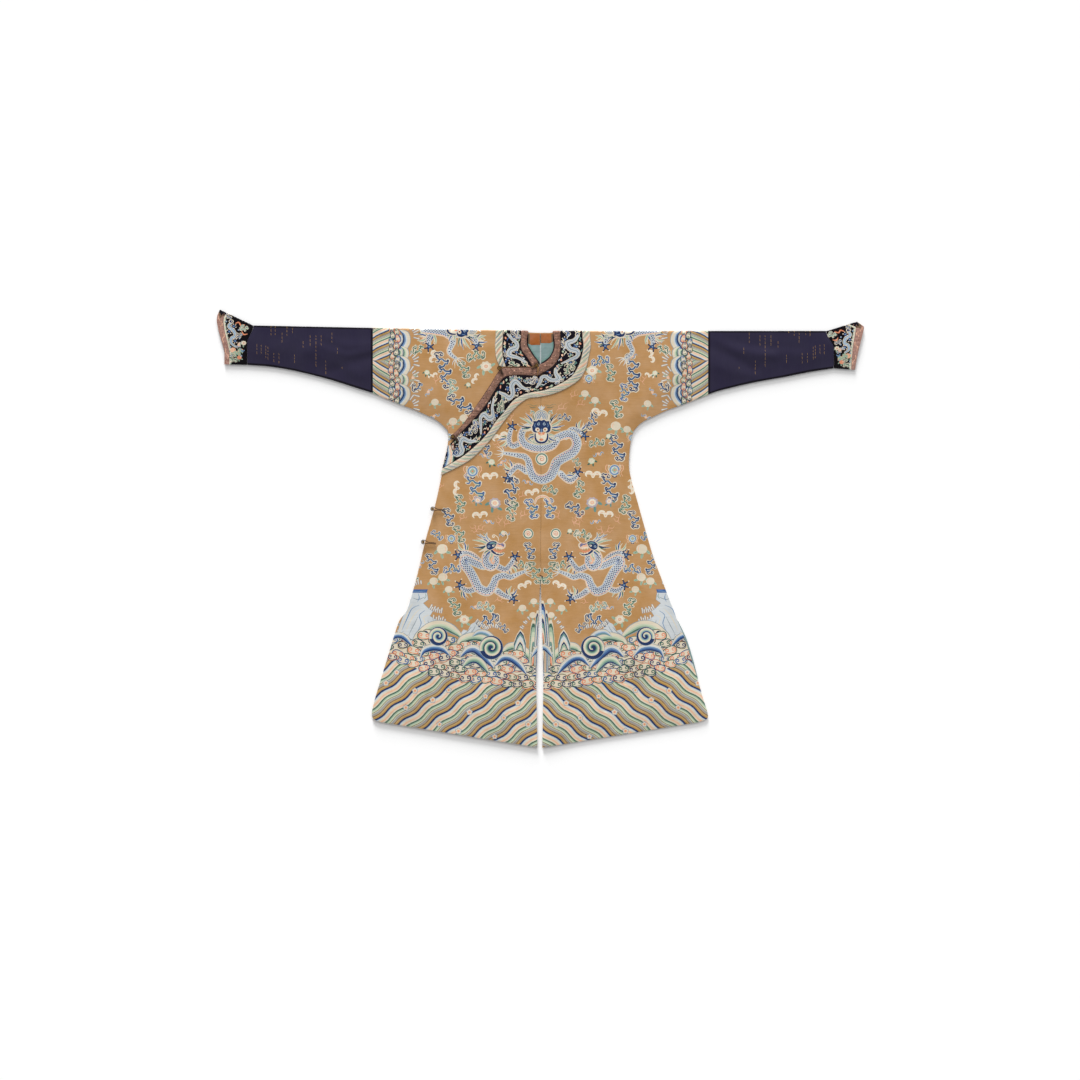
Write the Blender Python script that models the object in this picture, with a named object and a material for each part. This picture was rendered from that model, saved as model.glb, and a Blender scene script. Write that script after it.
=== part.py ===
"""Chinese dragon robe, laid flat and closed, built from the pieces its maker cuts and sews.

The robe is cut from two lengths of silk, one for each side of the body.  Each length runs from the
back hem over the shoulder fold to the front hem and is joined at the centre back.  An outer front is
joined to the left length at the centre front, crosses over to the wearer's right side and closes
there.  Long sleeves, flared cuffs, a curved collar band, a rope-patterned border and brown bindings
are sewn on.

Frame: +X runs to the wearer's left sleeve, +Y runs up to the shoulder fold, +Z points up from the
table.  The origin is the bottom centre of the bounding box.  Tables and sizes are in millimetres.

Every length is described on its flat cut, where v is measured along the cloth: below the shoulder
fold v equals the height on the front, and past the fold it runs on down the back.
"""
import math
from collections import namedtuple

import bmesh
import bpy
from mathutils import Vector
from mathutils.geometry import delaunay_2d_cdt

MM = 0.001

# Cloth and seams
WALL = 1.2                # silk with its lining
TRIM_WALL = 1.0           # collar, border and bindings
LINING_WALL = 0.6         # facing and lining that show in the neck
SEAM_GAP = 0.3            # between pieces sewn side by side
SLANT_GAP = 0.9           # between pieces whose fold line is not square to their seam
LAYER_GAP = 0.6           # between a trim and the panel it is sewn to
FOLD_RADIUS = 2.0         # outer radius of the shoulder fold
FOLD_STEPS = 4            # facets round the shoulder fold

# How the layers lie
NECK_LIFT = 1.6           # the back stands this high over the collar trims beneath it
LIFT_RADIUS = 230.0
LIFT_RUN_OUT = 100.0
RIM_DROP = -1.1           # the front comes down to the back at its sewn edges
PUFF = 1.2                # and stands up between them
RIM_WIDTH = 90.0
OVERLAP_STEP = 1.9        # the outer front lies this far above the length below it
STEP_WIDTH = 150.0
STEP_TOP = 640.0          # the rise to it runs out towards the shoulder fold
STEP_RUN_OUT = 100.0

# Cut
MESH_STEP = 62.0          # spacing of the points inside a panel
ROW_SPACING = 0.87        # rows of points stand this share of it apart, so triangles are even
CLEAR_OF_EDGE = 0.38      # and points keep this share of it away from the edge
GRID_ROWS = 14            # rows above and below the origin
EDGE_STEP = 42.0          # spacing of points along an edge
NECK_STEP = 16.0          # and along the neck
SLIVER_AREA = 0.3         # a triangle below this is a straight edge seen as a face
VENT_TOP = -155.0
HEM_MIDDLE = -717.0
HEM_RISE = 0.157          # the hem climbs this much for each millimetre outwards
ARMHOLE = 548.0           # seam between the silk length and the dark sleeve
INNER_EDGE = -45.0        # free edge of the length under the outer front
INNER_TOP = 470.0         # above this height it slants in to the neck
INNER_CORNER = (-12.0, 505.0)
CLOSING_TURN = (1.0, -1.5)  # the outer front's edge is turned in this far under its binding
OUTER_FRONT_TOP = 285.0   # its side seam begins here, below the armpit
BACK_NECK_DEPTH = 3.0     # the back neck edge lies this far behind the fold

# Colours
OCHRE = (0.545, 0.318, 0.125)
NAVY_SATIN = (0.038, 0.031, 0.056)
DARK_GROUND = (0.020, 0.018, 0.026)
CREAM = (0.640, 0.565, 0.430)
BROWN = (0.205, 0.105, 0.078)
RIBBON_PINK = (0.360, 0.210, 0.170)
ORANGE_SILK = (0.420, 0.145, 0.045)
TEAL_SILK = (0.200, 0.320, 0.310)
GILT = (0.750, 0.540, 0.220)

FoldPoint = namedtuple("FoldPoint", "across height")
FOLD_LINE = [
    FoldPoint(-1048.5, 716.0),
    FoldPoint(-939.0, 664.0),
    FoldPoint(-548.0, 656.0),
    FoldPoint(0.0, 644.5),
    FoldPoint(548.0, 646.0),
    FoldPoint(937.0, 646.0),
    FoldPoint(1035.5, 677.0),
]

SideRow = namedtuple("SideRow", "height right left")
SIDE_ROWS = [               # half-widths of the body from the armpit to the hem corner
    SideRow(322.0, 304.0, 306.0),
    SideRow(304.0, 300.0, 299.0),
    SideRow(264.0, 305.0, 292.0),
    SideRow(206.0, 318.0, 289.0),
    SideRow(164.0, 325.0, 296.0),
    SideRow(73.0, 345.0, 321.0),
    SideRow(-44.0, 377.0, 354.0),
    SideRow(-108.0, 392.0, 374.0),
    SideRow(-168.0, 407.0, 397.0),
    SideRow(-227.0, 423.0, 419.0),
    SideRow(-270.0, 438.0, 436.0),
    SideRow(-301.0, 461.0, 447.0),
    SideRow(-350.0, 478.0, 468.0),
    SideRow(-412.0, 497.0, 488.0),
    SideRow(-491.0, 521.0, 513.0),
    SideRow(-554.0, 540.0, 531.0),
    SideRow(-602.0, 551.0, 546.0),
    SideRow(-622.0, 546.0, 544.0),
    SideRow(-633.0, 520.0, 516.0),
]

UnderarmRow = namedtuple("UnderarmRow", "out right left")
UNDERARM_ROWS = [           # height of the lower sleeve edge at each distance from the centre
    UnderarmRow(1043.0, 537.0, 518.0),
    UnderarmRow(959.0, 535.0, 524.0),
    UnderarmRow(881.0, 529.0, 512.0),
    UnderarmRow(800.0, 515.0, 496.0),
    UnderarmRow(695.0, 489.0, 477.0),
    UnderarmRow(590.0, 456.0, 452.0),
    UnderarmRow(548.0, 443.0, 438.0),
    UnderarmRow(459.0, 406.0, 403.0),
    UnderarmRow(414.0, 389.0, 387.0),
    UnderarmRow(371.0, 370.0, 367.0),
    UnderarmRow(338.0, 353.0, 351.0),
    UnderarmRow(318.0, 337.0, 336.0),
]

VentRow = namedtuple("VentRow", "height right left")
VENT_ROWS = [               # how far each edge of the centre vent stands from the seam line
    VentRow(-155.0, 0.15, 0.15),
    VentRow(-300.0, 7.0, 5.0),
    VentRow(-495.0, 15.0, 10.0),
    VentRow(-712.0, 10.0, 6.0),
]

NeckRow = namedtuple("NeckRow", "height right left")
NECK_ROWS = [               # visible neck opening, from its lowest point to the shoulder fold
    NeckRow(538.0, 4.0, -4.0),
    NeckRow(546.0, 11.0, 16.0),
    NeckRow(560.0, 20.0, 32.0),
    NeckRow(578.0, 32.0, 42.0),
    NeckRow(598.0, 44.0, 46.0),
    NeckRow(622.0, 43.0, 44.0),
]
NECK_AT_FOLD = 40.0
NECK_CUT_MARGIN = 2.0       # the panel edge is hidden this far inside its binding

# Stations along the collar.  Each names a point on the edge that the brown binding covers, on the
# inner and the outer edge of the collar band, and on the outer edge of the rope border.
CollarRow = namedtuple("CollarRow", "edge_x edge_y inner_x inner_y outer_x outer_y rope_x rope_y")
LEFT_ROWS = [               # from the left shoulder fold down to the wearer's right side seam
    CollarRow(44.0, 622.0, 65.5, 622.0, 137.0, 620.0, 163.0, 620.0),
    CollarRow(46.0, 598.0, 66.5, 598.0, 140.0, 597.0, 165.0, 597.0),
    CollarRow(42.0, 578.0, 62.5, 566.0, 134.0, 562.0, 158.0, 560.0),
    CollarRow(32.0, 560.0, 52.0, 542.0, 122.0, 528.0, 149.0, 524.0),
    CollarRow(17.0, 547.0, 36.0, 524.0, 99.0, 495.0, 129.0, 488.0),
    CollarRow(6.0, 540.0, 14.0, 511.0, 55.0, 468.0, 86.0, 458.0),
    CollarRow(-3.4, 537.5, -8.0, 500.0, 14.0, 452.0, 41.0, 439.0),
    CollarRow(-48.0, 526.5, -48.0, 499.0, -28.0, 445.0, -4.0, 429.0),
    CollarRow(-92.0, 526.0, -90.0, 499.0, -62.0, 435.0, -38.0, 425.0),
    CollarRow(-130.0, 520.0, -121.0, 490.0, -92.0, 415.0, -67.0, 407.0),
    CollarRow(-165.0, 468.0, -146.0, 454.0, -121.0, 378.0, -97.0, 377.0),
    CollarRow(-192.0, 427.0, -172.0, 411.0, -146.0, 350.0, -124.0, 342.0),
    CollarRow(-226.0, 379.0, -207.0, 368.0, -170.0, 315.0, -150.0, 306.0),
    CollarRow(-257.0, 337.0, -243.0, 329.0, -201.0, 281.0, -184.0, 266.0),
    CollarRow(-297.0, 298.0, -284.0, 288.0, -253.0, 237.0, -238.0, 218.0),
    CollarRow(-301.0, 284.0, -303.0, 268.0, -321.0, 196.0, -326.0, 173.0),
]
CLOSING_ROW = 6             # the neck binding ends here and the closing edge begins
CLOSING_START = (-11.0, 525.0)
CLOSING_RUN = 38.0          # from the next station back to the end of the closing binding
LAST_BINDING_ROW = 14
RIGHT_ROWS = [              # the wearer's right side of the neck, from the closing edge up
    CollarRow(-9.0, 546.0, -26.0, 529.0, -113.0, 529.0, -134.0, 529.0),
    CollarRow(-23.0, 564.0, -43.0, 556.0, -121.0, 556.0, -145.0, 556.0),
    CollarRow(-36.0, 585.0, -60.0, 578.0, -124.0, 578.0, -148.0, 578.0),
    CollarRow(-44.0, 600.0, -65.5, 600.0, -124.0, 600.0, -149.0, 600.0),
    CollarRow(-43.0, 622.0, -64.5, 622.0, -122.0, 622.0, -147.0, 622.0),
]
BAND_GAP = 0.45             # between two bands side by side

# Edges of the bands behind the neck: half-widths at the two shoulder folds, depth below the fold,
# and how square the curve is (2 is an ellipse).
BackEdge = namedtuple("BackEdge", "right left depth squareness")
NECK_BACK = BackEdge(40.0, 40.0, BACK_NECK_DEPTH, 4.0)
BINDING_BACK = BackEdge(63.5, 64.5, 23.7, 4.0)
COLLAR_BACK_INNER = BackEdge(64.0, 65.0, 24.2, 4.0)
COLLAR_BACK_OUTER = BackEdge(122.0, 136.0, 90.0, 2.0)
ROPE_BACK_INNER = BackEdge(122.4, 136.4, 90.4, 2.0)
ROPE_BACK_OUTER = BackEdge(147.0, 162.0, 116.0, 2.0)
BACK_STEPS = 6
BAND_COLUMNS = 3            # strips across a band
CENTRE_BACK = 0.4985        # each half ends this share of the way round, short of the centre seam
BINDING_CROWN = 0.8         # the bindings are padded, so they stand up along their middle
CROWN_RUN_OUT = 40.0        # and flatten towards the shoulder fold

CuffRow = namedtuple("CuffRow", "share right left ribbon_right ribbon_left")
CUFF_ROWS = [               # flared cuff mouth, from its lower edge (0) to its tip (1)
    CuffRow(0.00, 1033.5, 1028.0, 16.0, 13.0),
    CuffRow(0.25, 1033.0, 1034.5, 17.0, 17.0),
    CuffRow(0.45, 1043.0, 1041.0, 19.0, 21.0),
    CuffRow(0.62, 1052.5, 1048.0, 21.0, 24.0),
    CuffRow(0.80, 1058.5, 1055.0, 22.0, 26.0),
    CuffRow(0.90, 1056.5, 1058.5, 22.0, 27.0),
    CuffRow(1.00, 1048.5, 1035.5, 22.0, 26.0),
]
CUFF_TOP_RIGHT = 939.0      # the cuff seam slants outwards from the fold to the lower edge
CUFF_TOP_LEFT = 934.0
CUFF_BOTTOM = 959.0
ARM_STEPS = 10              # points across the arm along each of its seams

Crease = namedtuple("Crease", "from_x from_y to_x to_y half_width height")
CREASES = [                 # the largest soft folds of the front
    Crease(-290, 200, -200, -60, 60, 1.0),
    Crease(300, 330, 190, 10, 62, 1.1),
    Crease(-240, -120, -400, -560, 70, 1.3),
    Crease(230, -150, 380, -580, 72, 1.3),
    Crease(-120, -330, -150, -650, 60, 0.8),
    Crease(110, -300, 160, -640, 64, 0.9),
    Crease(-610, 610, -740, 520, 42, 1.4),
    Crease(600, 600, 735, 510, 42, 1.4),
    Crease(-330, 390, -470, 560, 60, 0.9),
    Crease(330, 380, 460, 560, 60, 0.9),
]

InsideRow = namedtuple("InsideRow", "sign facing_low lining_low lining_low_side")
INSIDE_ROWS = [             # lower edges of facing and lining on each side of the centre back seam
    InsideRow(-1, 600.0, 486.0, 496.0),
    InsideRow(1, 606.0, 486.0, 496.0),
]
FACING_MID = 30.0           # the facing's lower edge is level out to here
FACING_HALF = 62.0          # and has climbed by FACING_CLIMB here
FACING_CLIMB = 14.0
FACING_BELOW_FOLD = 6.0
LINING_HALF = 78.0
LINING_BELOW_FACING = 30.0
INSIDE_GAP = 0.3            # between the back and the lining on it

SLIVER_TOP = -280.0         # side lining that shows beyond the wearer's left side edge
SLIVER_LOW = -500.0
SLIVER_INSET = 0.4
SLIVER_ENDS = 0.8
SLIVER_BULGE = 4.6
SLIVER_LEVEL = 2.0          # between front and back

ButtonRow = namedtuple("ButtonRow", "name across height loop_angle loop_length")
BUTTON_ROWS = [             # a knob in the bight of a cord loop that points along loop_angle
    ButtonRow("neck", -13.0, 532.0, 215.0, 20.0),
    ButtonRow("corner", -134.0, 524.0, 300.0, 24.0),
    ButtonRow("underarm", -286.0, 300.0, 318.0, 26.0),
    ButtonRow("side_upper", -352.0, 64.0, -7.0, 40.0),
    ButtonRow("side_lower", -383.0, -44.0, -8.0, 42.0),
]
BUTTON_RADIUS = 4.6
BUTTON_CLEAR = 0.5          # between a knob and the loop round it
CORD_RADIUS = 1.3
CORD_SIDES = 6
CORD_GAP = 0.5              # between the two legs of a loop
LEG_POINTS = 5
BIGHT_POINTS = 5
BIGHT_BEGINS = 0.55         # share of a leg after which it opens round the knob
REST_GAP = 0.3              # under knobs and loops


# ---------------------------------------------------------------- curves and heights

def smooth(t):
    """Ease from 0 to 1 as t runs from 0 to 1."""
    t = min(max(t, 0.0), 1.0)
    return t * t * (3.0 - 2.0 * t)


def between(value, keys, values):
    """Straight interpolation of values over ascending keys, held at both ends."""
    if value <= keys[0]:
        return values[0]
    for k in range(1, len(keys)):
        if value <= keys[k]:
            t = (value - keys[k - 1]) / (keys[k] - keys[k - 1])
            return values[k - 1] + t * (values[k] - values[k - 1])
    return values[-1]


FOLD_KEYS = [row.across for row in FOLD_LINE]
FOLD_HEIGHTS = [row.height for row in FOLD_LINE]


def fold_start(x):
    """Height on the front at which the cloth begins to turn over the shoulder."""
    return between(x, FOLD_KEYS, FOLD_HEIGHTS) - FOLD_RADIUS


def back_v(x, y):
    """Distance along the cloth, past the shoulder fold, of a point at height y on the back."""
    start = fold_start(x)
    return start + math.pi * FOLD_RADIUS + (start - y)


def curve(points, step):
    """Catmull-Rom curve through points, with a vertex about every step."""
    result = []
    last = len(points) - 1
    for k in range(last):
        a = Vector(points[max(k - 1, 0)])
        b = Vector(points[k])
        c = Vector(points[k + 1])
        d = Vector(points[min(k + 2, last)])
        count = max(1, round((c - b).length / step))
        for i in range(count):
            t = i / count
            result.append(0.5 * (2.0 * b + (c - a) * t + (2.0 * a - 5.0 * b + 4.0 * c - d) * t * t
                                 + (3.0 * b - a - 3.0 * c + d) * t * t * t))
    result.append(Vector(points[-1]))
    return [(p.x, p.y) for p in result]


def straight(start, end, step):
    """Vertices of a straight edge, both ends included."""
    count = max(1, round(math.dist(start, end) / step))
    return [(start[0] + (end[0] - start[0]) * i / count, start[1] + (end[1] - start[1]) * i / count)
            for i in range(count + 1)]


def side_of(row, sign):
    """The value a table row holds for the wearer's right (-1) or left (+1) side."""
    return row.right if sign < 0 else row.left


def underarm_edge(sign, out_from, out_to, step):
    """Lower sleeve edge from out_from in to out_to, as signed points."""
    outs = [row.out for row in reversed(UNDERARM_ROWS)]
    heights = [side_of(row, sign) for row in reversed(UNDERARM_ROWS)]
    inside = [row.out for row in UNDERARM_ROWS if out_to < row.out < out_from]
    points = [(sign * out, between(out, outs, heights)) for out in [out_from] + inside + [out_to]]
    return curve(points, step)


def side_edge(sign, step, top=322.0):
    """Side of the body from the armpit to the corner of the hem."""
    points = [(sign * side_of(row, sign), row.height) for row in SIDE_ROWS if row.height <= top]
    return curve(points, step)


def hem_edge(sign, step):
    """Hem from its rounded corner in to the centre vent."""
    corner = SIDE_ROWS[-1]
    vent = side_of(VENT_ROWS[-1], sign)
    start = (sign * side_of(corner, sign), corner.height)
    return straight(start, (sign * vent, HEM_MIDDLE + HEM_RISE * vent), step)


def vent_edge(sign, step):
    """Edge of the centre vent, from the hem up to its top."""
    points = [(sign * side_of(row, sign), row.height) for row in reversed(VENT_ROWS)]
    return straight(points[0], points[1], step) + points[2:]


def rim_line(sign):
    """Every edge at which front and back are sewn together or lie on each other."""
    arm = underarm_edge(sign, UNDERARM_ROWS[0].out, UNDERARM_ROWS[-1].out, EDGE_STEP)
    return arm + side_edge(sign, EDGE_STEP) + hem_edge(sign, EDGE_STEP) + vent_edge(sign, EDGE_STEP)


RIMS = {sign: rim_line(sign) for sign in (-1, 1)}


def distance_to_line(x, y, line):
    """Shortest distance from a point to a polyline."""
    best = math.inf
    for (ax, ay), (bx, by) in zip(line, line[1:]):
        dx = bx - ax
        dy = by - ay
        length_2 = dx * dx + dy * dy
        t = ((x - ax) * dx + (y - ay) * dy) / length_2 if length_2 else 0.0
        t = min(max(t, 0.0), 1.0)
        best = min(best, math.hypot(x - ax - t * dx, y - ay - t * dy))
    return best


def crease_height(x, y):
    """Sum of the soft ridges at a point of the front."""
    total = 0.0
    for crease in CREASES:
        line = [(crease.from_x, crease.from_y), (crease.to_x, crease.to_y)]
        away = distance_to_line(x, y, line) / crease.half_width
        total += crease.height * math.exp(-away * away)
    return total


def back_height(x, y):
    """Outer (lower) face of the back: on the table, but raised over the trims at the neck."""
    radius = math.hypot(x, y - FOLD_HEIGHTS[3])
    return NECK_LIFT * smooth((LIFT_RADIUS + LIFT_RUN_OUT - radius) / LIFT_RUN_OUT)


def front_height(x, y):
    """Outer (upper) face of the front where it lies straight on the back."""
    away = distance_to_line(x, y, RIMS[-1 if x < 0 else 1])
    rise = RIM_DROP + (PUFF - RIM_DROP) * smooth(away / RIM_WIDTH)
    rise += crease_height(x, y) * smooth(away / RIM_WIDTH)
    below_fold = smooth((fold_start(x) - y) / RIM_WIDTH)
    return back_height(x, y) + 2.0 * FOLD_RADIUS + rise * below_fold


def upper_height(x, y):
    """Upper face of the outermost layer: the outer front, and the left length that rises to it."""
    step = OVERLAP_STEP * smooth((STEP_WIDTH - x) / STEP_WIDTH)
    return front_height(x, y) + step * smooth((STEP_TOP - y) / STEP_RUN_OUT)


def place(x, v, out, height):
    """Point of a piece at (x, v) on the flat cut, its outer face standing out from the panel."""
    start = fold_start(x)
    past = v - start
    if past <= 0.0:
        return Vector((x, v, height(x, v) + out))
    low = back_height(x, start)
    angle = past / FOLD_RADIUS
    if angle < math.pi:
        radius = FOLD_RADIUS + out
        return Vector((x, start + radius * math.sin(angle), low + FOLD_RADIUS + radius * math.cos(angle)))
    y = start - (past - math.pi * FOLD_RADIUS)
    return Vector((x, y, back_height(x, y) - out))


# ---------------------------------------------------------------- meshes

def material(name, colour, roughness, metallic=0.0):
    """Principled material with one colour."""
    made = bpy.data.materials.new(name)
    made.use_nodes = True
    shader = made.node_tree.nodes["Principled BSDF"]
    shader.inputs["Base Color"].default_value = (*colour, 1.0)
    shader.inputs["Roughness"].default_value = roughness
    shader.inputs["Metallic"].default_value = metallic
    made.diffuse_color = (*colour, 1.0)
    return made


def add_object(name, bm, finish, parent):
    """Turn a bmesh in metres into a named object under the robe's empty."""
    mesh = bpy.data.meshes.new(name)
    bm.to_mesh(mesh)
    bm.free()
    mesh.materials.append(finish)
    made = bpy.data.objects.new(name, mesh)
    bpy.context.scene.collection.objects.link(made)
    made.parent = parent
    return made


def thicken(made, wall):
    """Give a cloth surface its wall, on the side away from the outer face."""
    modifier = made.modifiers.new("wall", "SOLIDIFY")
    modifier.thickness = wall * MM
    modifier.offset = -1.0


def inside(x, y, outline):
    """Whether a point lies inside a closed outline."""
    hit = False
    for (ax, ay), (bx, by) in zip(outline, outline[1:] + outline[:1]):
        if (ay > y) != (by > y) and x < ax + (y - ay) / (by - ay) * (bx - ax):
            hit = not hit
    return hit


def mesh_points(outline, rows):
    """Points inside an outline, on one grid shared by all panels, on the front and on the back."""
    xs = [p[0] for p in outline]
    ring = outline + outline[:1]
    points = []
    first = math.floor(min(xs) / MESH_STEP)
    last = math.ceil(max(xs) / MESH_STEP)
    for column in range(first, last + 1):
        x = column * MESH_STEP
        for row in range(-GRID_ROWS, GRID_ROWS):
            y = (row + 0.5 * (column % 2)) * MESH_STEP * ROW_SPACING
            if y > fold_start(x) - 0.5 * MESH_STEP:
                continue
            for v in (y, back_v(x, y)):
                clear = distance_to_line(x, v, ring) > CLEAR_OF_EDGE * MESH_STEP
                if clear and inside(x, v, outline):
                    points.append((x, v))
        for v in rows(x):
            if inside(x, v, outline):
                points.append((x, v))
    return points


def fold_rows(x):
    """Rows of points that bend the cloth over the shoulder at one x."""
    start = fold_start(x)
    return [start + math.pi * FOLD_RADIUS * k / FOLD_STEPS for k in range(FOLD_STEPS + 1)]


def panel(name, outline, finish, parent, height=front_height, wall=WALL, folded=True):
    """Closed solid of one cloth panel from its outline on the flat cut."""
    outline = [p for k, p in enumerate(outline) if math.dist(p, outline[k - 1]) > 0.05]
    rows = fold_rows if folded else (lambda x: [])
    points = [Vector(p) for p in outline]
    count = len(points)
    edges = [(k, (k + 1) % count) for k in range(count)]
    points += [Vector(p) for p in mesh_points(outline, rows)]
    found, _, faces, *_ = delaunay_2d_cdt(points, edges, [], 0, 1e-4, False)
    bm = bmesh.new()
    kept = []
    for face in faces:
        a, b, c = (found[k] for k in face)
        middle = (a + b + c) / 3.0
        area = 0.5 * abs((b - a).cross(c - a))
        if area > SLIVER_AREA and inside(middle.x, middle.y, outline):
            kept.append(face)
    used = {}
    for face in kept:
        for k in face:
            if k not in used:
                used[k] = bm.verts.new(place(found[k].x, found[k].y, 0.0, height) * MM)
    for face in kept:
        bm.faces.new([used[k] for k in face])
    made = add_object(name, bm, finish, parent)
    thicken(made, wall)


def band(name, stations, finish, parent, height, crown=0.0):
    """Closed solid of a strip sewn on a panel, from stations (inner, outer) on the flat cut."""
    bm = bmesh.new()
    lines = []
    for (ix, iv), (ox, ov) in stations:
        line = []
        for k in range(BAND_COLUMNS + 1):
            t = k / BAND_COLUMNS
            x = ix + (ox - ix) * t
            v = iv + (ov - iv) * t
            rolled = crown * math.sin(math.pi * t) * smooth((fold_start(x) - v) / CROWN_RUN_OUT)
            point = place(x, v, LAYER_GAP + TRIM_WALL + rolled, height)
            line.append(bm.verts.new(point * MM))
        lines.append(line)
    for line, after in zip(lines, lines[1:]):
        for k in range(BAND_COLUMNS):
            bm.faces.new((line[k], line[k + 1], after[k + 1], after[k]))
    bmesh.ops.triangulate(bm, faces=bm.faces[:])
    bm.normal_update()
    top = max(bm.faces, key=lambda face: face.calc_center_median().z)
    if top.normal.z < 0.0:
        bmesh.ops.reverse_faces(bm, faces=bm.faces[:])
    made = add_object(name, bm, finish, parent)
    thicken(made, TRIM_WALL)


# ---------------------------------------------------------------- outlines of the cut

def neck_edge(sign, margin):
    """Neck edge of a length, from its lowest point up over the fold to the back neck."""
    front = [(sign * (side_of(row, sign) + margin), row.height - 0.6 * margin) for row in NECK_ROWS]
    top = sign * (NECK_AT_FOLD + margin)
    over = [(top, v) for v in fold_rows(top)]
    return curve(front, NECK_STEP) + over + [(top, back_v(top, fold_start(top) - BACK_NECK_DEPTH))]


def rows_at(x, heights):
    """Points at one x."""
    return [(x, v) for v in heights]


def armhole_edge(sign, out):
    """Armhole seam from the back underarm over the fold to the front underarm."""
    outs = [row.out for row in reversed(UNDERARM_ROWS)]
    low = between(out, outs, [side_of(row, sign) for row in reversed(UNDERARM_ROWS)])
    x = sign * out
    rows = fold_rows(x)
    back = straight((x, back_v(x, low)), (x, rows[-1]), EDGE_STEP)
    front = straight((x, rows[0]), (x, low), EDGE_STEP)
    return back + rows_at(x, rows[1:-1][::-1]) + front


def length_outline(sign, centre_front):
    """Flat cut of one length of silk; centre_front is its front edge from hem to neck."""
    seam = ARMHOLE - 0.5 * SEAM_GAP
    under = underarm_edge(sign, seam, UNDERARM_ROWS[-1].out, EDGE_STEP)
    side = side_edge(sign, EDGE_STEP)
    hem = hem_edge(sign, EDGE_STEP)
    vent = vent_edge(sign, EDGE_STEP)
    front_rim = under + side + hem
    centre = sign * 0.5 * SEAM_GAP
    back_neck = (centre, back_v(centre, fold_start(centre) - BACK_NECK_DEPTH))
    back_seam = straight(back_neck, (centre, back_v(centre, VENT_TOP)), EDGE_STEP)
    back_rim = [(x, back_v(x, y)) for x, y in (front_rim + vent)[::-1]]
    neck = neck_edge(sign, NECK_CUT_MARGIN)
    return centre_front + neck + back_seam + back_rim + armhole_edge(sign, seam) + front_rim


def left_length_outline():
    """Wearer's left length: its front edge is the vent and the centre-front seam."""
    centre = 0.5 * SEAM_GAP
    seam = straight((centre, VENT_TOP), (centre, NECK_ROWS[0].height - NECK_CUT_MARGIN), EDGE_STEP)
    return length_outline(1, vent_edge(1, EDGE_STEP) + seam)


def right_length_outline():
    """Wearer's right length: its front edge is free and lies under the outer front."""
    hem = (INNER_EDGE, HEM_MIDDLE - HEM_RISE * INNER_EDGE)
    free = straight(hem, (INNER_EDGE, INNER_TOP), EDGE_STEP) + [INNER_CORNER]
    outline = length_outline(-1, free)
    return [p for p in outline if p[0] <= INNER_EDGE or p[1] > INNER_TOP][::-1]


def outer_front_outline():
    """Outer front: centre seam, neck corner, closing edge, side, hem and vent."""
    centre = -0.5 * SEAM_GAP
    rows = LEFT_ROWS[CLOSING_ROW + 1:LAST_BINDING_ROW + 1]
    edge = [CLOSING_START] + [(row.edge_x, row.edge_y) for row in rows]
    inset = [(x + CLOSING_TURN[0], y + CLOSING_TURN[1]) for x, y in edge]
    side = [p for p in side_edge(-1, EDGE_STEP) if p[1] < OUTER_FRONT_TOP]
    vent = vent_edge(-1, EDGE_STEP)
    seam = straight((centre, VENT_TOP), (centre, NECK_ROWS[0].height - NECK_CUT_MARGIN), EDGE_STEP)
    return curve(inset, EDGE_STEP) + side + hem_edge(-1, EDGE_STEP) + vent + seam


def cuff_seam_x(sign, share):
    """Signed x of the slanting seam between sleeve and cuff, from the lower edge (0) to the fold (1)."""
    top = CUFF_TOP_RIGHT if sign < 0 else CUFF_TOP_LEFT
    return sign * (CUFF_BOTTOM + (top - CUFF_BOTTOM) * smooth(max(0.0, (share - 0.5) / 0.5)))


def mouth_x(sign, share, ribbon=False):
    """Signed x of the cuff mouth, or of the ribbon's inner edge."""
    shares = [row.share for row in CUFF_ROWS]
    reach = between(share, shares, [side_of(row, sign) for row in CUFF_ROWS])
    if not ribbon:
        return sign * reach
    widths = [row.ribbon_right if sign < 0 else row.ribbon_left for row in CUFF_ROWS]
    return sign * (reach - between(share, shares, widths))


def arm_height(sign, x, share):
    """Height at a share of the way from the lower sleeve edge up to the fold."""
    outs = [row.out for row in reversed(UNDERARM_ROWS)]
    low = between(abs(x), outs, [side_of(row, sign) for row in reversed(UNDERARM_ROWS)])
    return low + (fold_start(x) - low) * share


def arm_edge(sign, across, steps=ARM_STEPS):
    """Edge across the arm given by across(share), run over the fold from front to back."""
    front = []
    for k in range(steps + 1):
        x = across(k / steps)
        front.append((x, arm_height(sign, x, k / steps)))
    x = front[-1][0]
    back = [(px, back_v(px, py)) for px, py in front[::-1]]
    return front[:-1] + rows_at(x, fold_rows(x)) + back[1:]


def arm_piece_outline(sign, near, far):
    """Flat cut of a sleeve piece between two edges across the arm."""
    start = arm_edge(sign, near)
    end = arm_edge(sign, far)
    lower = straight(start[0], end[0], 2 * EDGE_STEP)
    outs = (abs(start[0][0]), abs(end[0][0]))
    if abs(outs[0] - outs[1]) > 2 * EDGE_STEP:
        lower = underarm_edge(sign, outs[1], outs[0], 2 * EDGE_STEP)[::-1]
    back = [(x, back_v(x, y)) for x, y in lower[::-1]]
    outline = lower[:-1] + end + back[1:] + start[::-1][1:]
    return outline if sign > 0 else outline[::-1]


# ---------------------------------------------------------------- parts of the robe

def build_body(silk, parent):
    """Two lengths of silk and the outer front."""
    panel("left_length", left_length_outline(), silk, parent, height=upper_height)
    panel("right_length", right_length_outline(), silk, parent, height=front_height)
    lifted = lambda x, y: front_height(x, y) + OVERLAP_STEP
    panel("outer_front", outer_front_outline(), silk, parent, height=lifted, folded=False)


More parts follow.
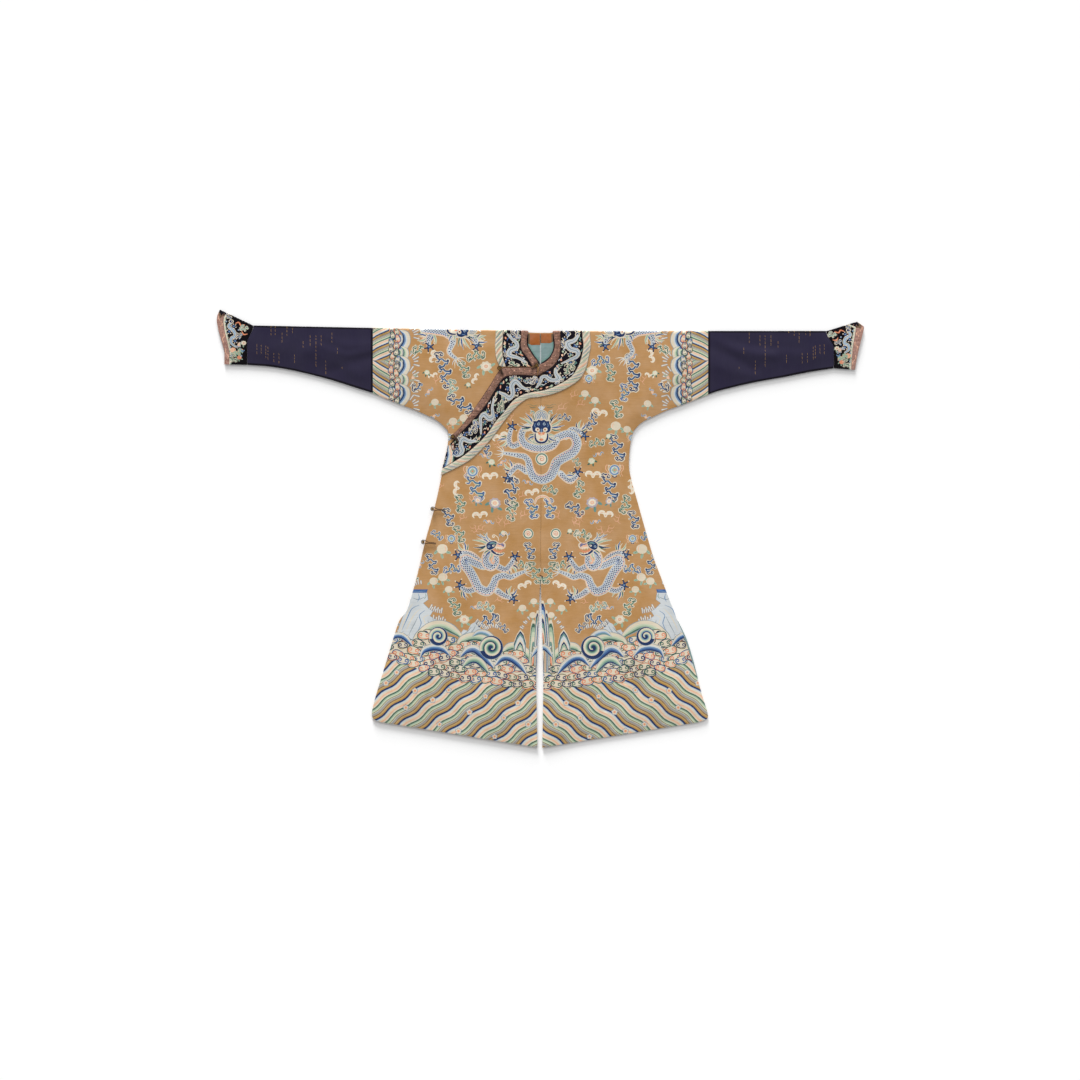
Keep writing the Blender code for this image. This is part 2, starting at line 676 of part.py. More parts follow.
def build_arm(sign, side, sleeve, cuff, ribbon, parent):
    """Dark sleeve, patterned cuff and the ribbon round its mouth."""
    gap = sign * SLANT_GAP
    armhole = lambda share: sign * (ARMHOLE + 0.5 * SEAM_GAP)
    seam_in = lambda share: cuff_seam_x(sign, share) - 0.5 * gap
    seam_out = lambda share: cuff_seam_x(sign, share) + 0.5 * gap
    ribbon_in = lambda share: mouth_x(sign, share, ribbon=True)
    ribbon_out = lambda share: mouth_x(sign, share, ribbon=True) + gap
    mouth = lambda share: mouth_x(sign, share)
    panel(f"sleeve_{side}", arm_piece_outline(sign, armhole, seam_in), sleeve, parent)
    panel(f"cuff_{side}", arm_piece_outline(sign, seam_out, ribbon_in), cuff, parent)
    panel(f"cuff_ribbon_{side}", arm_piece_outline(sign, ribbon_out, mouth), ribbon, parent)


def back_point(edge, turn):
    """Point of a band's edge behind the neck, at a turn from the left fold (0) to the right (1)."""
    angle = math.pi * turn
    c = math.cos(angle)
    half_width = edge.left if turn < 0.5 else edge.right
    x = half_width * math.copysign(abs(c) ** (2.0 / edge.squareness), c)
    down = edge.depth * math.sin(angle) ** (2.0 / edge.squareness)
    return x, back_v(x, fold_start(x) - down)


def toward(start, end, distance):
    """Point at a distance from start on the way to end."""
    share = distance / math.dist(start, end)
    return start[0] + (end[0] - start[0]) * share, start[1] + (end[1] - start[1]) * share


def binding_station(row):
    """Edge and collar side of the brown binding at one station."""
    edge = (row.edge_x, row.edge_y)
    return edge, toward((row.inner_x, row.inner_y), edge, BAND_GAP)


def collar_station(row):
    """Inner and outer edge of the collar at one station."""
    return (row.inner_x, row.inner_y), (row.outer_x, row.outer_y)


def rope_station(row):
    """Inner and outer edge of the rope border at one station."""
    outer = (row.rope_x, row.rope_y)
    return toward((row.outer_x, row.outer_y), outer, BAND_GAP), outer


def left_half(stations, inner, outer):
    """Stations from the centre back over the wearer's left shoulder and on down the front."""
    turns = [CENTRE_BACK] + [0.5 * k / BACK_STEPS for k in range(BACK_STEPS - 1, 0, -1)]
    behind = [(back_point(inner, turn), back_point(outer, turn)) for turn in turns]
    over = [((inner.left, vi), (outer.left, vo))
            for vi, vo in zip(fold_rows(inner.left), fold_rows(outer.left))]
    return behind + over[::-1] + stations


def right_half(stations, inner, outer):
    """Stations up the front, over the wearer's right shoulder and on to the centre back."""
    turns = [0.5 * k / BACK_STEPS for k in range(1, BACK_STEPS)] + [CENTRE_BACK]
    behind = [(back_point(inner, 1.0 - turn), back_point(outer, 1.0 - turn)) for turn in turns]
    over = [((-inner.right, vi), (-outer.right, vo))
            for vi, vo in zip(fold_rows(-inner.right), fold_rows(-outer.right))]
    return stations + over + behind


def build_collar(dark, cream, brown, parent):
    """Collar band, rope border and bindings, each in two halves joined at the centre back."""
    neck_rows = LEFT_ROWS[:CLOSING_ROW + 1]
    for name, station, rows, edges, finish, crown in (
            ("collar", collar_station, LEFT_ROWS, (COLLAR_BACK_INNER, COLLAR_BACK_OUTER), dark, 0.0),
            ("rope_border", rope_station, LEFT_ROWS, (ROPE_BACK_INNER, ROPE_BACK_OUTER), cream, 0.0),
            ("neck_binding", binding_station, neck_rows, (NECK_BACK, BINDING_BACK), brown,
             BINDING_CROWN)):
        left = left_half([station(row) for row in rows], *edges)
        band(f"{name}_left", left, finish, parent, upper_height, crown=crown)
        right = right_half([station(row) for row in RIGHT_ROWS], *edges)
        band(f"{name}_right", right, finish, parent, front_height, crown=crown)
    closing = [binding_station(row) for row in LEFT_ROWS[CLOSING_ROW + 1:LAST_BINDING_ROW + 1]]
    corner = toward(closing[0][1], binding_station(neck_rows[-1])[1], CLOSING_RUN)
    band("closing_binding", [(CLOSING_START, corner)] + closing, brown, parent, upper_height,
         crown=BINDING_CROWN)


def build_neck_inside(orange, teal, parent):
    """Facing and lining of the back, which show inside the neck."""
    inner = lambda x, y: back_height(x, y) + WALL + INSIDE_GAP + LINING_WALL
    top = fold_start(0.0) - FACING_BELOW_FOLD
    for row in INSIDE_ROWS:
        side = "right" if row.sign < 0 else "left"
        seam = row.sign * 0.5 * SEAM_GAP
        mid = row.sign * FACING_MID
        end = row.sign * FACING_HALF
        out = row.sign * LINING_HALF
        low = row.facing_low
        low_end = low + FACING_CLIMB
        facing = [(seam, low), (mid, low), (end, low_end), (end, top), (seam, top)]
        lining = [(seam, row.lining_low), (out, row.lining_low_side), (out, top - LINING_BELOW_FACING),
                  (end, low_end - SEAM_GAP), (mid, low - SEAM_GAP), (seam, low - SEAM_GAP)]
        for name, outline, finish in ((f"neck_facing_{side}", facing, orange),
                                      (f"neck_lining_{side}", lining, teal)):
            flat = outline if row.sign > 0 else outline[::-1]
            panel(name, flat, finish, parent, height=inner, wall=LINING_WALL, folded=False)


def build_side_lining(teal, parent):
    """Sliver of the lining that shows beyond the wearer's left side edge."""
    edge = [p for p in side_edge(1, EDGE_STEP) if SLIVER_LOW < p[1] < SLIVER_TOP]
    count = len(edge) - 1
    bm = bmesh.new()
    lines = []
    for k, (x, y) in enumerate(edge):
        reach = SLIVER_ENDS + SLIVER_BULGE * math.sin(math.pi * k / count)
        near = x + SLIVER_INSET
        pair = (Vector((near, y, SLIVER_LEVEL)), Vector((near + SLIVER_INSET + reach, y, SLIVER_LEVEL)))
        lines.append([bm.verts.new(point * MM) for point in pair])
    for a, b in zip(lines, lines[1:]):
        bm.faces.new((a[0], b[0], b[1], a[1]))
    bmesh.ops.triangulate(bm, faces=bm.faces[:])
    made = add_object("side_lining", bm, teal, parent)
    thicken(made, LINING_WALL)


def tube(bm, path, radius):
    """Closed round tube along a path of points."""
    rings = []
    for k, point in enumerate(path):
        ahead = (path[min(k + 1, len(path) - 1)] - path[max(k - 1, 0)]).normalized()
        across = ahead.cross(Vector((0.0, 0.0, 1.0))).normalized()
        up = across.cross(ahead)
        ring = []
        for s in range(CORD_SIDES):
            angle = 2.0 * math.pi * s / CORD_SIDES
            ring.append(bm.verts.new((point + radius * (across * math.cos(angle)
                                                        + up * math.sin(angle))) * MM))
        rings.append(ring)
    for a, b in zip(rings, rings[1:]):
        for s in range(CORD_SIDES):
            t = (s + 1) % CORD_SIDES
            bm.faces.new((a[s], a[t], b[t], b[s]))
    bm.faces.new(rings[0][::-1])
    bm.faces.new(rings[-1])
    bmesh.ops.recalc_face_normals(bm, faces=bm.faces[:])


def loop_path(row):
    """Centre line of a cord loop: out along one leg, round the knob and back along the other."""
    angle = math.radians(row.loop_angle)
    along = Vector((math.cos(angle), math.sin(angle), 0.0))
    across = Vector((-along.y, along.x, 0.0))
    base = Vector((row.across, row.height, 0.0))
    bight = BUTTON_RADIUS + CORD_RADIUS + BUTTON_CLEAR
    narrow = CORD_RADIUS + 0.5 * CORD_GAP
    legs = {}
    for side in (1, -1):
        leg = []
        for k in range(LEG_POINTS):
            t = k / (LEG_POINTS - 1)
            apart = narrow + (bight - narrow) * smooth((t - BIGHT_BEGINS) / (1.0 - BIGHT_BEGINS))
            leg.append(base + along * row.loop_length * (1.0 - t) + across * side * apart)
        legs[side] = leg
    turns = [math.pi * k / (BIGHT_POINTS + 1) for k in range(1, BIGHT_POINTS + 1)]
    round_knob = [base + bight * (across * math.cos(turn) - along * math.sin(turn)) for turn in turns]
    return legs[1] + round_knob + legs[-1][::-1]


def build_closures(gilt, brown, parent):
    """Five round knobs, each in the bight of its own cord loop."""
    for row in BUTTON_ROWS:
        path = loop_path(row)
        surface = max(upper_height(p.x, p.y) for p in path) + LAYER_GAP + TRIM_WALL + BINDING_CROWN
        for p in path:
            p.z = surface + REST_GAP + CORD_RADIUS
        bm = bmesh.new()
        tube(bm, path, CORD_RADIUS)
        add_object(f"loop_{row.name}", bm, brown, parent)
        bm = bmesh.new()
        bmesh.ops.create_uvsphere(bm, u_segments=14, v_segments=8, radius=BUTTON_RADIUS * MM)
        made = add_object(f"button_{row.name}", bm, gilt, parent)
        made.data.shade_smooth()
        made.location = Vector((row.across, row.height, surface + REST_GAP + BUTTON_RADIUS)) * MM


def main():
    """Build the robe."""
    for thing in list(bpy.data.objects):
        bpy.data.objects.remove(thing, do_unlink=True)
    robe = bpy.data.objects.new("robe", None)
    bpy.context.scene.collection.objects.link(robe)
    silk = material("ochre_tapestry_silk", OCHRE, 0.62)
    navy = material("navy_satin", NAVY_SATIN, 0.42)
    dark = material("dark_tapestry_silk", DARK_GROUND, 0.60)
    cream = material("cream_rope_tapestry", CREAM, 0.62)
    brown = material("brown_binding", BROWN, 0.66)
    pink = material("pink_brown_ribbon", RIBBON_PINK, 0.66)
    orange = material("orange_facing_silk", ORANGE_SILK, 0.50)
    teal = material("teal_lining_silk", TEAL_SILK, 0.45)
    gilt = material("gilt_brass", GILT, 0.32, metallic=1.0)
    build_body(silk, robe)
    for sign, side in ((-1, "right"), (1, "left")):
        build_arm(sign, side, navy, dark, pink, robe)
    build_collar(dark, cream, brown, robe)
    build_neck_inside(orange, teal, robe)
    build_side_lining(teal, robe)
    build_closures(gilt, brown, robe)


main()
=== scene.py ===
"""Chinese dragon robe, laid flat: silk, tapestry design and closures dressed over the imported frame.

The robe lies closed on a table, its back down.  Every panel is described on its flat cut, in
millimetres, as points (x, v): below the shoulder fold v is the height on the front, and past the
fold it runs on down the back.  A tapestry design is drawn on the same cut as coloured shapes, laid
over each other like layers of thread, and is woven into the panel's own mesh, one colour a facet.

Frame: +X runs to the wearer's left sleeve, +Y up to the shoulder fold, +Z up from the table.
"""

import logging
import math
import random
from dataclasses import dataclass, field, replace
from enum import Enum
from typing import Callable, Iterable, Sequence

import bpy
import numpy as np
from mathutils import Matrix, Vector
from mathutils.geometry import delaunay_2d_cdt

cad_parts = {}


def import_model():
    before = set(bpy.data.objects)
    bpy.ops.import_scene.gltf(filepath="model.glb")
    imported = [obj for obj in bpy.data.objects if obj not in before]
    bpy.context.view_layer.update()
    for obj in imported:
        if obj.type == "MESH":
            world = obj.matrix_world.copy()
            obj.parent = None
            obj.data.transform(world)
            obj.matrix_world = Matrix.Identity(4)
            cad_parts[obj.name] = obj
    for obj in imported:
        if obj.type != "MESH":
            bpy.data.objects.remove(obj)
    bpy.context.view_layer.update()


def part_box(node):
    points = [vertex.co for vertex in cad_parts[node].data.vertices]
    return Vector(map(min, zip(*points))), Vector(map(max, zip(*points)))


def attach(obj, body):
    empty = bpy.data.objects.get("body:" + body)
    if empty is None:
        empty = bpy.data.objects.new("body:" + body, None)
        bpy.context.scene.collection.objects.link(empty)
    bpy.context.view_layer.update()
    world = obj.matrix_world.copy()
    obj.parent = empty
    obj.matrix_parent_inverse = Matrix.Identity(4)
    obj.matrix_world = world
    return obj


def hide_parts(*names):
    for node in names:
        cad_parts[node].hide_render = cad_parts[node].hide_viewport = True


LOG = logging.getLogger("dragon_robe")
MM = 0.001
Points = np.ndarray
Height = Callable[[Points, Points], Points]

# Cloth and seams, millimetres
WALL = 1.2
TRIM_WALL = 1.0
LINING_WALL = 0.6
SEAM_GAP = 0.3
SLANT_GAP = 0.9
LAYER_GAP = 0.6
BAND_GAP = 0.45
FOLD_RADIUS = 2.0
FOLD_STEPS = 8
VENT_TOP = -155.0
HEM_MIDDLE = -717.0
HEM_RISE = 0.157
ARMHOLE = 548.0
INNER_EDGE = -45.0
BACK_NECK_DEPTH = 3.0


# ---------------------------------------------------------------- colours and materials

def linear(hex_colour: str) -> tuple[float, float, float, float]:
    """Turn an sRGB hex colour into linear light.

    Args:
        hex_colour: colour written as #rrggbb.

    Returns:
        Red, green, blue and an alpha of 1.
    """
    parts = [int(hex_colour[k:k + 2], 16) / 255.0 for k in (1, 3, 5)]
    light = [c / 12.92 if c <= 0.04045 else ((c + 0.055) / 1.055) ** 2.4 for c in parts]
    return light[0], light[1], light[2], 1.0


class Thread(Enum):
    """Dyed silks of the tapestry, faded as old silk is; some of them also paint shade at seams, folds, edges and
    round the neck.
    """

    GROUND = "#b98e5f"
    # the ground darkened, painted as the shadow in the centre seam
    GROUND_SEAM_SHADE = "#a07a4c"
    CREAM = "#d9cdb6"
    IVORY = "#e3d9c4"
    PALE = "#c9ced0"
    PALE_BLUE = "#a9bcc9"
    MID_BLUE = "#6d8cae"
    BLUE = "#3f5f93"
    NAVY = "#26375f"
    # also painted shade along the sleeve folds and armhole seam, the binding edges and the neck opening
    INK = "#17141d"
    SAGE = "#9db39b"
    TEAL = "#6c9088"
    GREEN = "#486a5c"
    PALE_GREEN = "#c3cdb2"
    OLIVE = "#8a8263"
    CORAL = "#d98a68"
    SALMON = "#e8b596"
    PINK = "#e0a98a"
    LILAC = "#b3a7ad"
    # also painted shade between the rope strands
    TAUPE = "#a99c8c"
    TAN = "#bf9c64"
    BROWN = "#6f5a44"
    GREY = "#8f9aa0"
    RED = "#b4523c"
    GOLD = "#b08a4e"
    BLACK = "#120f13"
    NAVY_SATIN = "#2d293e"
    MAUVE_BROWN = "#8d6a5c"
    RIBBON = "#a98276"
    RUST = "#a4643a"
    AQUA = "#7f9796"
    CORD = "#43342a"


THREADS = list(Thread)
THREAD_LIGHT = np.array([linear(thread.value) for thread in THREADS])


def add_node(tree: bpy.types.NodeTree, kind: str, settings: dict | None = None,
             inputs: dict | None = None) -> bpy.types.Node:
    """Add one shader node with its settings, values and links.

    Args:
        tree: node tree that gets the node.
        kind: type name of the node.
        settings: attributes to set on it.
        inputs: value, or output socket to link, for each input name or index.

    Returns:
        The new node.
    """
    node = tree.nodes.new(kind)
    for name, value in (settings or {}).items():
        setattr(node, name, value)
    for name, value in (inputs or {}).items():
        socket = node.inputs[name]
        if isinstance(value, bpy.types.NodeSocket):
            tree.links.new(value, socket)
        else:
            socket.default_value = value
    return node


def stretched(tree: bpy.types.NodeTree, scale: tuple[float, float, float],
              turn: float = 0.0) -> bpy.types.NodeSocket:
    """Object coordinates in metres, turned and scaled to cells per metre.

    Args:
        tree: node tree to add to.
        scale: cells per metre along each axis.
        turn: angle about Z in radians.

    Returns:
        The scaled vector.
    """
    place = add_node(tree, "ShaderNodeTexCoord")
    inputs = {"Vector": place.outputs["Object"], "Rotation": (0.0, 0.0, turn), "Scale": scale}
    return add_node(tree, "ShaderNodeMapping", None, inputs).outputs[0]


def ranged(tree: bpy.types.NodeTree, value: bpy.types.NodeSocket, low: float, high: float,
           start: float = 0.3, end: float = 0.7) -> bpy.types.NodeSocket:
    """Map a value from start..end to low..high, held at both ends."""
    inputs = {"Value": value, "From Min": start, "From Max": end, "To Min": low, "To Max": high}
    return add_node(tree, "ShaderNodeMapRange", None, inputs).outputs[0]


def multiplied(tree: bpy.types.NodeTree, *values: bpy.types.NodeSocket) -> bpy.types.NodeSocket:
    """Product of several values."""
    total = values[0]
    for value in values[1:]:
        total = add_node(tree, "ShaderNodeMath", {"operation": "MULTIPLY"},
                         {0: total, 1: value}).outputs[0]
    return total


@dataclass(frozen=True)
class Silk:
    """Woven silk whose thread colours come with the mesh.

    The weave is drawn at rib_mm, coarser than the 0.4 mm of the real cloth, so that it shows.
    """

    name: str
    rib_mm: float = 1.3            # across the ribs of the warp
    thread_mm: float = 1.1         # across the weft threads
    bump: float = 0.22
    roughness: float = 0.58
    sheen: float = 0.06
    fade: float = 0.10             # how far the dye has faded in patches
    streak: float = 0.05           # how far one weft thread differs from the next
    patch_mm: float = 70.0
    upright_ribs: bool = True
    specular: float = 0.12
    wrinkle: float = 0.0           # soft crumpling, as bump
    wrinkle_mm: float = 26.0

    def make(self) -> bpy.types.Material:
        """Build the material.

        Returns:
            A material that reads the mesh's thread colours.
        """
        made = bpy.data.materials.new(self.name)
        made.use_nodes = True
        tree = made.node_tree
        shader = tree.nodes["Principled BSDF"]
        thread = add_node(tree, "ShaderNodeAttribute", {"attribute_name": "thread"})
        patches = add_node(tree, "ShaderNodeTexNoise", {"noise_dimensions": "3D"},
                           {"Vector": stretched(tree, (1.0, 1.0, 1.0)), "Scale": 1.0 / (self.patch_mm * MM),
                            "Detail": 4.0, "Roughness": 0.6})
        along = 1.0 / (self.thread_mm * MM)
        flat = (1.0 / (18.0 * MM), along, along) if self.upright_ribs else (along, 1.0 / (18.0 * MM), along)
        weft = add_node(tree, "ShaderNodeTexNoise", {"noise_dimensions": "3D"},
                        {"Vector": stretched(tree, flat), "Scale": 0.5, "Detail": 2.0})
        value = multiplied(tree,
                           ranged(tree, patches.outputs["Fac"], 1.0 - self.fade, 1.0 + 0.5 * self.fade),
                           ranged(tree, weft.outputs["Fac"], 1.0 - self.streak, 1.0 + self.streak))
        shade = add_node(tree, "ShaderNodeHueSaturation", None,
                         {"Color": thread.outputs["Color"], "Value": value,
                          "Saturation": ranged(tree, patches.outputs["Fac"], 1.06, 0.92)})
        tree.links.new(shade.outputs[0], shader.inputs["Base Color"])
        rib = add_node(tree, "ShaderNodeTexWave",
                       {"wave_type": "BANDS", "bands_direction": "X" if self.upright_ribs else "Y"},
                       {"Vector": stretched(tree, (1.0, 1.0, 1.0)),
                        "Scale": 0.314 / (self.rib_mm * MM) / 2.0, "Distortion": 0.6,
                        "Detail": 1.0, "Detail Scale": 1.5})
        relief = add_node(tree, "ShaderNodeMath", {"operation": "ADD"},
                          {0: rib.outputs["Fac"], 1: weft.outputs["Fac"]})
        bump = add_node(tree, "ShaderNodeBump", None,
                        {"Height": relief.outputs[0], "Strength": self.bump, "Distance": 0.4 * MM})
        if self.wrinkle > 0.0:
            folds = add_node(tree, "ShaderNodeTexNoise", {"noise_dimensions": "3D"},
                             {"Vector": stretched(tree, (1.0, 0.55, 1.0), 0.4),
                              "Scale": 1.0 / (self.wrinkle_mm * MM), "Detail": 3.0, "Distortion": 0.8})
            soft = add_node(tree, "ShaderNodeBump", None,
                            {"Height": folds.outputs["Fac"], "Strength": self.wrinkle,
                             "Distance": 6.0 * MM})
            tree.links.new(soft.outputs[0], bump.inputs["Normal"])
        tree.links.new(bump.outputs[0], shader.inputs["Normal"])
        tree.links.new(ranged(tree, weft.outputs["Fac"], self.roughness + 0.08, self.roughness - 0.08),
                       shader.inputs["Roughness"])
        shader.inputs["Sheen Weight"].default_value = self.sheen
        shader.inputs["Sheen Roughness"].default_value = 0.45
        shader.inputs["Specular IOR Level"].default_value = self.specular
        return made


@dataclass(frozen=True)
class GiltBrass:
    """Cast and gilt brass, tarnished in random patches."""

    bright: str = "#b8965a"
    dull: str = "#6d5330"

    def make(self) -> bpy.types.Material:
        """Build the material.

        Returns:
            A metal whose colour and roughness wander with its tarnish.
        """
        made = bpy.data.materials.new("gilt_brass")
        made.use_nodes = True
        tree = made.node_tree
        shader = tree.nodes["Principled BSDF"]
        tarnish = add_node(tree, "ShaderNodeTexNoise", None,
                           {"Vector": stretched(tree, (1.0, 1.0, 1.0)), "Scale": 420.0, "Detail": 5.0})
        mixed = add_node(tree, "ShaderNodeMix", {"data_type": "RGBA"},
                         {"Factor": ranged(tree, tarnish.outputs["Fac"], 0.0, 1.0),
                          "A": linear(self.bright), "B": linear(self.dull)})
        tree.links.new(mixed.outputs["Result"], shader.inputs["Base Color"])
        tree.links.new(ranged(tree, tarnish.outputs["Fac"], 0.22, 0.48), shader.inputs["Roughness"])
        shader.inputs["Metallic"].default_value = 1.0
        return made


class Finishes:
    """Every finish of the robe, made once."""

    def __init__(self) -> None:
        """Make the materials."""
        self.kesi = Silk("silk_tapestry_weave").make()
        self.satin = Silk("dark_silk_satin", rib_mm=1.6, bump=0.05, roughness=0.44, sheen=0.0,
                          fade=0.06, streak=0.05, specular=0.14, upright_ribs=False, wrinkle=0.10,
                          wrinkle_mm=60.0).make()
        self.dark = Silk("dark_ground_silk_tapestry", sheen=0.0, specular=0.08, streak=0.08).make()
        self.rope = Silk("cream_silk_tapestry_border", fade=0.05, streak=0.07).make()
        self.binding = Silk("brown_brocade_binding", rib_mm=2.2, thread_mm=1.8, bump=0.5, fade=0.26,
                            streak=0.28, patch_mm=14.0, roughness=0.66, wrinkle=0.5,
                            wrinkle_mm=13.0).make()
        self.ribbon = Silk("figured_silk_ribbon", rib_mm=2.0, thread_mm=1.6, bump=0.35, fade=0.20,
                           streak=0.22, patch_mm=9.0, roughness=0.60).make()
        self.facing = Silk("orange_silk_facing", bump=0.08, fade=0.16, streak=0.05, patch_mm=34.0,
                           roughness=0.48, wrinkle=0.22, wrinkle_mm=38.0).make()
        self.lining = Silk("teal_satin_lining", bump=0.05, fade=0.16, streak=0.08, patch_mm=26.0,
                           roughness=0.36, specular=0.5, wrinkle=0.35, wrinkle_mm=30.0).make()
        self.cord = Silk("twisted_silk_cord", rib_mm=1.6, thread_mm=1.2, bump=0.5, fade=0.15,
                         streak=0.2, patch_mm=6.0).make()
        self.gilt = GiltBrass().make()


# ---------------------------------------------------------------- curves on the flat cut

def smooth(t: Points) -> Points:
    """Ease from 0 to 1 as t runs from 0 to 1."""
    t = np.clip(t, 0.0, 1.0)
    return t * t * (3.0 - 2.0 * t)


def curve(points: Sequence, step: float) -> Points:
    """Catmull-Rom curve through points, with a vertex about every step.

    Args:
        points: the points it passes through, with any number of columns.
        step: spacing of its vertices over the first two columns.

    Returns:
        An array of vertices, both ends included.
    """
    given = np.asarray(points, float)
    last = len(given) - 1
    found = []
    for k in range(last):
        a, b, c, d = given[max(k - 1, 0)], given[k], given[k + 1], given[min(k + 2, last)]
        count = max(1, round(float(np.hypot(*(c - b)[:2])) / step))
        t = (np.arange(count) / count)[:, None]
        found.append(0.5 * (2.0 * b + (c - a) * t + (2.0 * a - 5.0 * b + 4.0 * c - d) * t * t
                            + (3.0 * b - a - 3.0 * c + d) * t * t * t))
    return np.vstack(found + [given[-1:]])


def straight(start: Sequence[float], end: Sequence[float], step: float) -> Points:
    """Vertices of a straight edge, both ends included."""
    count = max(1, round(math.dist(start, end) / step))
    return np.linspace(start, end, count + 1)


def spiral(centre: Sequence[float], outer: float, inner: float, start: float, turns: float,
           step: float = 3.0) -> Points:
    """Spiral wound inwards.

    Args:
        centre: its eye.
        outer: radius at its start.
        inner: radius at its end.
        start: angle of its start in degrees.
        turns: turns made, anticlockwise if positive.
        step: spacing of its vertices.

    Returns:
        An array of vertices.
    """
    count = max(6, round(math.pi * abs(turns) * (outer + inner) / step))
    t = np.linspace(0.0, 1.0, count + 1)
    radius = outer + (inner - outer) * t
    angle = math.radians(start) + 2.0 * math.pi * turns * t
    return np.column_stack((centre[0] + radius * np.cos(angle), centre[1] + radius * np.sin(angle)))


def sides_of(path: Points) -> Points:
    """Unit normals to the left of a path at each of its vertices."""
    run = np.gradient(path, axis=0)
    run /= np.maximum(np.hypot(run[:, 0], run[:, 1]), 1e-9)[:, None]
    return np.column_stack((-run[:, 1], run[:, 0]))


def profile(count: int, widths: float | Sequence[float]) -> Points:
    """Widths spread evenly along a path of count vertices."""
    given = np.atleast_1d(np.asarray(widths, float))
    return np.interp(np.linspace(0.0, 1.0, count), np.linspace(0.0, 1.0, len(given)), given)


def inside(points: Points, ring: Points) -> Points:
    """Whether each point lies within a ring, by winding number.

    Args:
        points: array of points.
        ring: vertices of the ring, not closed.

    Returns:
        An array of truth values.
    """
    wound = np.zeros(len(points), int)
    px, py = points[:, 0], points[:, 1]
    after = np.roll(ring, -1, axis=0)
    for (ax, ay), (bx, by) in zip(ring, after):
        if ay == by:
            continue
        side = (bx - ax) * (py - ay) - (px - ax) * (by - ay)
        wound += ((ay <= py) & (by > py) & (side > 0)).astype(int)
        wound -= ((ay > py) & (by <= py) & (side < 0)).astype(int)
    return wound != 0


def distance_to_path(points: Points, path: Points) -> Points:
    """Shortest distance from each point to a polyline.

    Args:
        points: array of points.
        path: vertices of the polyline.

    Returns:
        An array of distances.
    """
    best = np.full(len(points), np.inf)
    for a, b in zip(path, path[1:]):
        run = b - a
        length_2 = max(float(run @ run), 1e-12)
        t = np.clip(((points - a) @ run) / length_2, 0.0, 1.0)
        off = points - a - t[:, None] * run
        best = np.minimum(best, off[:, 0] ** 2 + off[:, 1] ** 2)
    return np.sqrt(best)


# ---------------------------------------------------------------- how the cloth lies

FOLD_LINE = np.array([(-1048.5, 716.0), (-939.0, 664.0), (-548.0, 656.0), (0.0, 644.5),
                      (548.0, 646.0), (937.0, 646.0), (1035.5, 677.0)])
SIDE_RIGHT = np.array([   # height, half-width of the wearer's right side from armpit to hem corner
    (322, 304), (304, 300), (264, 305), (206, 318), (164, 325), (73, 345), (-44, 377), (-108, 392),
    (-168, 407), (-227, 423), (-270, 438), (-301, 461), (-350, 478), (-412, 497), (-491, 521),
    (-554, 540), (-602, 551), (-622, 546), (-633, 520)], float)
SIDE_LEFT = np.array([
    (322, 306), (304, 299), (264, 292), (206, 289), (164, 296), (73, 321), (-44, 354), (-108, 374),
    (-168, 397), (-227, 419), (-270, 436), (-301, 447), (-350, 468), (-412, 488), (-491, 513),
    (-554, 531), (-602, 546), (-622, 544), (-633, 516)], float)
UNDERARM = np.array([     # distance out, height of the lower edge on the right and on the left
    (318, 337, 336), (338, 353, 351), (371, 370, 367), (414, 389, 387), (459, 406, 403),
    (548, 443, 438), (590, 456, 452), (695, 489, 477), (800, 515, 496), (881, 529, 512),
    (959, 535, 524), (1043, 537, 518)], float)
VENT = np.array([(-155, 0.15, 0.15), (-300, 7, 5), (-495, 15, 10), (-712, 10, 6)], float)
NECK = np.array([         # height, edge of the neck hole on the right and on the left
    (538, 4, -4), (546, 11, 16), (560, 20, 32), (578, 32, 42), (598, 44, 46), (622, 43, 44)], float)
NECK_AT_FOLD = 40.0
NECK_CUT_MARGIN = 2.0


@dataclass(frozen=True)
class Crease:
    """Soft ridge (height above 0) or trough (below 0) along a bent line."""

    start: tuple[float, float]
    middle: tuple[float, float]
    end: tuple[float, float]
    half_width: float
    height: float


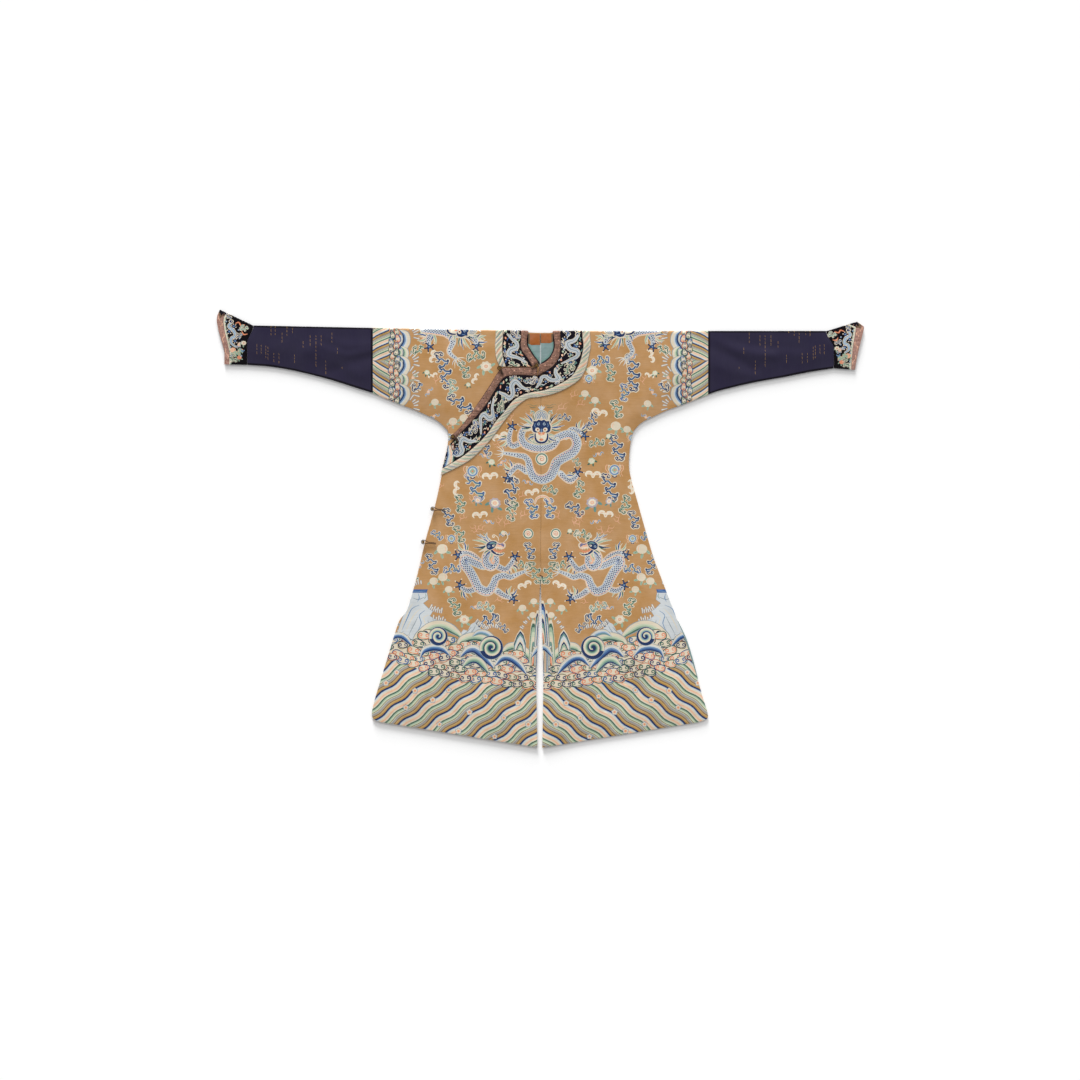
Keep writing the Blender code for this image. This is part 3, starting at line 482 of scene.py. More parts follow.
CREASES = [               # pressed and handled into the front
    Crease((-290, 200), (-262, 80), (-200, -60), 52, 1.2),
    Crease((300, 330), (262, 180), (190, 10), 56, 1.3),
    Crease((-240, -120), (-300, -330), (-400, -560), 58, 1.8),
    Crease((230, -150), (320, -350), (380, -580), 60, 1.9),
    Crease((-120, -330), (-128, -500), (-150, -650), 44, 1.2),
    Crease((110, -300), (126, -480), (160, -640), 46, 1.3),
    Crease((-330, 390), (-390, 470), (-470, 560), 42, 1.1),
    Crease((330, 380), (400, 480), (460, 560), 42, 1.1),
    Crease((-60, 430), (-150, 330), (-196, 190), 30, -0.7),
    Crease((140, 500), (208, 420), (236, 300), 34, 0.9),
    Crease((-196, -40), (-216, -190), (-262, -330), 26, -0.8),
    Crease((-330, -400), (-420, -520), (-448, -640), 34, 1.1),
    Crease((-60, -420), (-66, -560), (-58, -690), 30, 0.9),
    Crease((60, -380), (52, -540), (72, -690), 28, 1.0),
    Crease((300, -420), (400, -500), (450, -630), 34, 1.2),
    Crease((230, -400), (250, -520), (300, -650), 24, -0.8),
    Crease((-230, -420), (-250, -560), (-262, -660), 24, -0.7),
    Crease((60, 140), (20, 20), (30, -120), 34, 0.7),
    Crease((210, 250), (150, 200), (60, 190), 22, -0.6),
    Crease((-300, 480), (-250, 530), (-190, 600), 24, 0.8),
    Crease((560, 640), (640, 585), (760, 566), 17, 2.5),
    Crease((556, 596), (630, 560), (700, 520), 16, -1.7),
    Crease((556, 540), (620, 512), (690, 494), 20, 1.2),
    Crease((620, 622), (720, 600), (850, 590), 14, -1.5),
    Crease((720, 640), (800, 590), (900, 560), 26, 1.1),
    Crease((-556, 604), (-640, 600), (-720, 640), 16, 2.4),
    Crease((-556, 580), (-630, 566), (-730, 600), 13, 1.9),
    Crease((-560, 560), (-650, 530), (-700, 500), 20, -1.6),
    Crease((-590, 500), (-680, 556), (-760, 580), 20, 1.3),
    Crease((-700, 640), (-760, 600), (-800, 530), 24, 1.0),
    Crease((-820, 620), (-860, 590), (-920, 570), 26, 0.9),
    Crease((930, 640), (970, 600), (1010, 560), 18, 0.8),
    Crease((-930, 650), (-980, 610), (-1010, 560), 18, 0.8),
]
BACK_CREASES = [          # and into the back, which lies on the table
    Crease((-260, 300), (-230, 60), (-300, -200), 46, 0.9),
    Crease((240, 320), (250, 40), (290, -220), 48, 0.9),
    Crease((-60, 200), (-70, 0), (-40, -260), 36, 0.6),
    Crease((120, 260), (100, 40), (130, -260), 30, 0.6),
    Crease((-330, -260), (-400, -430), (-440, -600), 44, 0.9),
    Crease((330, -260), (390, -430), (430, -600), 44, 0.9),
    Crease((-160, -300), (-180, -480), (-190, -640), 36, 0.8),
    Crease((180, -300), (190, -470), (230, -640), 34, 0.8),
    Crease((-600, 600), (-680, 560), (-780, 540), 26, 0.8),
    Crease((600, 600), (690, 560), (790, 540), 26, 0.8),
]


class Level(Enum):
    """Which layer of the robe a piece belongs to."""

    LENGTH = "the length under the outer front, sleeves and cuffs"
    UPPER = "the left length, rising to the outer front"
    OUTER = "the outer front"
    INSIDE = "the inner face of the back"


@dataclass(frozen=True)
class Lie:
    """Heights of the laid robe over the table, in millimetres."""

    neck_lift: float = 1.6
    lift_radius: float = 230.0
    lift_run_out: float = 100.0
    rim_drop: float = -1.1
    puff: float = 1.2
    rim_width: float = 90.0
    overlap_step: float = 1.9
    step_width: float = 150.0
    step_top: float = 640.0
    step_run_out: float = 100.0
    rim_step: float = 42.0

    def fold_start(self, x: Points) -> Points:
        """Height on the front at which the cloth begins to turn over the shoulder."""
        return np.interp(x, FOLD_LINE[:, 0], FOLD_LINE[:, 1]) - FOLD_RADIUS

    def back_v(self, x: Points, y: Points) -> Points:
        """Distance along the cloth, past the fold, of a height y on the back."""
        return 2.0 * self.fold_start(x) + math.pi * FOLD_RADIUS - y

    def relief(self, x: Points, y: Points, creases: list[Crease]) -> Points:
        """Height of the soft creases.

        Args:
            x: across, millimetres.
            y: height on the laid robe.
            creases: the ridges and troughs that lie there.

        Returns:
            Their sum at each point.
        """
        total = np.zeros(len(x))
        points = np.column_stack((x, y))
        for crease in creases:
            path = curve([crease.start, crease.middle, crease.end], 60.0)
            reach = 2.6 * crease.half_width
            low = path.min(axis=0) - reach
            high = path.max(axis=0) + reach
            near = np.flatnonzero(np.all((points > low) & (points < high), axis=1))
            if len(near):
                away = distance_to_path(points[near], path) / crease.half_width
                total[near] += crease.height * np.exp(-away * away)
        return total

    def rim(self, sign: int) -> Points:
        """Every edge at which front and back lie on each other, on one side."""
        cut = Cut(self)
        return np.vstack((cut.underarm(sign, 1043.0, 318.0, self.rim_step),
                          cut.side(sign, self.rim_step), cut.hem(sign, self.rim_step),
                          cut.vent(sign, self.rim_step)))

    def back(self, x: Points, y: Points) -> Points:
        """Outer (lower) face of the back."""
        radius = np.hypot(x, y - 644.5)
        return self.neck_lift * smooth((self.lift_radius + self.lift_run_out - radius) / self.lift_run_out)

    def back_relief(self, x: Points, y: Points) -> Points:
        """How far creases lift the back off the table."""
        return self.relief(x, y, BACK_CREASES) * smooth((self.fold_start(x) - y) / self.rim_width)

    def front(self, x: Points, y: Points) -> Points:
        """Outer (upper) face of the front where it lies straight on the back.

        Args:
            x: across, millimetres.
            y: height on the laid robe.

        Returns:
            Heights over the table.
        """
        points = np.column_stack((x, y))
        away = np.empty(len(x))
        for sign in (-1, 1):
            own = (x < 0) if sign < 0 else (x >= 0)
            if own.any():
                away[own] = distance_to_path(points[own], RIMS[sign])
        edge = smooth(away / self.rim_width)
        rise = self.rim_drop + (self.puff - self.rim_drop) * edge
        rise += self.relief(x, y, CREASES) * smooth(away / (0.4 * self.rim_width))
        below = smooth((self.fold_start(x) - y) / self.rim_width)
        return self.back(x, y) + 2.0 * FOLD_RADIUS + rise * below

    def height(self, level: Level, x: Points, y: Points) -> Points:
        """Outer face of a layer.

        Args:
            level: the layer.
            x: across, millimetres.
            y: height on the laid robe.

        Returns:
            Heights over the table.
        """
        if level is Level.INSIDE:
            return self.back(x, y) + WALL + 0.3 + LINING_WALL
        base = self.front(x, y)
        if level is Level.LENGTH:
            return base
        if level is Level.OUTER:
            return base + self.overlap_step
        across = smooth((self.step_width - x) / self.step_width)
        return base + self.overlap_step * across * smooth((self.step_top - y) / self.step_run_out)

    def place(self, level: Level, cut: Points, out: Points | float, crease_back: bool = True) -> Points:
        """Lay points of a flat cut on the table.

        Args:
            level: the layer the piece belongs to.
            cut: points (x, v) of the flat cut.
            out: how far each stands out from the layer's outer face.
            crease_back: whether the back's creases lift it.

        Returns:
            Points in space, millimetres.
        """
        x, v = cut[:, 0], cut[:, 1]
        out = np.broadcast_to(np.asarray(out, float), x.shape)
        start = self.fold_start(x)
        past = v - start
        z = np.empty(len(x))
        y = v.copy()
        front = past <= 0.0
        if front.any():
            z[front] = self.height(level, x[front], v[front]) + out[front]
        turn = (past > 0.0) & (past < math.pi * FOLD_RADIUS)
        angle = past / FOLD_RADIUS
        low = self.back(x, start)
        radius = FOLD_RADIUS + out
        y[turn] = (start + radius * np.sin(angle))[turn]
        z[turn] = (low + FOLD_RADIUS + radius * np.cos(angle))[turn]
        behind = past >= math.pi * FOLD_RADIUS
        if behind.any():
            y[behind] = (start - (past - math.pi * FOLD_RADIUS))[behind]
            rest = self.back(x[behind], y[behind]) - out[behind]
            if crease_back:
                rest = rest + self.back_relief(x[behind], y[behind])
            z[behind] = rest
        return np.column_stack((x, y, z))


@dataclass(frozen=True)
class Cut:
    """Edges and outlines of the robe's flat cut."""

    lie: Lie
    step: float = 9.0

    def underarm(self, sign: int, out_from: float, out_to: float, step: float) -> Points:
        """Lower sleeve edge from out_from in to out_to."""
        heights = UNDERARM[:, 1 if sign < 0 else 2]
        outs = [out_from] + [o for o in UNDERARM[::-1, 0] if out_to < o < out_from] + [out_to]
        return curve([(sign * o, np.interp(o, UNDERARM[:, 0], heights)) for o in outs], step)

    def side(self, sign: int, step: float) -> Points:
        """Side of the body from the armpit to the corner of the hem."""
        rows = SIDE_RIGHT if sign < 0 else SIDE_LEFT
        return curve(np.column_stack((sign * rows[:, 1], rows[:, 0])), step)

    def hem(self, sign: int, step: float) -> Points:
        """Hem from its rounded corner in to the centre vent."""
        corner = (SIDE_RIGHT if sign < 0 else SIDE_LEFT)[-1]
        vent = VENT[-1, 1 if sign < 0 else 2]
        return straight((sign * corner[1], corner[0]), (sign * vent, HEM_MIDDLE + HEM_RISE * vent), step)

    def vent(self, sign: int, step: float) -> Points:
        """Edge of the centre vent, from the hem up to its top."""
        rows = VENT[::-1]
        points = np.column_stack((sign * rows[:, 1 if sign < 0 else 2], rows[:, 0]))
        return np.vstack([straight(a, b, step)[:-1] for a, b in zip(points, points[1:])] + [points[-1:]])

    def fold_rows(self, x: float, steps: int = FOLD_STEPS) -> Points:
        """Points that bend the cloth over the shoulder at one x."""
        start = float(self.lie.fold_start(np.array([x]))[0])
        return np.column_stack((np.full(steps + 1, x),
                                start + math.pi * FOLD_RADIUS * np.arange(steps + 1) / steps))

    def behind(self, edge: Points) -> Points:
        """The same edge on the back, in the other direction."""
        return np.column_stack((edge[:, 0], self.lie.back_v(edge[:, 0], edge[:, 1])))[::-1]

    def neck(self, sign: int) -> Points:
        """Neck edge of a length, from its lowest point up over the fold to the back neck."""
        margin = NECK_CUT_MARGIN
        side = NECK[:, 1 if sign < 0 else 2]
        front = curve(np.column_stack((sign * (side + margin), NECK[:, 0] - 0.6 * margin)), 6.0)
        top = sign * (NECK_AT_FOLD + margin)
        rows = self.fold_rows(top)
        return np.vstack((front, rows, [(top, rows[-1, 1] + BACK_NECK_DEPTH)]))

    def length(self, sign: int, centre_front: Points) -> Points:
        """Flat cut of one length of silk.

        Args:
            sign: -1 for the wearer's right, +1 for the left.
            centre_front: its front edge from hem to neck.

        Returns:
            Its outline, anticlockwise.
        """
        seam = ARMHOLE - 0.5 * SEAM_GAP
        front_rim = np.vstack((self.underarm(sign, seam, 318.0, self.step)[:-1],
                               self.side(sign, self.step), self.hem(sign, self.step)[1:]))
        centre = sign * 0.5 * SEAM_GAP
        start = float(self.lie.fold_start(np.array([centre]))[0])
        neck_v = start + math.pi * FOLD_RADIUS + BACK_NECK_DEPTH
        vent_v = float(self.lie.back_v(np.array([centre]), np.array([VENT_TOP]))[0])
        back_rim = self.behind(np.vstack((front_rim, self.vent(sign, self.step)[1:])))
        low = np.interp(seam, UNDERARM[:, 0], UNDERARM[:, 1 if sign < 0 else 2])
        x = sign * seam
        rows = self.fold_rows(x)
        back_low = float(self.lie.back_v(np.array([x]), np.array([low]))[0])
        armhole = np.vstack((straight((x, back_low), rows[-1], self.step), rows[-2:0:-1],
                             straight(rows[0], (x, low), self.step)))
        outline = np.vstack((centre_front, self.neck(sign), straight((centre, neck_v), (centre, vent_v),
                                                                    self.step),
                             back_rim, armhole, front_rim))
        return cleaned(outline)

    def left_length(self) -> Points:
        """Wearer's left length."""
        seam = straight((0.5 * SEAM_GAP, VENT_TOP), (0.5 * SEAM_GAP, 536.0), self.step)
        return self.length(1, np.vstack((self.vent(1, self.step)[:-1], seam)))

    def right_length(self) -> Points:
        """Wearer's right length, whose front lies under the outer front."""
        hem = (INNER_EDGE, HEM_MIDDLE - HEM_RISE * INNER_EDGE)
        free = np.vstack((straight(hem, (INNER_EDGE, 470.0), self.step), [(-12.0, 505.0)]))
        outline = self.length(-1, free)
        return outline[(outline[:, 0] <= INNER_EDGE) | (outline[:, 1] > 470.0)][::-1]

    def outer_front(self) -> Points:
        """Outer front: closing edge, side, hem, vent and centre seam."""
        edge = np.vstack(([(-11.0, 525.0)], LEFT_ROWS[7:15, :2])) + (1.0, -1.5)
        side = self.side(-1, self.step)
        seam = straight((-0.5 * SEAM_GAP, VENT_TOP), (-0.5 * SEAM_GAP, 536.0), self.step)
        return cleaned(np.vstack((curve(edge, self.step), side[side[:, 1] < 285.0],
                                  self.hem(-1, self.step)[1:], self.vent(-1, self.step)[1:-1], seam)))

    def arm_height(self, sign: int, x: Points, share: Points) -> Points:
        """Height at a share of the way from the lower sleeve edge up to the fold."""
        low = np.interp(np.abs(x), UNDERARM[:, 0], UNDERARM[:, 1 if sign < 0 else 2])
        return low + (self.lie.fold_start(x) - low) * share

    def arm_edge(self, sign: int, across: Callable[[Points], Points], steps: int = 22) -> Points:
        """Edge across the arm given by across(share), run over the fold from front to back."""
        share = np.linspace(0.0, 1.0, steps + 1)
        x = across(share)
        front = np.column_stack((x, self.arm_height(sign, x, share)))
        return np.vstack((front[:-1], self.fold_rows(float(x[-1])), self.behind(front)[1:]))

    def arm_piece(self, sign: int, near: Callable[[Points], Points],
                  far: Callable[[Points], Points]) -> Points:
        """Flat cut of a sleeve piece between two edges across the arm.

        Args:
            sign: -1 for the wearer's right, +1 for the left.
            near: x of its inner edge at each share of the arm's width.
            far: x of its outer edge.

        Returns:
            Its outline.
        """
        start = self.arm_edge(sign, near)
        end = self.arm_edge(sign, far)
        lower = self.underarm(sign, abs(end[0, 0]), abs(start[0, 0]), self.step)[::-1]
        outline = np.vstack((lower[:-1], end, self.behind(lower)[1:-1], start[::-1]))
        return cleaned(outline if sign > 0 else outline[::-1])


def cleaned(outline: Points) -> Points:
    """An outline without vertices that lie on each other."""
    apart = np.hypot(*(outline - np.roll(outline, 1, axis=0)).T) > 0.05
    return outline[apart]


# ---------------------------------------------------------------- drawing with threads

@dataclass
class Sketch:
    """Coloured shapes in painter's order: a later shape lies over an earlier one."""

    shapes: list[tuple[Points, Thread]] = field(default_factory=list)

    def fill(self, ring: Sequence, thread: Thread) -> None:
        """Add a filled ring."""
        self.shapes.append((np.asarray(ring, float), thread))

    def stroke(self, path: Sequence, widths: float | Sequence[float], thread: Thread,
               shift: float = 0.0) -> None:
        """Add a stroke with round ends.

        Args:
            path: vertices of its middle line.
            widths: one width, or several spread along it.
            thread: its colour.
            shift: how far it lies to the left of the path.
        """
        path = np.asarray(path, float)
        half = 0.5 * profile(len(path), widths)[:, None]
        normal = sides_of(path)
        path = path + shift * normal
        ends = []
        for at, facing in ((-1, 1.0), (0, -1.0)):
            ahead = facing * np.array((normal[at, 1], -normal[at, 0]))
            side = facing * normal[at]
            ends.append([path[at] + half[at] * (side * math.cos(a) + ahead * math.sin(a))
                         for a in (math.pi / 4.0, math.pi / 2.0, 3.0 * math.pi / 4.0)])
        self.fill(np.vstack((path + half * normal, ends[0], (path - half * normal)[::-1], ends[1])), thread)

    def line(self, points: Sequence, widths: float | Sequence[float], thread: Thread,
             step: float = 4.0, shift: float = 0.0) -> None:
        """Add a stroke along the smooth curve through points."""
        self.stroke(curve(points, step), widths, thread, shift)

    def shaded(self, path: Points, width: float | Sequence[float], threads: Sequence[Thread]) -> None:
        """Add bands of thread side by side along a path, from its left side to its right.

        Args:
            path: vertices of its middle line.
            width: full width, or several spread along it.
            threads: one colour for each band.
        """
        full = profile(len(path), width)[:, None]
        normal = sides_of(path)
        count = len(threads)
        for k, thread in enumerate(threads):
            near = path + normal * full * (0.5 - k / count)
            self.fill(np.vstack((near, (path - normal * full * 0.5)[::-1])), thread)

    def oval(self, centre: Sequence[float], width: float, height: float, thread: Thread,
             turn: float = 0.0, sides: int = 12, scallop: float = 0.0, lobes: int = 8) -> None:
        """Add an oval, its edge scalloped if wished.

        Args:
            centre: its middle.
            width: its full width.
            height: its full height.
            thread: its colour.
            turn: angle in degrees.
            sides: how many vertices it has.
            scallop: depth of the scallops as a share of its radius.
            lobes: how many scallops.
        """
        a = np.linspace(0.0, 2.0 * math.pi, sides, endpoint=False)
        r = 1.0 + scallop * np.cos(lobes * a)
        x, y = 0.5 * width * r * np.cos(a), 0.5 * height * r * np.sin(a)
        c, s = math.cos(math.radians(turn)), math.sin(math.radians(turn))
        self.fill(np.column_stack((centre[0] + c * x - s * y, centre[1] + s * x + c * y)), thread)

    def put(self, other: "Sketch", at: Sequence[float] = (0.0, 0.0), turn: float = 0.0,
            size: float = 1.0, flip: bool = False) -> None:
        """Add another sketch, moved.

        Args:
            other: the sketch.
            at: where its origin goes.
            turn: angle in degrees.
            size: scale.
            flip: whether it is mirrored left to right first.
        """
        c, s = size * math.cos(math.radians(turn)), size * math.sin(math.radians(turn))
        for ring, thread in other.shapes:
            x = -ring[:, 0] if flip else ring[:, 0]
            y = ring[:, 1]
            self.shapes.append((np.column_stack((at[0] + c * x - s * y, at[1] + s * x + c * y)), thread))

    def up_to_fold(self, lie: Lie) -> "Sketch":
        """The sketch cut off where the cloth turns over the shoulder."""
        kept = []
        for ring, thread in self.shapes:
            last = lie.fold_start(ring[:, 0]) + 0.5 * math.pi * FOLD_RADIUS
            cut = np.column_stack((ring[:, 0], np.minimum(ring[:, 1], last)))
            if np.any(ring[:, 1] < last):
                kept.append((cut, thread))
        return Sketch(kept)

    def behind(self, lie: Lie) -> "Sketch":
        """The sketch as drawn on the laid back, moved to the flat cut."""
        return Sketch([(np.column_stack((ring[:, 0], lie.back_v(ring[:, 0], ring[:, 1]))), thread)
                       for ring, thread in self.up_to_fold(lie).shapes])

    def slimmed(self, tolerance: float, smallest: float = 0.0) -> "Sketch":
        """The sketch with fewer vertices.

        Args:
            tolerance: how far a vertex may stand off the line past it and still be dropped.
            smallest: shapes less than this across are left out.

        Returns:
            A lighter sketch.
        """
        kept = []
        for ring, thread in self.shapes:
            if smallest and min(np.ptp(ring, axis=0)) < smallest:
                continue
            for turn in range(4):
                if len(ring) < 6:
                    break
                before = np.roll(ring, 1, axis=0)
                run = np.roll(ring, -1, axis=0) - before
                off = run[:, 0] * (ring - before)[:, 1] - run[:, 1] * (ring - before)[:, 0]
                flat = np.abs(off) < tolerance * np.maximum(np.hypot(run[:, 0], run[:, 1]), 1e-6)
                ring = ring[~(flat & (np.arange(len(ring)) % 2 == turn % 2))]
            kept.append((ring, thread))
        return Sketch(kept)


# ---------------------------------------------------------------- cloth

@dataclass
class Cloth:
    """One cut piece: a closed shell of cloth with its design woven into its outer face.

    The piece is described in its own plane.  lay turns points of that plane into points (x, v) of
    the robe's flat cut, and out says how far the outer face stands from the layer below.
    """

    name: str
    outline: Points
    level: Level
    ground: Thread
    finish: bpy.types.Material
    wall: float = WALL
    grid: float = 13.0
    folded: bool = True
    sketch: Sketch = field(default_factory=Sketch)
    lay: Callable[[Points], Points] | None = None
    out: Callable[[Points], Points] | None = None
    under_grid: float = 34.0
    edge_round: float = 0.45

    def on_cut(self, plane: Points) -> Points:
        """Points of the flat cut for points of the piece's own plane."""
        return plane if self.lay is None else self.lay(plane)

    def grid_points(self, ring: Points, grid: float) -> Points:
        """Points spread evenly within a ring, clear of its edge.

        Args:
            ring: the edge.
            grid: their spacing.

        Returns:
            An array of points.
        """
        low, high = ring.min(axis=0), ring.max(axis=0)
        rows = np.arange(math.floor(low[1] / (0.87 * grid)), math.ceil(high[1] / (0.87 * grid)) + 1)
        columns = np.arange(math.floor(low[0] / grid), math.ceil(high[0] / grid) + 1)
        x, y = np.meshgrid(columns * grid, rows * 0.87 * grid)
        x = x + 0.5 * grid * (rows % 2)[:, None]
        points = np.column_stack((x.ravel(), y.ravel()))
        points = points[inside(points, ring)]
        if self.folded:
            start = LIE.fold_start(points[:, 0])
            gap = 0.5 * grid
            keep = (points[:, 1] < start - gap) | (points[:, 1] > start + math.pi * FOLD_RADIUS + gap)
            points = points[keep]
            xs = np.arange(low[0] + 0.5 * grid, high[0], grid)
            turned = np.vstack([CUT.fold_rows(float(x)) for x in xs])
            points = np.vstack((points, turned[inside(turned, ring)]))
        closed = np.vstack((ring, ring[:1]))
        return points[distance_to_path(points, closed) > 0.3 * min(grid, 11.0)]

    def triangles(self, ring: Points, points: Points, edges: Points) -> tuple[Points, Points]:
        """Triangulate the piece with given edges in it.

        Args:
            ring: its outline.
            points: vertices, those of the outline first.
            edges: pairs of vertices.

        Returns:
            Vertices and triangles.
        """
        found, _, faces, *_ = delaunay_2d_cdt([Vector(p) for p in points], edges.tolist(), [], 0, 1e-3, False)
        vertices = np.array([tuple(p) for p in found])
        triangles = np.array(faces, int)
        return vertices, triangles[inside(vertices[triangles].mean(axis=1), ring)]

    def drawn(self, ring: Points) -> tuple[Points, Points, Points]:
        """Triangulate the outer face with every edge of its design that shows.

        Args:
            ring: its outline.

        Returns:
            Vertices, triangles and the thread of each triangle.
        """
        loops = [ring, *(shape for shape, _ in self.sketch.shapes)]
        starts = np.cumsum([0] + [len(loop) for loop in loops])
        edges = np.vstack([np.column_stack((start + np.arange(len(loop)), start + np.roll(np.arange(len(loop)), -1)))
                           for start, loop in zip(starts, loops)])
        vertices, faces = self.triangles(ring, np.vstack(loops), edges)
        colour = self.paint(vertices[faces].mean(axis=1))
        sides = np.sort(np.vstack((faces[:, :2], faces[:, 1:], faces[:, ::2])), axis=1)
        owner = np.tile(colour, 3)
        order = np.lexsort((sides[:, 1], sides[:, 0]))
        sides, owner = sides[order], owner[order]
        paired = np.all(sides[1:] == sides[:-1], axis=1)
        shows = sides[:-1][paired & (owner[1:] != owner[:-1])]
        used, shows = np.unique(shows, return_inverse=True)
        shows = shows.reshape(-1, 2) + len(ring)
        k = np.arange(len(ring))
        edges = np.vstack((np.column_stack((k, np.roll(k, -1))), shows))
        points = np.vstack((ring, vertices[used], self.grid_points(ring, self.grid)))
        vertices, faces = self.triangles(ring, points, edges)
        return vertices, faces, self.paint(vertices[faces].mean(axis=1))

    def paint(self, middle: Points) -> Points:
        """Index of the thread that lies uppermost at each point.

        Args:
            middle: middles of the triangles.

        Returns:
            An array of indices into THREADS.
        """
        colour = np.full(len(middle), THREADS.index(self.ground))
        order = np.argsort(middle[:, 0])
        sorted_x = middle[order, 0]
        for ring, thread in self.sketch.shapes:
            low, high = ring.min(axis=0), ring.max(axis=0)
            first, last = np.searchsorted(sorted_x, (low[0], high[0]))
            near = order[first:last]
            near = near[(middle[near, 1] >= low[1]) & (middle[near, 1] <= high[1])]
            if len(near):
                colour[near[inside(middle[near], ring)]] = THREADS.index(thread)
        return colour

    def build(self) -> bpy.types.Object:
        """Make the piece.

        Returns:
            Its mesh object, dressed.
        """
        low, high = self.outline.min(axis=0) - 2.0, self.outline.max(axis=0) + 2.0
        self.sketch.shapes = [(ring, thread) for ring, thread in self.sketch.shapes
                              if np.all(ring.max(axis=0) > low) and np.all(ring.min(axis=0) < high)]
        top, faces, colour = self.drawn(self.outline)
        used, faces = np.unique(faces, return_inverse=True)
        top = top[used]
        faces = faces.reshape(-1, 3)
        rim = boundary(faces)
        ring = top[rim]
        k = np.arange(len(ring))
        under, under_faces = self.triangles(ring, np.vstack((ring, self.grid_points(ring, self.under_grid))),
                                            np.column_stack((k, np.roll(k, -1))))
        near = {(round(x, 4), round(y, 4)): k for k, (x, y) in enumerate(under)}
        under_rim = np.array([near.get((round(x, 4), round(y, 4)), -1) for x, y in ring])
        lost = np.flatnonzero(under_rim < 0)
        for k in lost:
            under_rim[k] = int(np.argmin(((under - ring[k]) ** 2).sum(axis=1)))
        out_top = np.zeros(len(top)) if self.out is None else self.out(top)
        closed = np.vstack((self.outline, self.outline[:1]))
        edge = np.exp(-distance_to_path(top, closed) / 1.6) * self.edge_round
        out_under = (np.zeros(len(under)) if self.out is None else self.out(under)) - self.wall
        lift = LIE.place(self.level, self.on_cut(top), out_top - edge)
        sunk = LIE.place(self.level, self.on_cut(under), out_under)
        vertices = np.vstack((lift, sunk)) * MM
        offset = len(top)
        after = np.roll(rim, -1)
        under_after = np.roll(under_rim, -1) + offset
        under_rim = under_rim + offset
        walls = np.vstack((np.column_stack((after, rim, under_rim)),
                           np.column_stack((after, under_rim, under_after))))
        everything = np.vstack((faces, under_faces[:, ::-1] + offset, walls))
        plain = np.full(len(everything) - len(faces), THREADS.index(self.ground))
        made = mesh_object(self.name, vertices, everything, np.concatenate((colour, plain)), self.finish)
        self.map_cut(made, np.vstack((top, under)), len(faces), everything)
        return made

    def map_cut(self, made: bpy.types.Object, plane: Points, outer: int, faces: Points) -> None:
        """Give the piece a map in which its outer face lies as it was cut.

        Args:
            made: the piece.
            plane: each vertex in the piece's own plane.
            outer: how many of its faces are the outer face.
            faces: all its faces.
        """
        low, high = plane.min(axis=0), plane.max(axis=0)
        scale = 0.94 / max(high - low)
        spread = (plane - low) * scale
        corner = spread[faces.ravel()]
        corner[3 * outer:] = corner[3 * outer:] * 0.05 + (0.945, 0.945)
        layer = made.data.uv_layers.new(name="OFBake")
        layer.uv.foreach_set("vector", corner.astype(np.float32).ravel())


def boundary(faces: Points) -> Points:
    """Vertices of the outer edge of a triangulated sheet, in order.

    Args:
        faces: its triangles.

    Returns:
        An array of vertex indices.
    """
    pairs = set(map(tuple, np.vstack((faces[:, (0, 1)], faces[:, (1, 2)], faces[:, (2, 0)])).tolist()))
    follow = {}
    for a, b in sorted(pairs):
        if (b, a) not in pairs:
            follow.setdefault(a, []).append(b)
    best = []
    while follow:
        loop = [min(follow)]
        while follow.get(loop[-1]):
            loop.append(follow[loop[-1]].pop())
        follow = {a: ends for a, ends in follow.items() if ends}
        best = max(best, loop[:-1], key=len)
    return np.array(best)


def mesh_object(name: str, vertices: Points, faces: Points, colour: Points,
                finish: bpy.types.Material) -> bpy.types.Object:
    """Make a mesh object whose faces carry thread colours.

    Args:
        name: its name.
        vertices: in metres.
        faces: triangles or quads, as rows of vertex indices.
        colour: index of each face's thread.
        finish: its material.

    Returns:
        The object, linked to the scene.
    """
    mesh = bpy.data.meshes.new(name)
    mesh.from_pydata(vertices.tolist(), [], faces.tolist())
    attribute = mesh.color_attributes.new("thread", "FLOAT_COLOR", "CORNER")
    corners = np.repeat(THREAD_LIGHT[colour], faces.shape[1], axis=0)
    attribute.data.foreach_set("color", corners.astype(np.float32).ravel())
    mesh.shade_smooth()
    mesh.set_sharp_from_angle(angle=math.radians(50.0))
    mesh.materials.append(finish)
    made = bpy.data.objects.new(name, mesh)
    bpy.context.scene.collection.objects.link(made)
    return made


# ---------------------------------------------------------------- small motifs

class Dye(Enum):
    """A dark thread and the lighter one laid inside it."""

    BLUE = (Thread.NAVY, Thread.MID_BLUE)
    GREEN = (Thread.GREEN, Thread.SAGE)
    TEAL = (Thread.BLUE, Thread.TEAL)
    PALE = (Thread.TEAL, Thread.PALE_GREEN)


def mirrored(points: Sequence) -> Points:
    """Points mirrored left to right."""
    return np.asarray(points, float) * (-1.0, 1.0)


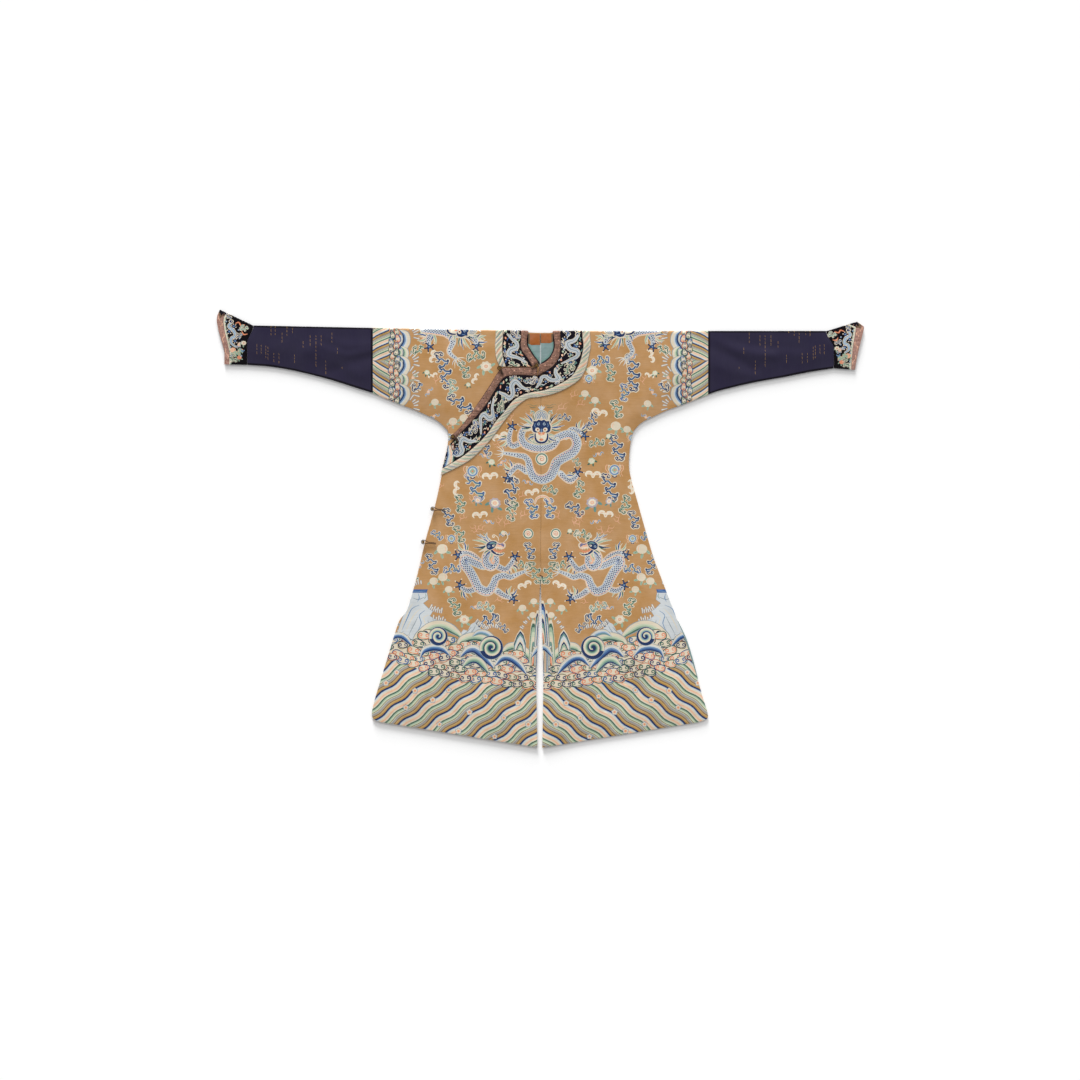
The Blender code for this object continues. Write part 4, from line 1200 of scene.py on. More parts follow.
@dataclass(frozen=True)
class Cloud:
    """Zigzag cloud: a line that swings from side to side, with a curl at each turn."""

    swings: int = 4
    reach: float = 15.0
    drop: float = 14.0
    drift: float = 0.0
    width: float = 5.0
    edge: float = 1.9
    dye: Dye = Dye.BLUE
    head: bool = True
    foot: bool = True

    def paths(self) -> list[Points]:
        """Middle lines of the cloud's strokes, its spine first."""
        spine, curls = [], []
        for k in range(self.swings):
            side = 1.0 if k % 2 else -1.0
            reach = self.reach * (0.82 + 0.18 * math.cos(2.2 * k))
            x, y = side * reach + self.drift * k, -self.drop * k
            spine += [(x, y + 2.5), (x - 0.25 * side * reach, y - 3.5), (x - 0.75 * side * reach, y - 2.0),
                      (x - 1.1 * side * reach, y - 0.62 * self.drop)]
            curls.append(spiral((x - side * 1.0, y + 5.6), 4.2, 1.0, -90.0, side * 0.85, 3.4))
            if k % 2 == 0:
                curls.append(curve([(x - 0.3 * side * reach, y - 4.0), (x - 0.1 * side * reach, y - 9.0),
                                    (x + 0.28 * side * reach, y - 8.0)], 4.0))
        paths = [curve(spine[:-1], 4.5)] + curls
        if self.head:
            paths += self.ruyi(spine[0][0] + 4.0, spine[0][1] + 10.0, 1.0)
        if self.foot:
            paths += self.ruyi(spine[-2][0], spine[-2][1] - 8.0, -1.0)
        return paths

    def ruyi(self, x: float, y: float, up: float) -> list[Points]:
        """Two curls under one arch, which end a cloud."""
        found = [curve([(x - 13.0, y - 1.0 * up), (x - 7.0, y + 5.0 * up), (x, y + 2.6 * up),
                        (x + 7.0, y + 5.0 * up), (x + 13.0, y - 1.0 * up)], 4.0)]
        for side in (-1.0, 1.0):
            found.append(spiral((x + side * 8.4, y - 1.4 * up), 4.6, 1.2, 90.0 - side * 90.0,
                                -side * up * 0.8, 3.2))
        return found

    def draw(self) -> Sketch:
        """Draw it, centred on its middle."""
        sketch = Sketch()
        shift = (0.5 * self.drift * (self.swings - 1), -0.5 * self.drop * (self.swings - 1))
        paths = [path - shift for path in self.paths()]
        dark, light = self.dye.value
        for path in paths:
            sketch.stroke(path, (self.width + 1.2 * self.edge, self.width + 2.0 * self.edge,
                                 self.width + 1.2 * self.edge), Thread.CREAM)
        sketch.stroke(paths[0], self.width, light)
        for path in paths:
            slim = 0.62 if path is paths[0] else 0.8
            sketch.stroke(path, (self.width * 0.4, self.width * slim, self.width * 0.4), dark,
                          (1.0 - slim) * 0.5 * self.width)
        return sketch


@dataclass(frozen=True)
class Bat:
    """Cream bat with curled wings and a touch of pink."""

    span: float = 48.0
    thread: Thread = Thread.IVORY

    def draw(self) -> Sketch:
        """Draw it, wings spread level."""
        sketch = Sketch()
        half = 0.5 * self.span
        wing = [(2.0, -1.0), (8.0, 5.0), (half * 0.75, 5.5), (half, -1.0), (half * 0.84, -8.0)]
        for path in (wing, mirrored(wing)):
            sketch.line(path, (8.0, 13.0, 12.0, 8.0, 2.0), self.thread, 3.5)
        sketch.oval((0.0, -3.0), 12.0, 17.0, self.thread)
        for side in (-1.0, 1.0):
            sketch.line([(side * 9.0, 4.0), (side * 15.0, 4.5), (side * 19.0, 0.0)], (0.8, 2.2, 0.8),
                        Thread.PINK, 3.0)
            sketch.oval((side * 3.0, 5.0), 3.0, 4.5, Thread.SALMON, sides=6)
        sketch.oval((0.0, -4.0), 3.0, 5.0, Thread.CORAL, sides=6)
        return sketch


@dataclass(frozen=True)
class Bloom:
    """Scalloped flower, or a round fruit where it has no petals, with leaves beside it."""

    size: float = 30.0
    petals: int = 8
    petal: Thread = Thread.CREAM
    heart: Thread = Thread.PINK
    leaves: int = 3
    leaf: Thread = Thread.SAGE
    turn: float = 0.0

    def draw(self) -> Sketch:
        """Draw it round its middle."""
        sketch = Sketch()
        for k in range(self.leaves):
            angle = self.turn + 200.0 + 62.0 * k
            a = math.radians(angle)
            reach = 0.62 * self.size
            at = (reach * math.cos(a), reach * math.sin(a))
            sketch.oval(at, 0.55 * self.size, 0.26 * self.size, self.leaf, angle + 20.0, 8)
            sketch.line([(0.5 * at[0], 0.5 * at[1]), (1.25 * at[0], 1.25 * at[1])], (1.4, 0.6),
                        Thread.GREEN, 6.0)
        depth = 0.09 if self.petals else 0.0
        sketch.oval((0.0, 0.0), self.size, 0.88 * self.size, self.petal, self.turn, 32 if depth else 14,
                    depth, self.petals)
        if self.petals:
            sketch.oval((0.0, 0.0), 0.66 * self.size, 0.58 * self.size, Thread.IVORY, 0.0, 24, 0.08,
                        self.petals)
            sketch.oval((0.0, 0.0), 0.36 * self.size, 0.32 * self.size, self.heart)
            sketch.oval((0.0, 0.0), 0.14 * self.size, 0.14 * self.size, Thread.CREAM, sides=6)
        else:
            sketch.line([(0.1 * self.size, 0.38 * self.size), (0.3 * self.size, 0.1 * self.size),
                         (0.3 * self.size, -0.15 * self.size)], (0.5, 2.2, 0.5), self.heart, 3.0)
        return sketch


@dataclass(frozen=True)
class Emblem:
    """Lucky emblem: a ringed disc tied with ribbons."""

    size: float = 34.0
    ring: Thread = Thread.MID_BLUE
    middle: Thread = Thread.SAGE

    def draw(self) -> Sketch:
        """Draw it round its middle."""
        sketch = Sketch()
        half = 0.5 * self.size
        for side in (-1.0, 1.0):
            for reach, thread in ((1.0, Thread.SALMON), (0.72, Thread.CREAM)):
                loop = [(side * 0.6 * half, 0.5 * half), (side * 1.5 * half * reach, 1.0 * half),
                        (side * 1.7 * half * reach, 0.2 * half), (side * 1.25 * half * reach, -0.5 * half),
                        (side * 1.6 * half * reach, -1.2 * half)]
                sketch.line(loop, (1.6, 2.6, 1.6), thread, 4.0)
        sketch.oval((0.0, -1.15 * half), 0.9 * half, 0.6 * half, Thread.NAVY)
        sketch.oval((0.0, -1.15 * half), 0.5 * half, 0.3 * half, Thread.CREAM, sides=8)
        sketch.oval((0.0, 0.0), self.size + 4.0, self.size + 4.0, Thread.CREAM, sides=16)
        sketch.oval((0.0, 0.0), self.size, self.size, self.ring, sides=16)
        sketch.oval((0.0, 0.0), 0.72 * self.size, 0.72 * self.size, Thread.PALE, sides=16)
        sketch.oval((0.0, 0.0), 0.5 * self.size, 0.5 * self.size, self.middle, 0.0, 16, 0.16, 4)
        sketch.oval((0.0, 0.0), 0.2 * self.size, 0.2 * self.size, Thread.CORAL, sides=6)
        return sketch


@dataclass(frozen=True)
class Scroll:
    """Ribbon that curls in an S, with a bud at its middle."""

    length: float = 44.0
    dark: Thread = Thread.BLUE
    light: Thread = Thread.PALE_BLUE

    def draw(self) -> Sketch:
        """Draw it along X."""
        sketch = Sketch()
        h = 0.5 * self.length
        path = [(-h, 3.0), (-0.8 * h, 9.0), (-0.5 * h, 6.0), (-0.4 * h, -2.0), (0.0, 0.0),
                (0.4 * h, 4.0), (0.5 * h, -5.0), (0.85 * h, -8.0), (h, -1.0)]
        sketch.line(path, (2.0, 6.6, 5.0, 6.6, 2.0), Thread.CREAM)
        sketch.line(path, (1.0, 3.6, 2.6, 3.6, 1.0), self.dark)
        sketch.line(path, (0.4, 1.2, 0.8, 1.2, 0.4), self.light)
        sketch.oval((0.0, 3.0), 12.0, 10.0, Thread.SALMON, sides=10)
        sketch.oval((0.0, 3.0), 6.0, 5.0, Thread.CREAM, sides=8)
        return sketch


@dataclass(frozen=True)
class Flame:
    """Thin pink tongues of flame."""

    length: float = 42.0
    thread: Thread = Thread.PINK

    def draw(self) -> Sketch:
        """Draw it along X."""
        sketch = Sketch()
        n = self.length
        sketch.line([(0, 0), (0.25 * n, 5), (0.5 * n, -3), (0.75 * n, 4), (n, 0)], (0.8, 2.0, 1.6, 0.6),
                    self.thread)
        sketch.line([(0.3 * n, 4), (0.42 * n, 12), (0.6 * n, 9), (0.72 * n, 15)], (1.6, 1.6, 0.5),
                    self.thread)
        sketch.line([(0.5 * n, -3), (0.6 * n, -10), (0.8 * n, -8)], (1.4, 1.2, 0.4), self.thread)
        return sketch


@dataclass(frozen=True)
class Pearl:
    """Flaming pearl: ring, disc and a spiral."""

    radius: float = 19.0

    def draw(self) -> Sketch:
        """Draw it round its middle."""
        sketch = Sketch()
        r = self.radius
        for size, thread in ((2.24, Thread.CREAM), (2.0, Thread.TEAL), (1.74, Thread.GREEN),
                             (1.56, Thread.IVORY)):
            sketch.oval((0.0, 0.0), size * r, size * r, thread, sides=22)
        sketch.stroke(spiral((0.0, 0.0), 0.56 * r, 0.06 * r, 200.0, -1.6, 3.0), (1.4, 2.6, 2.0),
                      Thread.CORAL)
        return sketch


# ---------------------------------------------------------------- dragons

@dataclass(frozen=True)
class Scaled:
    """Length of a dragon's body or limb, netted with dark scales."""

    spine: Sequence
    widths: tuple[float, ...]
    edge: float = 3.0
    row: float = 4.5
    cell: float = 7.8
    scale: Thread = Thread.NAVY

    def draw(self, sketch: Sketch) -> None:
        """Draw it onto a sketch.

        Args:
            sketch: where it goes.
        """
        path = curve(self.spine, 4.5)
        widths = profile(len(path), self.widths)
        sketch.stroke(path, widths + 2.0 * self.edge, Thread.CREAM)
        sketch.stroke(path, widths + 0.8, Thread.MID_BLUE)
        sketch.stroke(path, widths - 1.2, Thread.PALE)
        sketch.stroke(path, widths * 0.1, Thread.SALMON, float(-0.5 * widths.mean()))
        walked = np.concatenate(([0.0], np.cumsum(np.hypot(*np.diff(path, axis=0).T))))
        normal = sides_of(path)
        stations = np.arange(0.5 * self.row, walked[-1], self.row)
        for k, s in enumerate(stations):
            at = np.array([np.interp(s, walked, path[:, j]) for j in (0, 1)])
            side = np.array([np.interp(s, walked, normal[:, j]) for j in (0, 1)])
            side /= np.hypot(*side)
            ahead = np.array((side[1], -side[0]))
            width = float(np.interp(s, walked, widths))
            count = max(1, round(width / self.cell))
            cell = width / count
            shift = 0.5 * (k % 2)
            for j in range(count + (1 if shift == 0.0 else 0)):
                off = -0.5 * width + (j + shift) * cell
                if abs(off) > 0.5 * width - 0.3 * cell:
                    continue
                tone = self.scale if abs(off) < 0.3 * width else Thread.BLUE
                middle = at + side * off
                sketch.fill([middle + ahead * 2.7, middle + side * 0.31 * cell, middle - ahead * 2.7,
                             middle - side * 0.31 * cell], tone)


@dataclass(frozen=True)
class Claw:
    """Five dark toes with pale nails round a pad."""

    size: float = 17.0
    turn: float = 90.0
    spread: float = 64.0

    def draw(self) -> Sketch:
        """Draw it round its pad."""
        sketch = Sketch()
        for k in range(5):
            angle = math.radians(self.turn + self.spread * (k - 2))
            ahead = np.array((math.cos(angle), math.sin(angle)))
            side = np.array((-ahead[1], ahead[0]))
            bend = 2.0 if k % 2 else -2.0
            sketch.stroke([0.0 * ahead, 0.55 * self.size * ahead + bend * side, self.size * ahead],
                          (5.6, 5.0, 4.0), Thread.INK)
            sketch.stroke([0.1 * self.size * ahead, 0.55 * self.size * ahead + bend * side,
                           0.85 * self.size * ahead], (2.4, 2.2, 1.4), Thread.BLUE)
            tip = 1.16 * self.size * ahead
            sketch.oval(tip, 5.4, 4.6, Thread.IVORY, sides=7)
            sketch.oval(tip + 0.8 * side, 2.0, 2.0, Thread.CORAL, sides=5)
        sketch.oval((0.0, 0.0), 12.5, 12.5, Thread.NAVY, sides=10)
        sketch.oval((0.0, 0.0), 6.6, 6.6, Thread.MID_BLUE, sides=8)
        return sketch


def hair(sketch: Sketch, root: Sequence[float], angle: float, length: float, count: int = 5,
         spread: float = 60.0, bend: float = 0.25) -> None:
    """Add locks that fan out from a root, in green, cream, blue and sage.

    Args:
        sketch: where they go.
        root: where they grow.
        angle: middle direction in degrees.
        length: length of the longest.
        count: how many.
        spread: angle they fan over.
        bend: how much they curve, as a share of their length.
    """
    tones = (Thread.GREEN, Thread.CREAM, Thread.BLUE, Thread.CREAM, Thread.SAGE, Thread.CREAM,
             Thread.NAVY)
    for k in range(count):
        share = k / max(1, count - 1)
        turn = math.radians(angle + spread * (share - 0.5))
        ahead = np.array((math.cos(turn), math.sin(turn)))
        side = np.array((-ahead[1], ahead[0])) * (1.0 if share > 0.5 else -1.0)
        reach = length * (0.72 + 0.28 * math.sin(math.pi * share)) * (1.0 if k % 2 == 0 else 0.86)
        start = np.asarray(root) + 3.0 * ahead
        path = curve([start, start + 0.5 * reach * ahead + bend * 0.4 * reach * side,
                      start + reach * ahead + bend * 0.1 * reach * side], 6.0)
        if k % 2 == 0:
            sketch.stroke(path, (9.0, 8.0, 2.4), Thread.CREAM)
        sketch.stroke(path, (5.6, 4.6, 0.8), tones[k % len(tones)])


@dataclass(frozen=True)
class FacingHead:
    """Front-facing dragon's head with horns, crest and mane."""

    def draw(self) -> Sketch:
        """Draw it round the bridge of its nose."""
        sketch = Sketch()
        for side in (-1.0, 1.0):
            hair(sketch, (side * 20.0, 4.0), 90.0 - side * 58.0, 56.0, 9, 92.0, 0.2)
            hair(sketch, (side * 15.0, -22.0), 90.0 - side * 118.0, 32.0, 5, 56.0, 0.3)
            horn = [(side * 10.0, 24.0), (side * 20.0, 40.0), (side * 26.0, 54.0), (side * 36.0, 60.0)]
            sketch.line(horn, (9.0, 7.0, 5.0, 2.0), Thread.CREAM)
            sketch.line(horn, (4.6, 3.4, 2.4, 0.8), Thread.PALE_BLUE)
            hook = spiral((side * 27.0, 50.0), 7.0, 2.0, 90.0 - side * 90.0, side * 0.8)
            sketch.stroke(hook, (6.0, 5.0, 3.0), Thread.CREAM)
            sketch.stroke(hook, (3.0, 2.8, 1.2), Thread.TEAL)
            sketch.oval((side * 30.0, 9.0), 7.0, 13.0, Thread.PINK, -side * 40.0, 8)
        for width, thread in ((47.0, Thread.CREAM), (41.0, Thread.GREY), (35.0, Thread.CREAM),
                              (31.0, Thread.MID_BLUE)):
            sketch.oval((0.0, 39.0), width, width * 0.95, thread, sides=20)
        for k in range(-2, 3):
            sketch.line([(6.0 * k - 8.0, 26.0), (6.0 * k + 7.0, 52.0)], 1.5, Thread.CREAM, 30.0)
            sketch.line([(6.0 * k + 8.0, 26.0), (6.0 * k - 7.0, 52.0)], 1.5, Thread.CREAM, 30.0)
        sketch.fill([(-7.0, 22.0), (0.0, 40.0), (7.0, 22.0)], Thread.IVORY)
        sketch.fill([(-4.0, 23.0), (0.0, 34.0), (4.0, 23.0)], Thread.CORAL)
        for k in range(-2, 3):
            turn = math.radians(90.0 + 22.0 * k)
            sketch.line([(0.0, 60.0), (17.0 * math.cos(turn), 60.0 + 15.0 * math.sin(turn))],
                        (4.0, 5.0, 1.0), Thread.IVORY if k % 2 else Thread.PALE, 8.0)
        mask = [(-30, 6), (-25, 17), (-26, 25), (-15, 24), (-9, 29), (0, 26), (9, 29), (15, 24), (26, 25),
                (25, 17), (30, 6), (27, -8), (17, -13), (9, -8), (0, -12), (-9, -8), (-17, -13), (-27, -8)]
        ring = curve(mask + mask[:1], 4.0)[:-1]
        sketch.fill(ring * 1.14, Thread.CREAM)
        sketch.fill(ring, Thread.NAVY)
        for side in (-1.0, 1.0):
            sketch.stroke(spiral((side * 10.0, 15.0), 5.4, 1.4, 90.0, side * 1.1, 3.0), 2.0, Thread.PALE_BLUE)
            sketch.line([(side * 19.0, 18.0), (side * 22.0, 10.0), (side * 19.0, 4.0)], (1.2, 2.4, 1.0),
                        Thread.MID_BLUE)
            sketch.oval((side * 12.5, -3.0), 15.0, 13.0, Thread.IVORY, side * 14.0, 12)
            sketch.oval((side * 11.5, -3.0), 6.0, 7.0, Thread.CORAL, 0.0, 9)
            sketch.oval((side * 11.5, -3.0), 3.4, 4.4, Thread.INK, 0.0, 8)
            sketch.oval((side * 14.0, -18.0), 13.0, 11.0, Thread.IVORY, 0.0, 10)
        frame = curve([(-20, -17), (-19, -32), (-12, -42), (0, -45), (12, -42), (19, -32), (20, -17)], 4.0)
        sketch.stroke(frame, (10.0, 11.0, 11.0, 10.0), Thread.CREAM)
        sketch.fill(frame, Thread.IVORY)
        sketch.stroke(frame, (4.6, 6.4, 6.4, 4.6), Thread.NAVY)
        sketch.oval((0.0, -35.0), 14.0, 8.0, Thread.CORAL, sides=10)
        for side in (-1.0, 1.0):
            sketch.fill([(side * 9.0, -26.0), (side * 12.5, -26.0), (side * 10.5, -34.0)], Thread.IVORY)
            sketch.oval((side * 5.5, -15.5), 10.0, 9.0, Thread.CORAL, 0.0, 10)
        sketch.oval((0.0, -18.0), 9.0, 9.0, Thread.SALMON, sides=10)
        sketch.oval((0.0, -6.0), 5.0, 13.0, Thread.MID_BLUE, sides=10)
        return sketch


@dataclass(frozen=True)
class ProfileHead:
    """Dragon's head in profile, looking to +X, jaws open."""

    def draw(self) -> Sketch:
        """Draw it round its eye."""
        sketch = Sketch()
        hair(sketch, (-8.0, 4.0), 166.0, 56.0, 9, 92.0, 0.2)
        hair(sketch, (-2.0, -14.0), 232.0, 34.0, 5, 60.0, 0.3)
        for path, widths in (([(-4, 12), (-16, 24), (-30, 28), (-40, 38)], (8.0, 6.0, 2.0)),
                             ([(-14, 22), (-20, 32), (-18, 42)], (6.0, 4.0, 1.6))):
            sketch.line(path, tuple(w + 3.0 for w in widths), Thread.CREAM)
            sketch.line(path, tuple(w * 0.6 for w in widths), Thread.MID_BLUE)
        whisker = np.vstack((curve([(30, 8), (42, 16), (50, 28), (47, 40)], 4.0),
                             spiral((40.0, 41.0), 7.0, 1.0, 0.0, 1.3)))
        sketch.stroke(whisker, (2.0, 2.6, 2.4, 1.6), Thread.IVORY)
        upper = np.vstack((curve([(20, 16), (18, 28), (8, 36)], 4.0), spiral((4.0, 31.0), 6.0, 1.0, 60.0, 1.2)))
        sketch.stroke(upper, (2.0, 2.6, 2.0), Thread.IVORY)
        jaw = curve([(-6, -6), (0, -18), (14, -27), (28, -29), (37, -24)], 4.0)
        sketch.stroke(jaw, (12.0, 14.0, 12.0, 9.0, 6.0), Thread.CREAM)
        sketch.stroke(jaw, (6.0, 7.0, 5.0, 4.0, 2.0), Thread.NAVY)
        sketch.line([(2, -10), (14, -18), (26, -19), (36, -12), (41, -16)], (6.0, 6.0, 4.0, 1.6), Thread.CORAL)
        for x, y in ((14.0, -22.0), (23.0, -24.5), (31.0, -23.5)):
            sketch.fill([(x - 2.2, y - 3.0), (x + 2.2, y - 3.0), (x, y + 4.0)], Thread.IVORY)
        snout = curve([(4, -6), (14, -6), (26, -9), (36, -6), (40, 3), (35, 10), (26, 8), (16, 11), (4, 13),
                       (4, -6)], 4.0)[:-1]
        sketch.fill((snout - (18.0, 2.0)) * 1.18 + (18.0, 2.0), Thread.CREAM)
        sketch.fill(snout, Thread.SALMON)
        sketch.line([(6, -2), (20, -5), (34, -3)], (2.4, 3.4, 2.0), Thread.IVORY)
        sketch.line([(12, 9), (24, 5), (34, 8)], (2.0, 3.4, 2.0), Thread.BLUE)
        sketch.stroke(spiral((33.0, 2.0), 5.0, 1.2, -60.0, 1.1, 3.0), 2.8, Thread.BLUE)
        for x in (14.0, 22.0, 29.0):
            sketch.fill([(x - 2.0, -7.0), (x + 2.0, -7.0), (x, -13.0)], Thread.IVORY)
        skull = curve([(-18, -8), (-20, 4), (-10, 14), (4, 16), (14, 12), (12, 4), (8, -4), (0, -10),
                       (-10, -13), (-18, -8)], 4.0)[:-1]
        sketch.fill((skull + (4.0, -1.0)) * 1.16 - (4.0, -1.0), Thread.CREAM)
        sketch.fill(skull, Thread.NAVY)
        sketch.line([(-12, 8), (0, 12), (10, 9)], (1.4, 3.0, 1.4), Thread.MID_BLUE)
        sketch.stroke(spiral((-12.0, -3.0), 4.6, 1.2, 0.0, 1.1, 3.0), 1.8, Thread.PALE_BLUE)
        sketch.line([(-8, 6), (2, 10), (14, 6)], (2.0, 5.0, 2.0), Thread.TEAL)
        sketch.oval((4.0, 1.0), 10.0, 6.6, Thread.IVORY, 12.0, 12)
        sketch.oval((5.5, 1.0), 4.0, 4.6, Thread.INK, sides=8)
        return sketch


def tail(sketch: Sketch, root: Sequence[float], angle: float, length: float = 34.0) -> None:
    """Add the pale spikes that end a dragon's tail."""
    for k in range(6):
        turn = math.radians(angle + 24.0 * (k - 2.5))
        ahead = np.array((math.cos(turn), math.sin(turn)))
        side = np.array((-ahead[1], ahead[0])) * (1 if k > 2 else -1)
        reach = length * (1.0 if k % 2 else 0.76)
        start = np.asarray(root)
        sketch.line([start, start + 0.55 * reach * ahead + 2.4 * side, start + reach * ahead],
                    (3.6, 2.6, 0.6), Thread.IVORY if k % 2 else Thread.PALE, 6.0)


def limb(sketch: Sketch, path: Sequence, claw_turn: float, hair_turn: float,
         widths: tuple[float, ...] = (17.0, 15.0, 9.0)) -> None:
    """Add a dragon's limb with its elbow hair and its claw.

    Args:
        sketch: where it goes.
        path: from the body to the claw.
        claw_turn: where the claw points, in degrees.
        hair_turn: where the elbow hair points.
        widths: widths along it.
    """
    elbow = np.asarray(path[len(path) // 2], float)
    hair(sketch, elbow, hair_turn, 36.0, 7, 84.0, 0.35)
    Scaled(path, widths, edge=2.6, row=3.8).draw(sketch)
    sketch.put(Claw(turn=claw_turn).draw(), path[-1])


@dataclass(frozen=True)
class ChestDragon:
    """Front-facing dragon coiled round a pearl."""

    def draw(self) -> Sketch:
        """Draw it round the middle of the chest, the pearl a little below its head."""
        sketch = Sketch()
        sketch.put(Flame(52.0).draw(), (48.0, 52.0), 40.0)
        sketch.put(Flame(46.0).draw(), (-52.0, 56.0), 150.0, flip=True)
        sketch.put(Flame(40.0).draw(), (-96.0, 20.0), 100.0)
        tail(sketch, (-122.0, -80.0), 172.0)
        limb(sketch, [(-60, -40), (-92, -56), (-106, -36), (-96, 8)], 84.0, 200.0)
        limb(sketch, [(80, -26), (98, -4), (122, -8), (140, -22)], -10.0, 62.0)
        limb(sketch, [(62, -146), (90, -170), (112, -158), (119, -142)], 60.0, 190.0)
        limb(sketch, [(-48, -140), (-76, -122), (-96, -138), (-110, -160)], 236.0, 120.0)
        Scaled([(20, -44), (52, -30), (82, -18), (104, -22), (116, -48), (104, -75), (74, -93), (50, -110),
                (41, -134), (28, -155), (2, -166), (-24, -157), (-37, -132), (-42, -106), (-56, -91),
                (-78, -87), (-98, -83), (-122, -80)],
               (18.0, 22.0, 25.0, 27.0, 28.0, 28.0, 27.0, 24.0, 18.0, 12.0, 6.0)).draw(sketch)
        Scaled([(-46, 8), (-62, -8), (-66, -30), (-54, -52), (-24, -64), (8, -65), (36, -57), (50, -40)],
               (16.0, 20.0, 22.0, 21.0, 18.0)).draw(sketch)
        for k, thread in enumerate((Thread.CREAM, Thread.TEAL, Thread.CREAM, Thread.SAGE)):
            r = 52.0 - 5.0 * k
            path = [(-r, -26.0), (-0.7 * r, -42.0 + k), (0.0, -52.0 + 2.0 * k), (0.7 * r, -42.0 + k),
                    (r, -26.0)]
            sketch.line(path, (1.0, 5.0, 5.6, 5.0, 1.0), thread, 6.0)
        sketch.put(FacingHead().draw(), (0.0, 0.0), size=1.02)
        sketch.put(Pearl(19.0).draw(), (1.0, -99.0))
        for side in (-1.0, 1.0):
            path = [(side * 12, 78), (side * 26, 74), (side * 38, 80), (side * 50, 77)]
            sketch.line(path, (1.2, 2.4, 1.6, 0.6), Thread.OLIVE)
            sketch.line([(side * 18, 70), (side * 30, 68), (side * 40, 73)], (1.0, 2.0, 0.6), Thread.GREEN)
        return sketch


@dataclass(frozen=True)
class StridingDragon:
    """Dragon in profile, looking to +X, its body in two bends."""

    def draw(self) -> Sketch:
        """Draw it round its eye."""
        sketch = Sketch()
        for at, turn, length in (((-40, 46), 150.0, 40.0), ((40, 60), 60.0, 36.0), ((60, -62), -20.0, 34.0),
                                 ((-20, -168), 250.0, 36.0)):
            sketch.put(Flame(length).draw(), at, turn)
        tail(sketch, (104.0, -84.0), 20.0)
        limb(sketch, [(-44, -50), (-66, -30), (-90, -22), (-113, -30)], 180.0, 112.0)
        limb(sketch, [(16, -66), (42, -78), (60, -60), (74, -35)], 60.0, -76.0)
        limb(sketch, [(-52, -138), (-76, -146), (-94, -140), (-106, -128)], 140.0, -60.0)
        limb(sketch, [(14, -146), (36, -162), (54, -168), (68, -173)], -20.0, 62.0)
        Scaled([(4, -54), (-28, -66), (-62, -52), (-88, -40), (-94, -58), (-76, -80), (-58, -112), (-44, -138),
                (-16, -149), (2, -130), (12, -106), (36, -97), (58, -102), (80, -93), (106, -83)],
               (16.0, 20.0, 22.0, 25.0, 26.0, 26.0, 25.0, 22.0, 17.0, 12.0, 6.0)).draw(sketch)
        Scaled([(-10, -12), (-22, -36), (-20, -60), (-2, -70), (12, -54), (12, -34)],
               (18.0, 21.0, 22.0, 18.0, 13.0)).draw(sketch)
        sketch.line([(4, -30), (-4, -46), (2, -58), (8, -48)], (6.0, 7.0, 5.0, 3.0), Thread.SALMON)
        sketch.put(ProfileHead().draw())
        return sketch


@dataclass(frozen=True)
class ShoulderDragon:
    """Front-facing dragon on the shoulder, its crown towards the neck, its body looped beside it."""

    def draw(self) -> Sketch:
        """Draw the wearer's right one round its nose, its crown towards +X."""
        sketch = Sketch()
        tail(sketch, (-14.0, -98.0), 300.0)
        hair(sketch, (40.0, -22.0), -40.0, 44.0, 6, 70.0)
        hair(sketch, (-86.0, -20.0), 250.0, 40.0, 5, 60.0)
        limb(sketch, [(4, -22), (34, -24), (50, -40), (53, -58)], -70.0, 10.0)
        limb(sketch, [(-60, -6), (-88, -8), (-104, -30), (-102, -60)], 262.0, 180.0)
        Scaled([(30, -8), (-8, -16), (-50, -12), (-34, -22), (-24, -44), (-36, -72), (-30, -86), (-14, -98)],
               (28.0, 27.0, 25.0, 22.0, 20.0, 14.0, 10.0, 6.0)).draw(sketch)
        Scaled([(-120, -2), (-86, -6), (-52, -12), (-34, -24)], (22.0, 25.0, 25.0, 22.0)).draw(sketch)
        sketch.put(FacingHead().draw(), (0.0, 0.0), -90.0, 0.95)
        return sketch


# ---------------------------------------------------------------- waves and mountains

MIDDLE = 5.0               # x of the line the lower design mirrors on
STRIPES = ((Thread.NAVY, 5.0), (Thread.MID_BLUE, 1.6), (Thread.PALE, 3.4), (Thread.CREAM, 5.0),
           (Thread.SALMON, 4.6), (Thread.CREAM, 4.4), (Thread.GREEN, 4.4), (Thread.SAGE, 3.0),
           (Thread.PALE_GREEN, 4.4), (Thread.OLIVE, 2.6), (Thread.CREAM, 1.8), (Thread.GREY, 3.4),
           (Thread.TAUPE, 4.2), (Thread.BROWN, 2.2), (Thread.TAN, 5.0), (Thread.GOLD, 3.0))
CYCLE = sum(width for _, width in STRIPES)
CURL_DYES = ((Thread.CORAL, Thread.NAVY), (Thread.GREEN, Thread.CORAL), (Thread.NAVY, Thread.GREEN),
             (Thread.CORAL, Thread.GREEN), (Thread.TEAL, Thread.BLUE), (Thread.BLUE, Thread.CORAL),
             (Thread.OLIVE, Thread.NAVY))


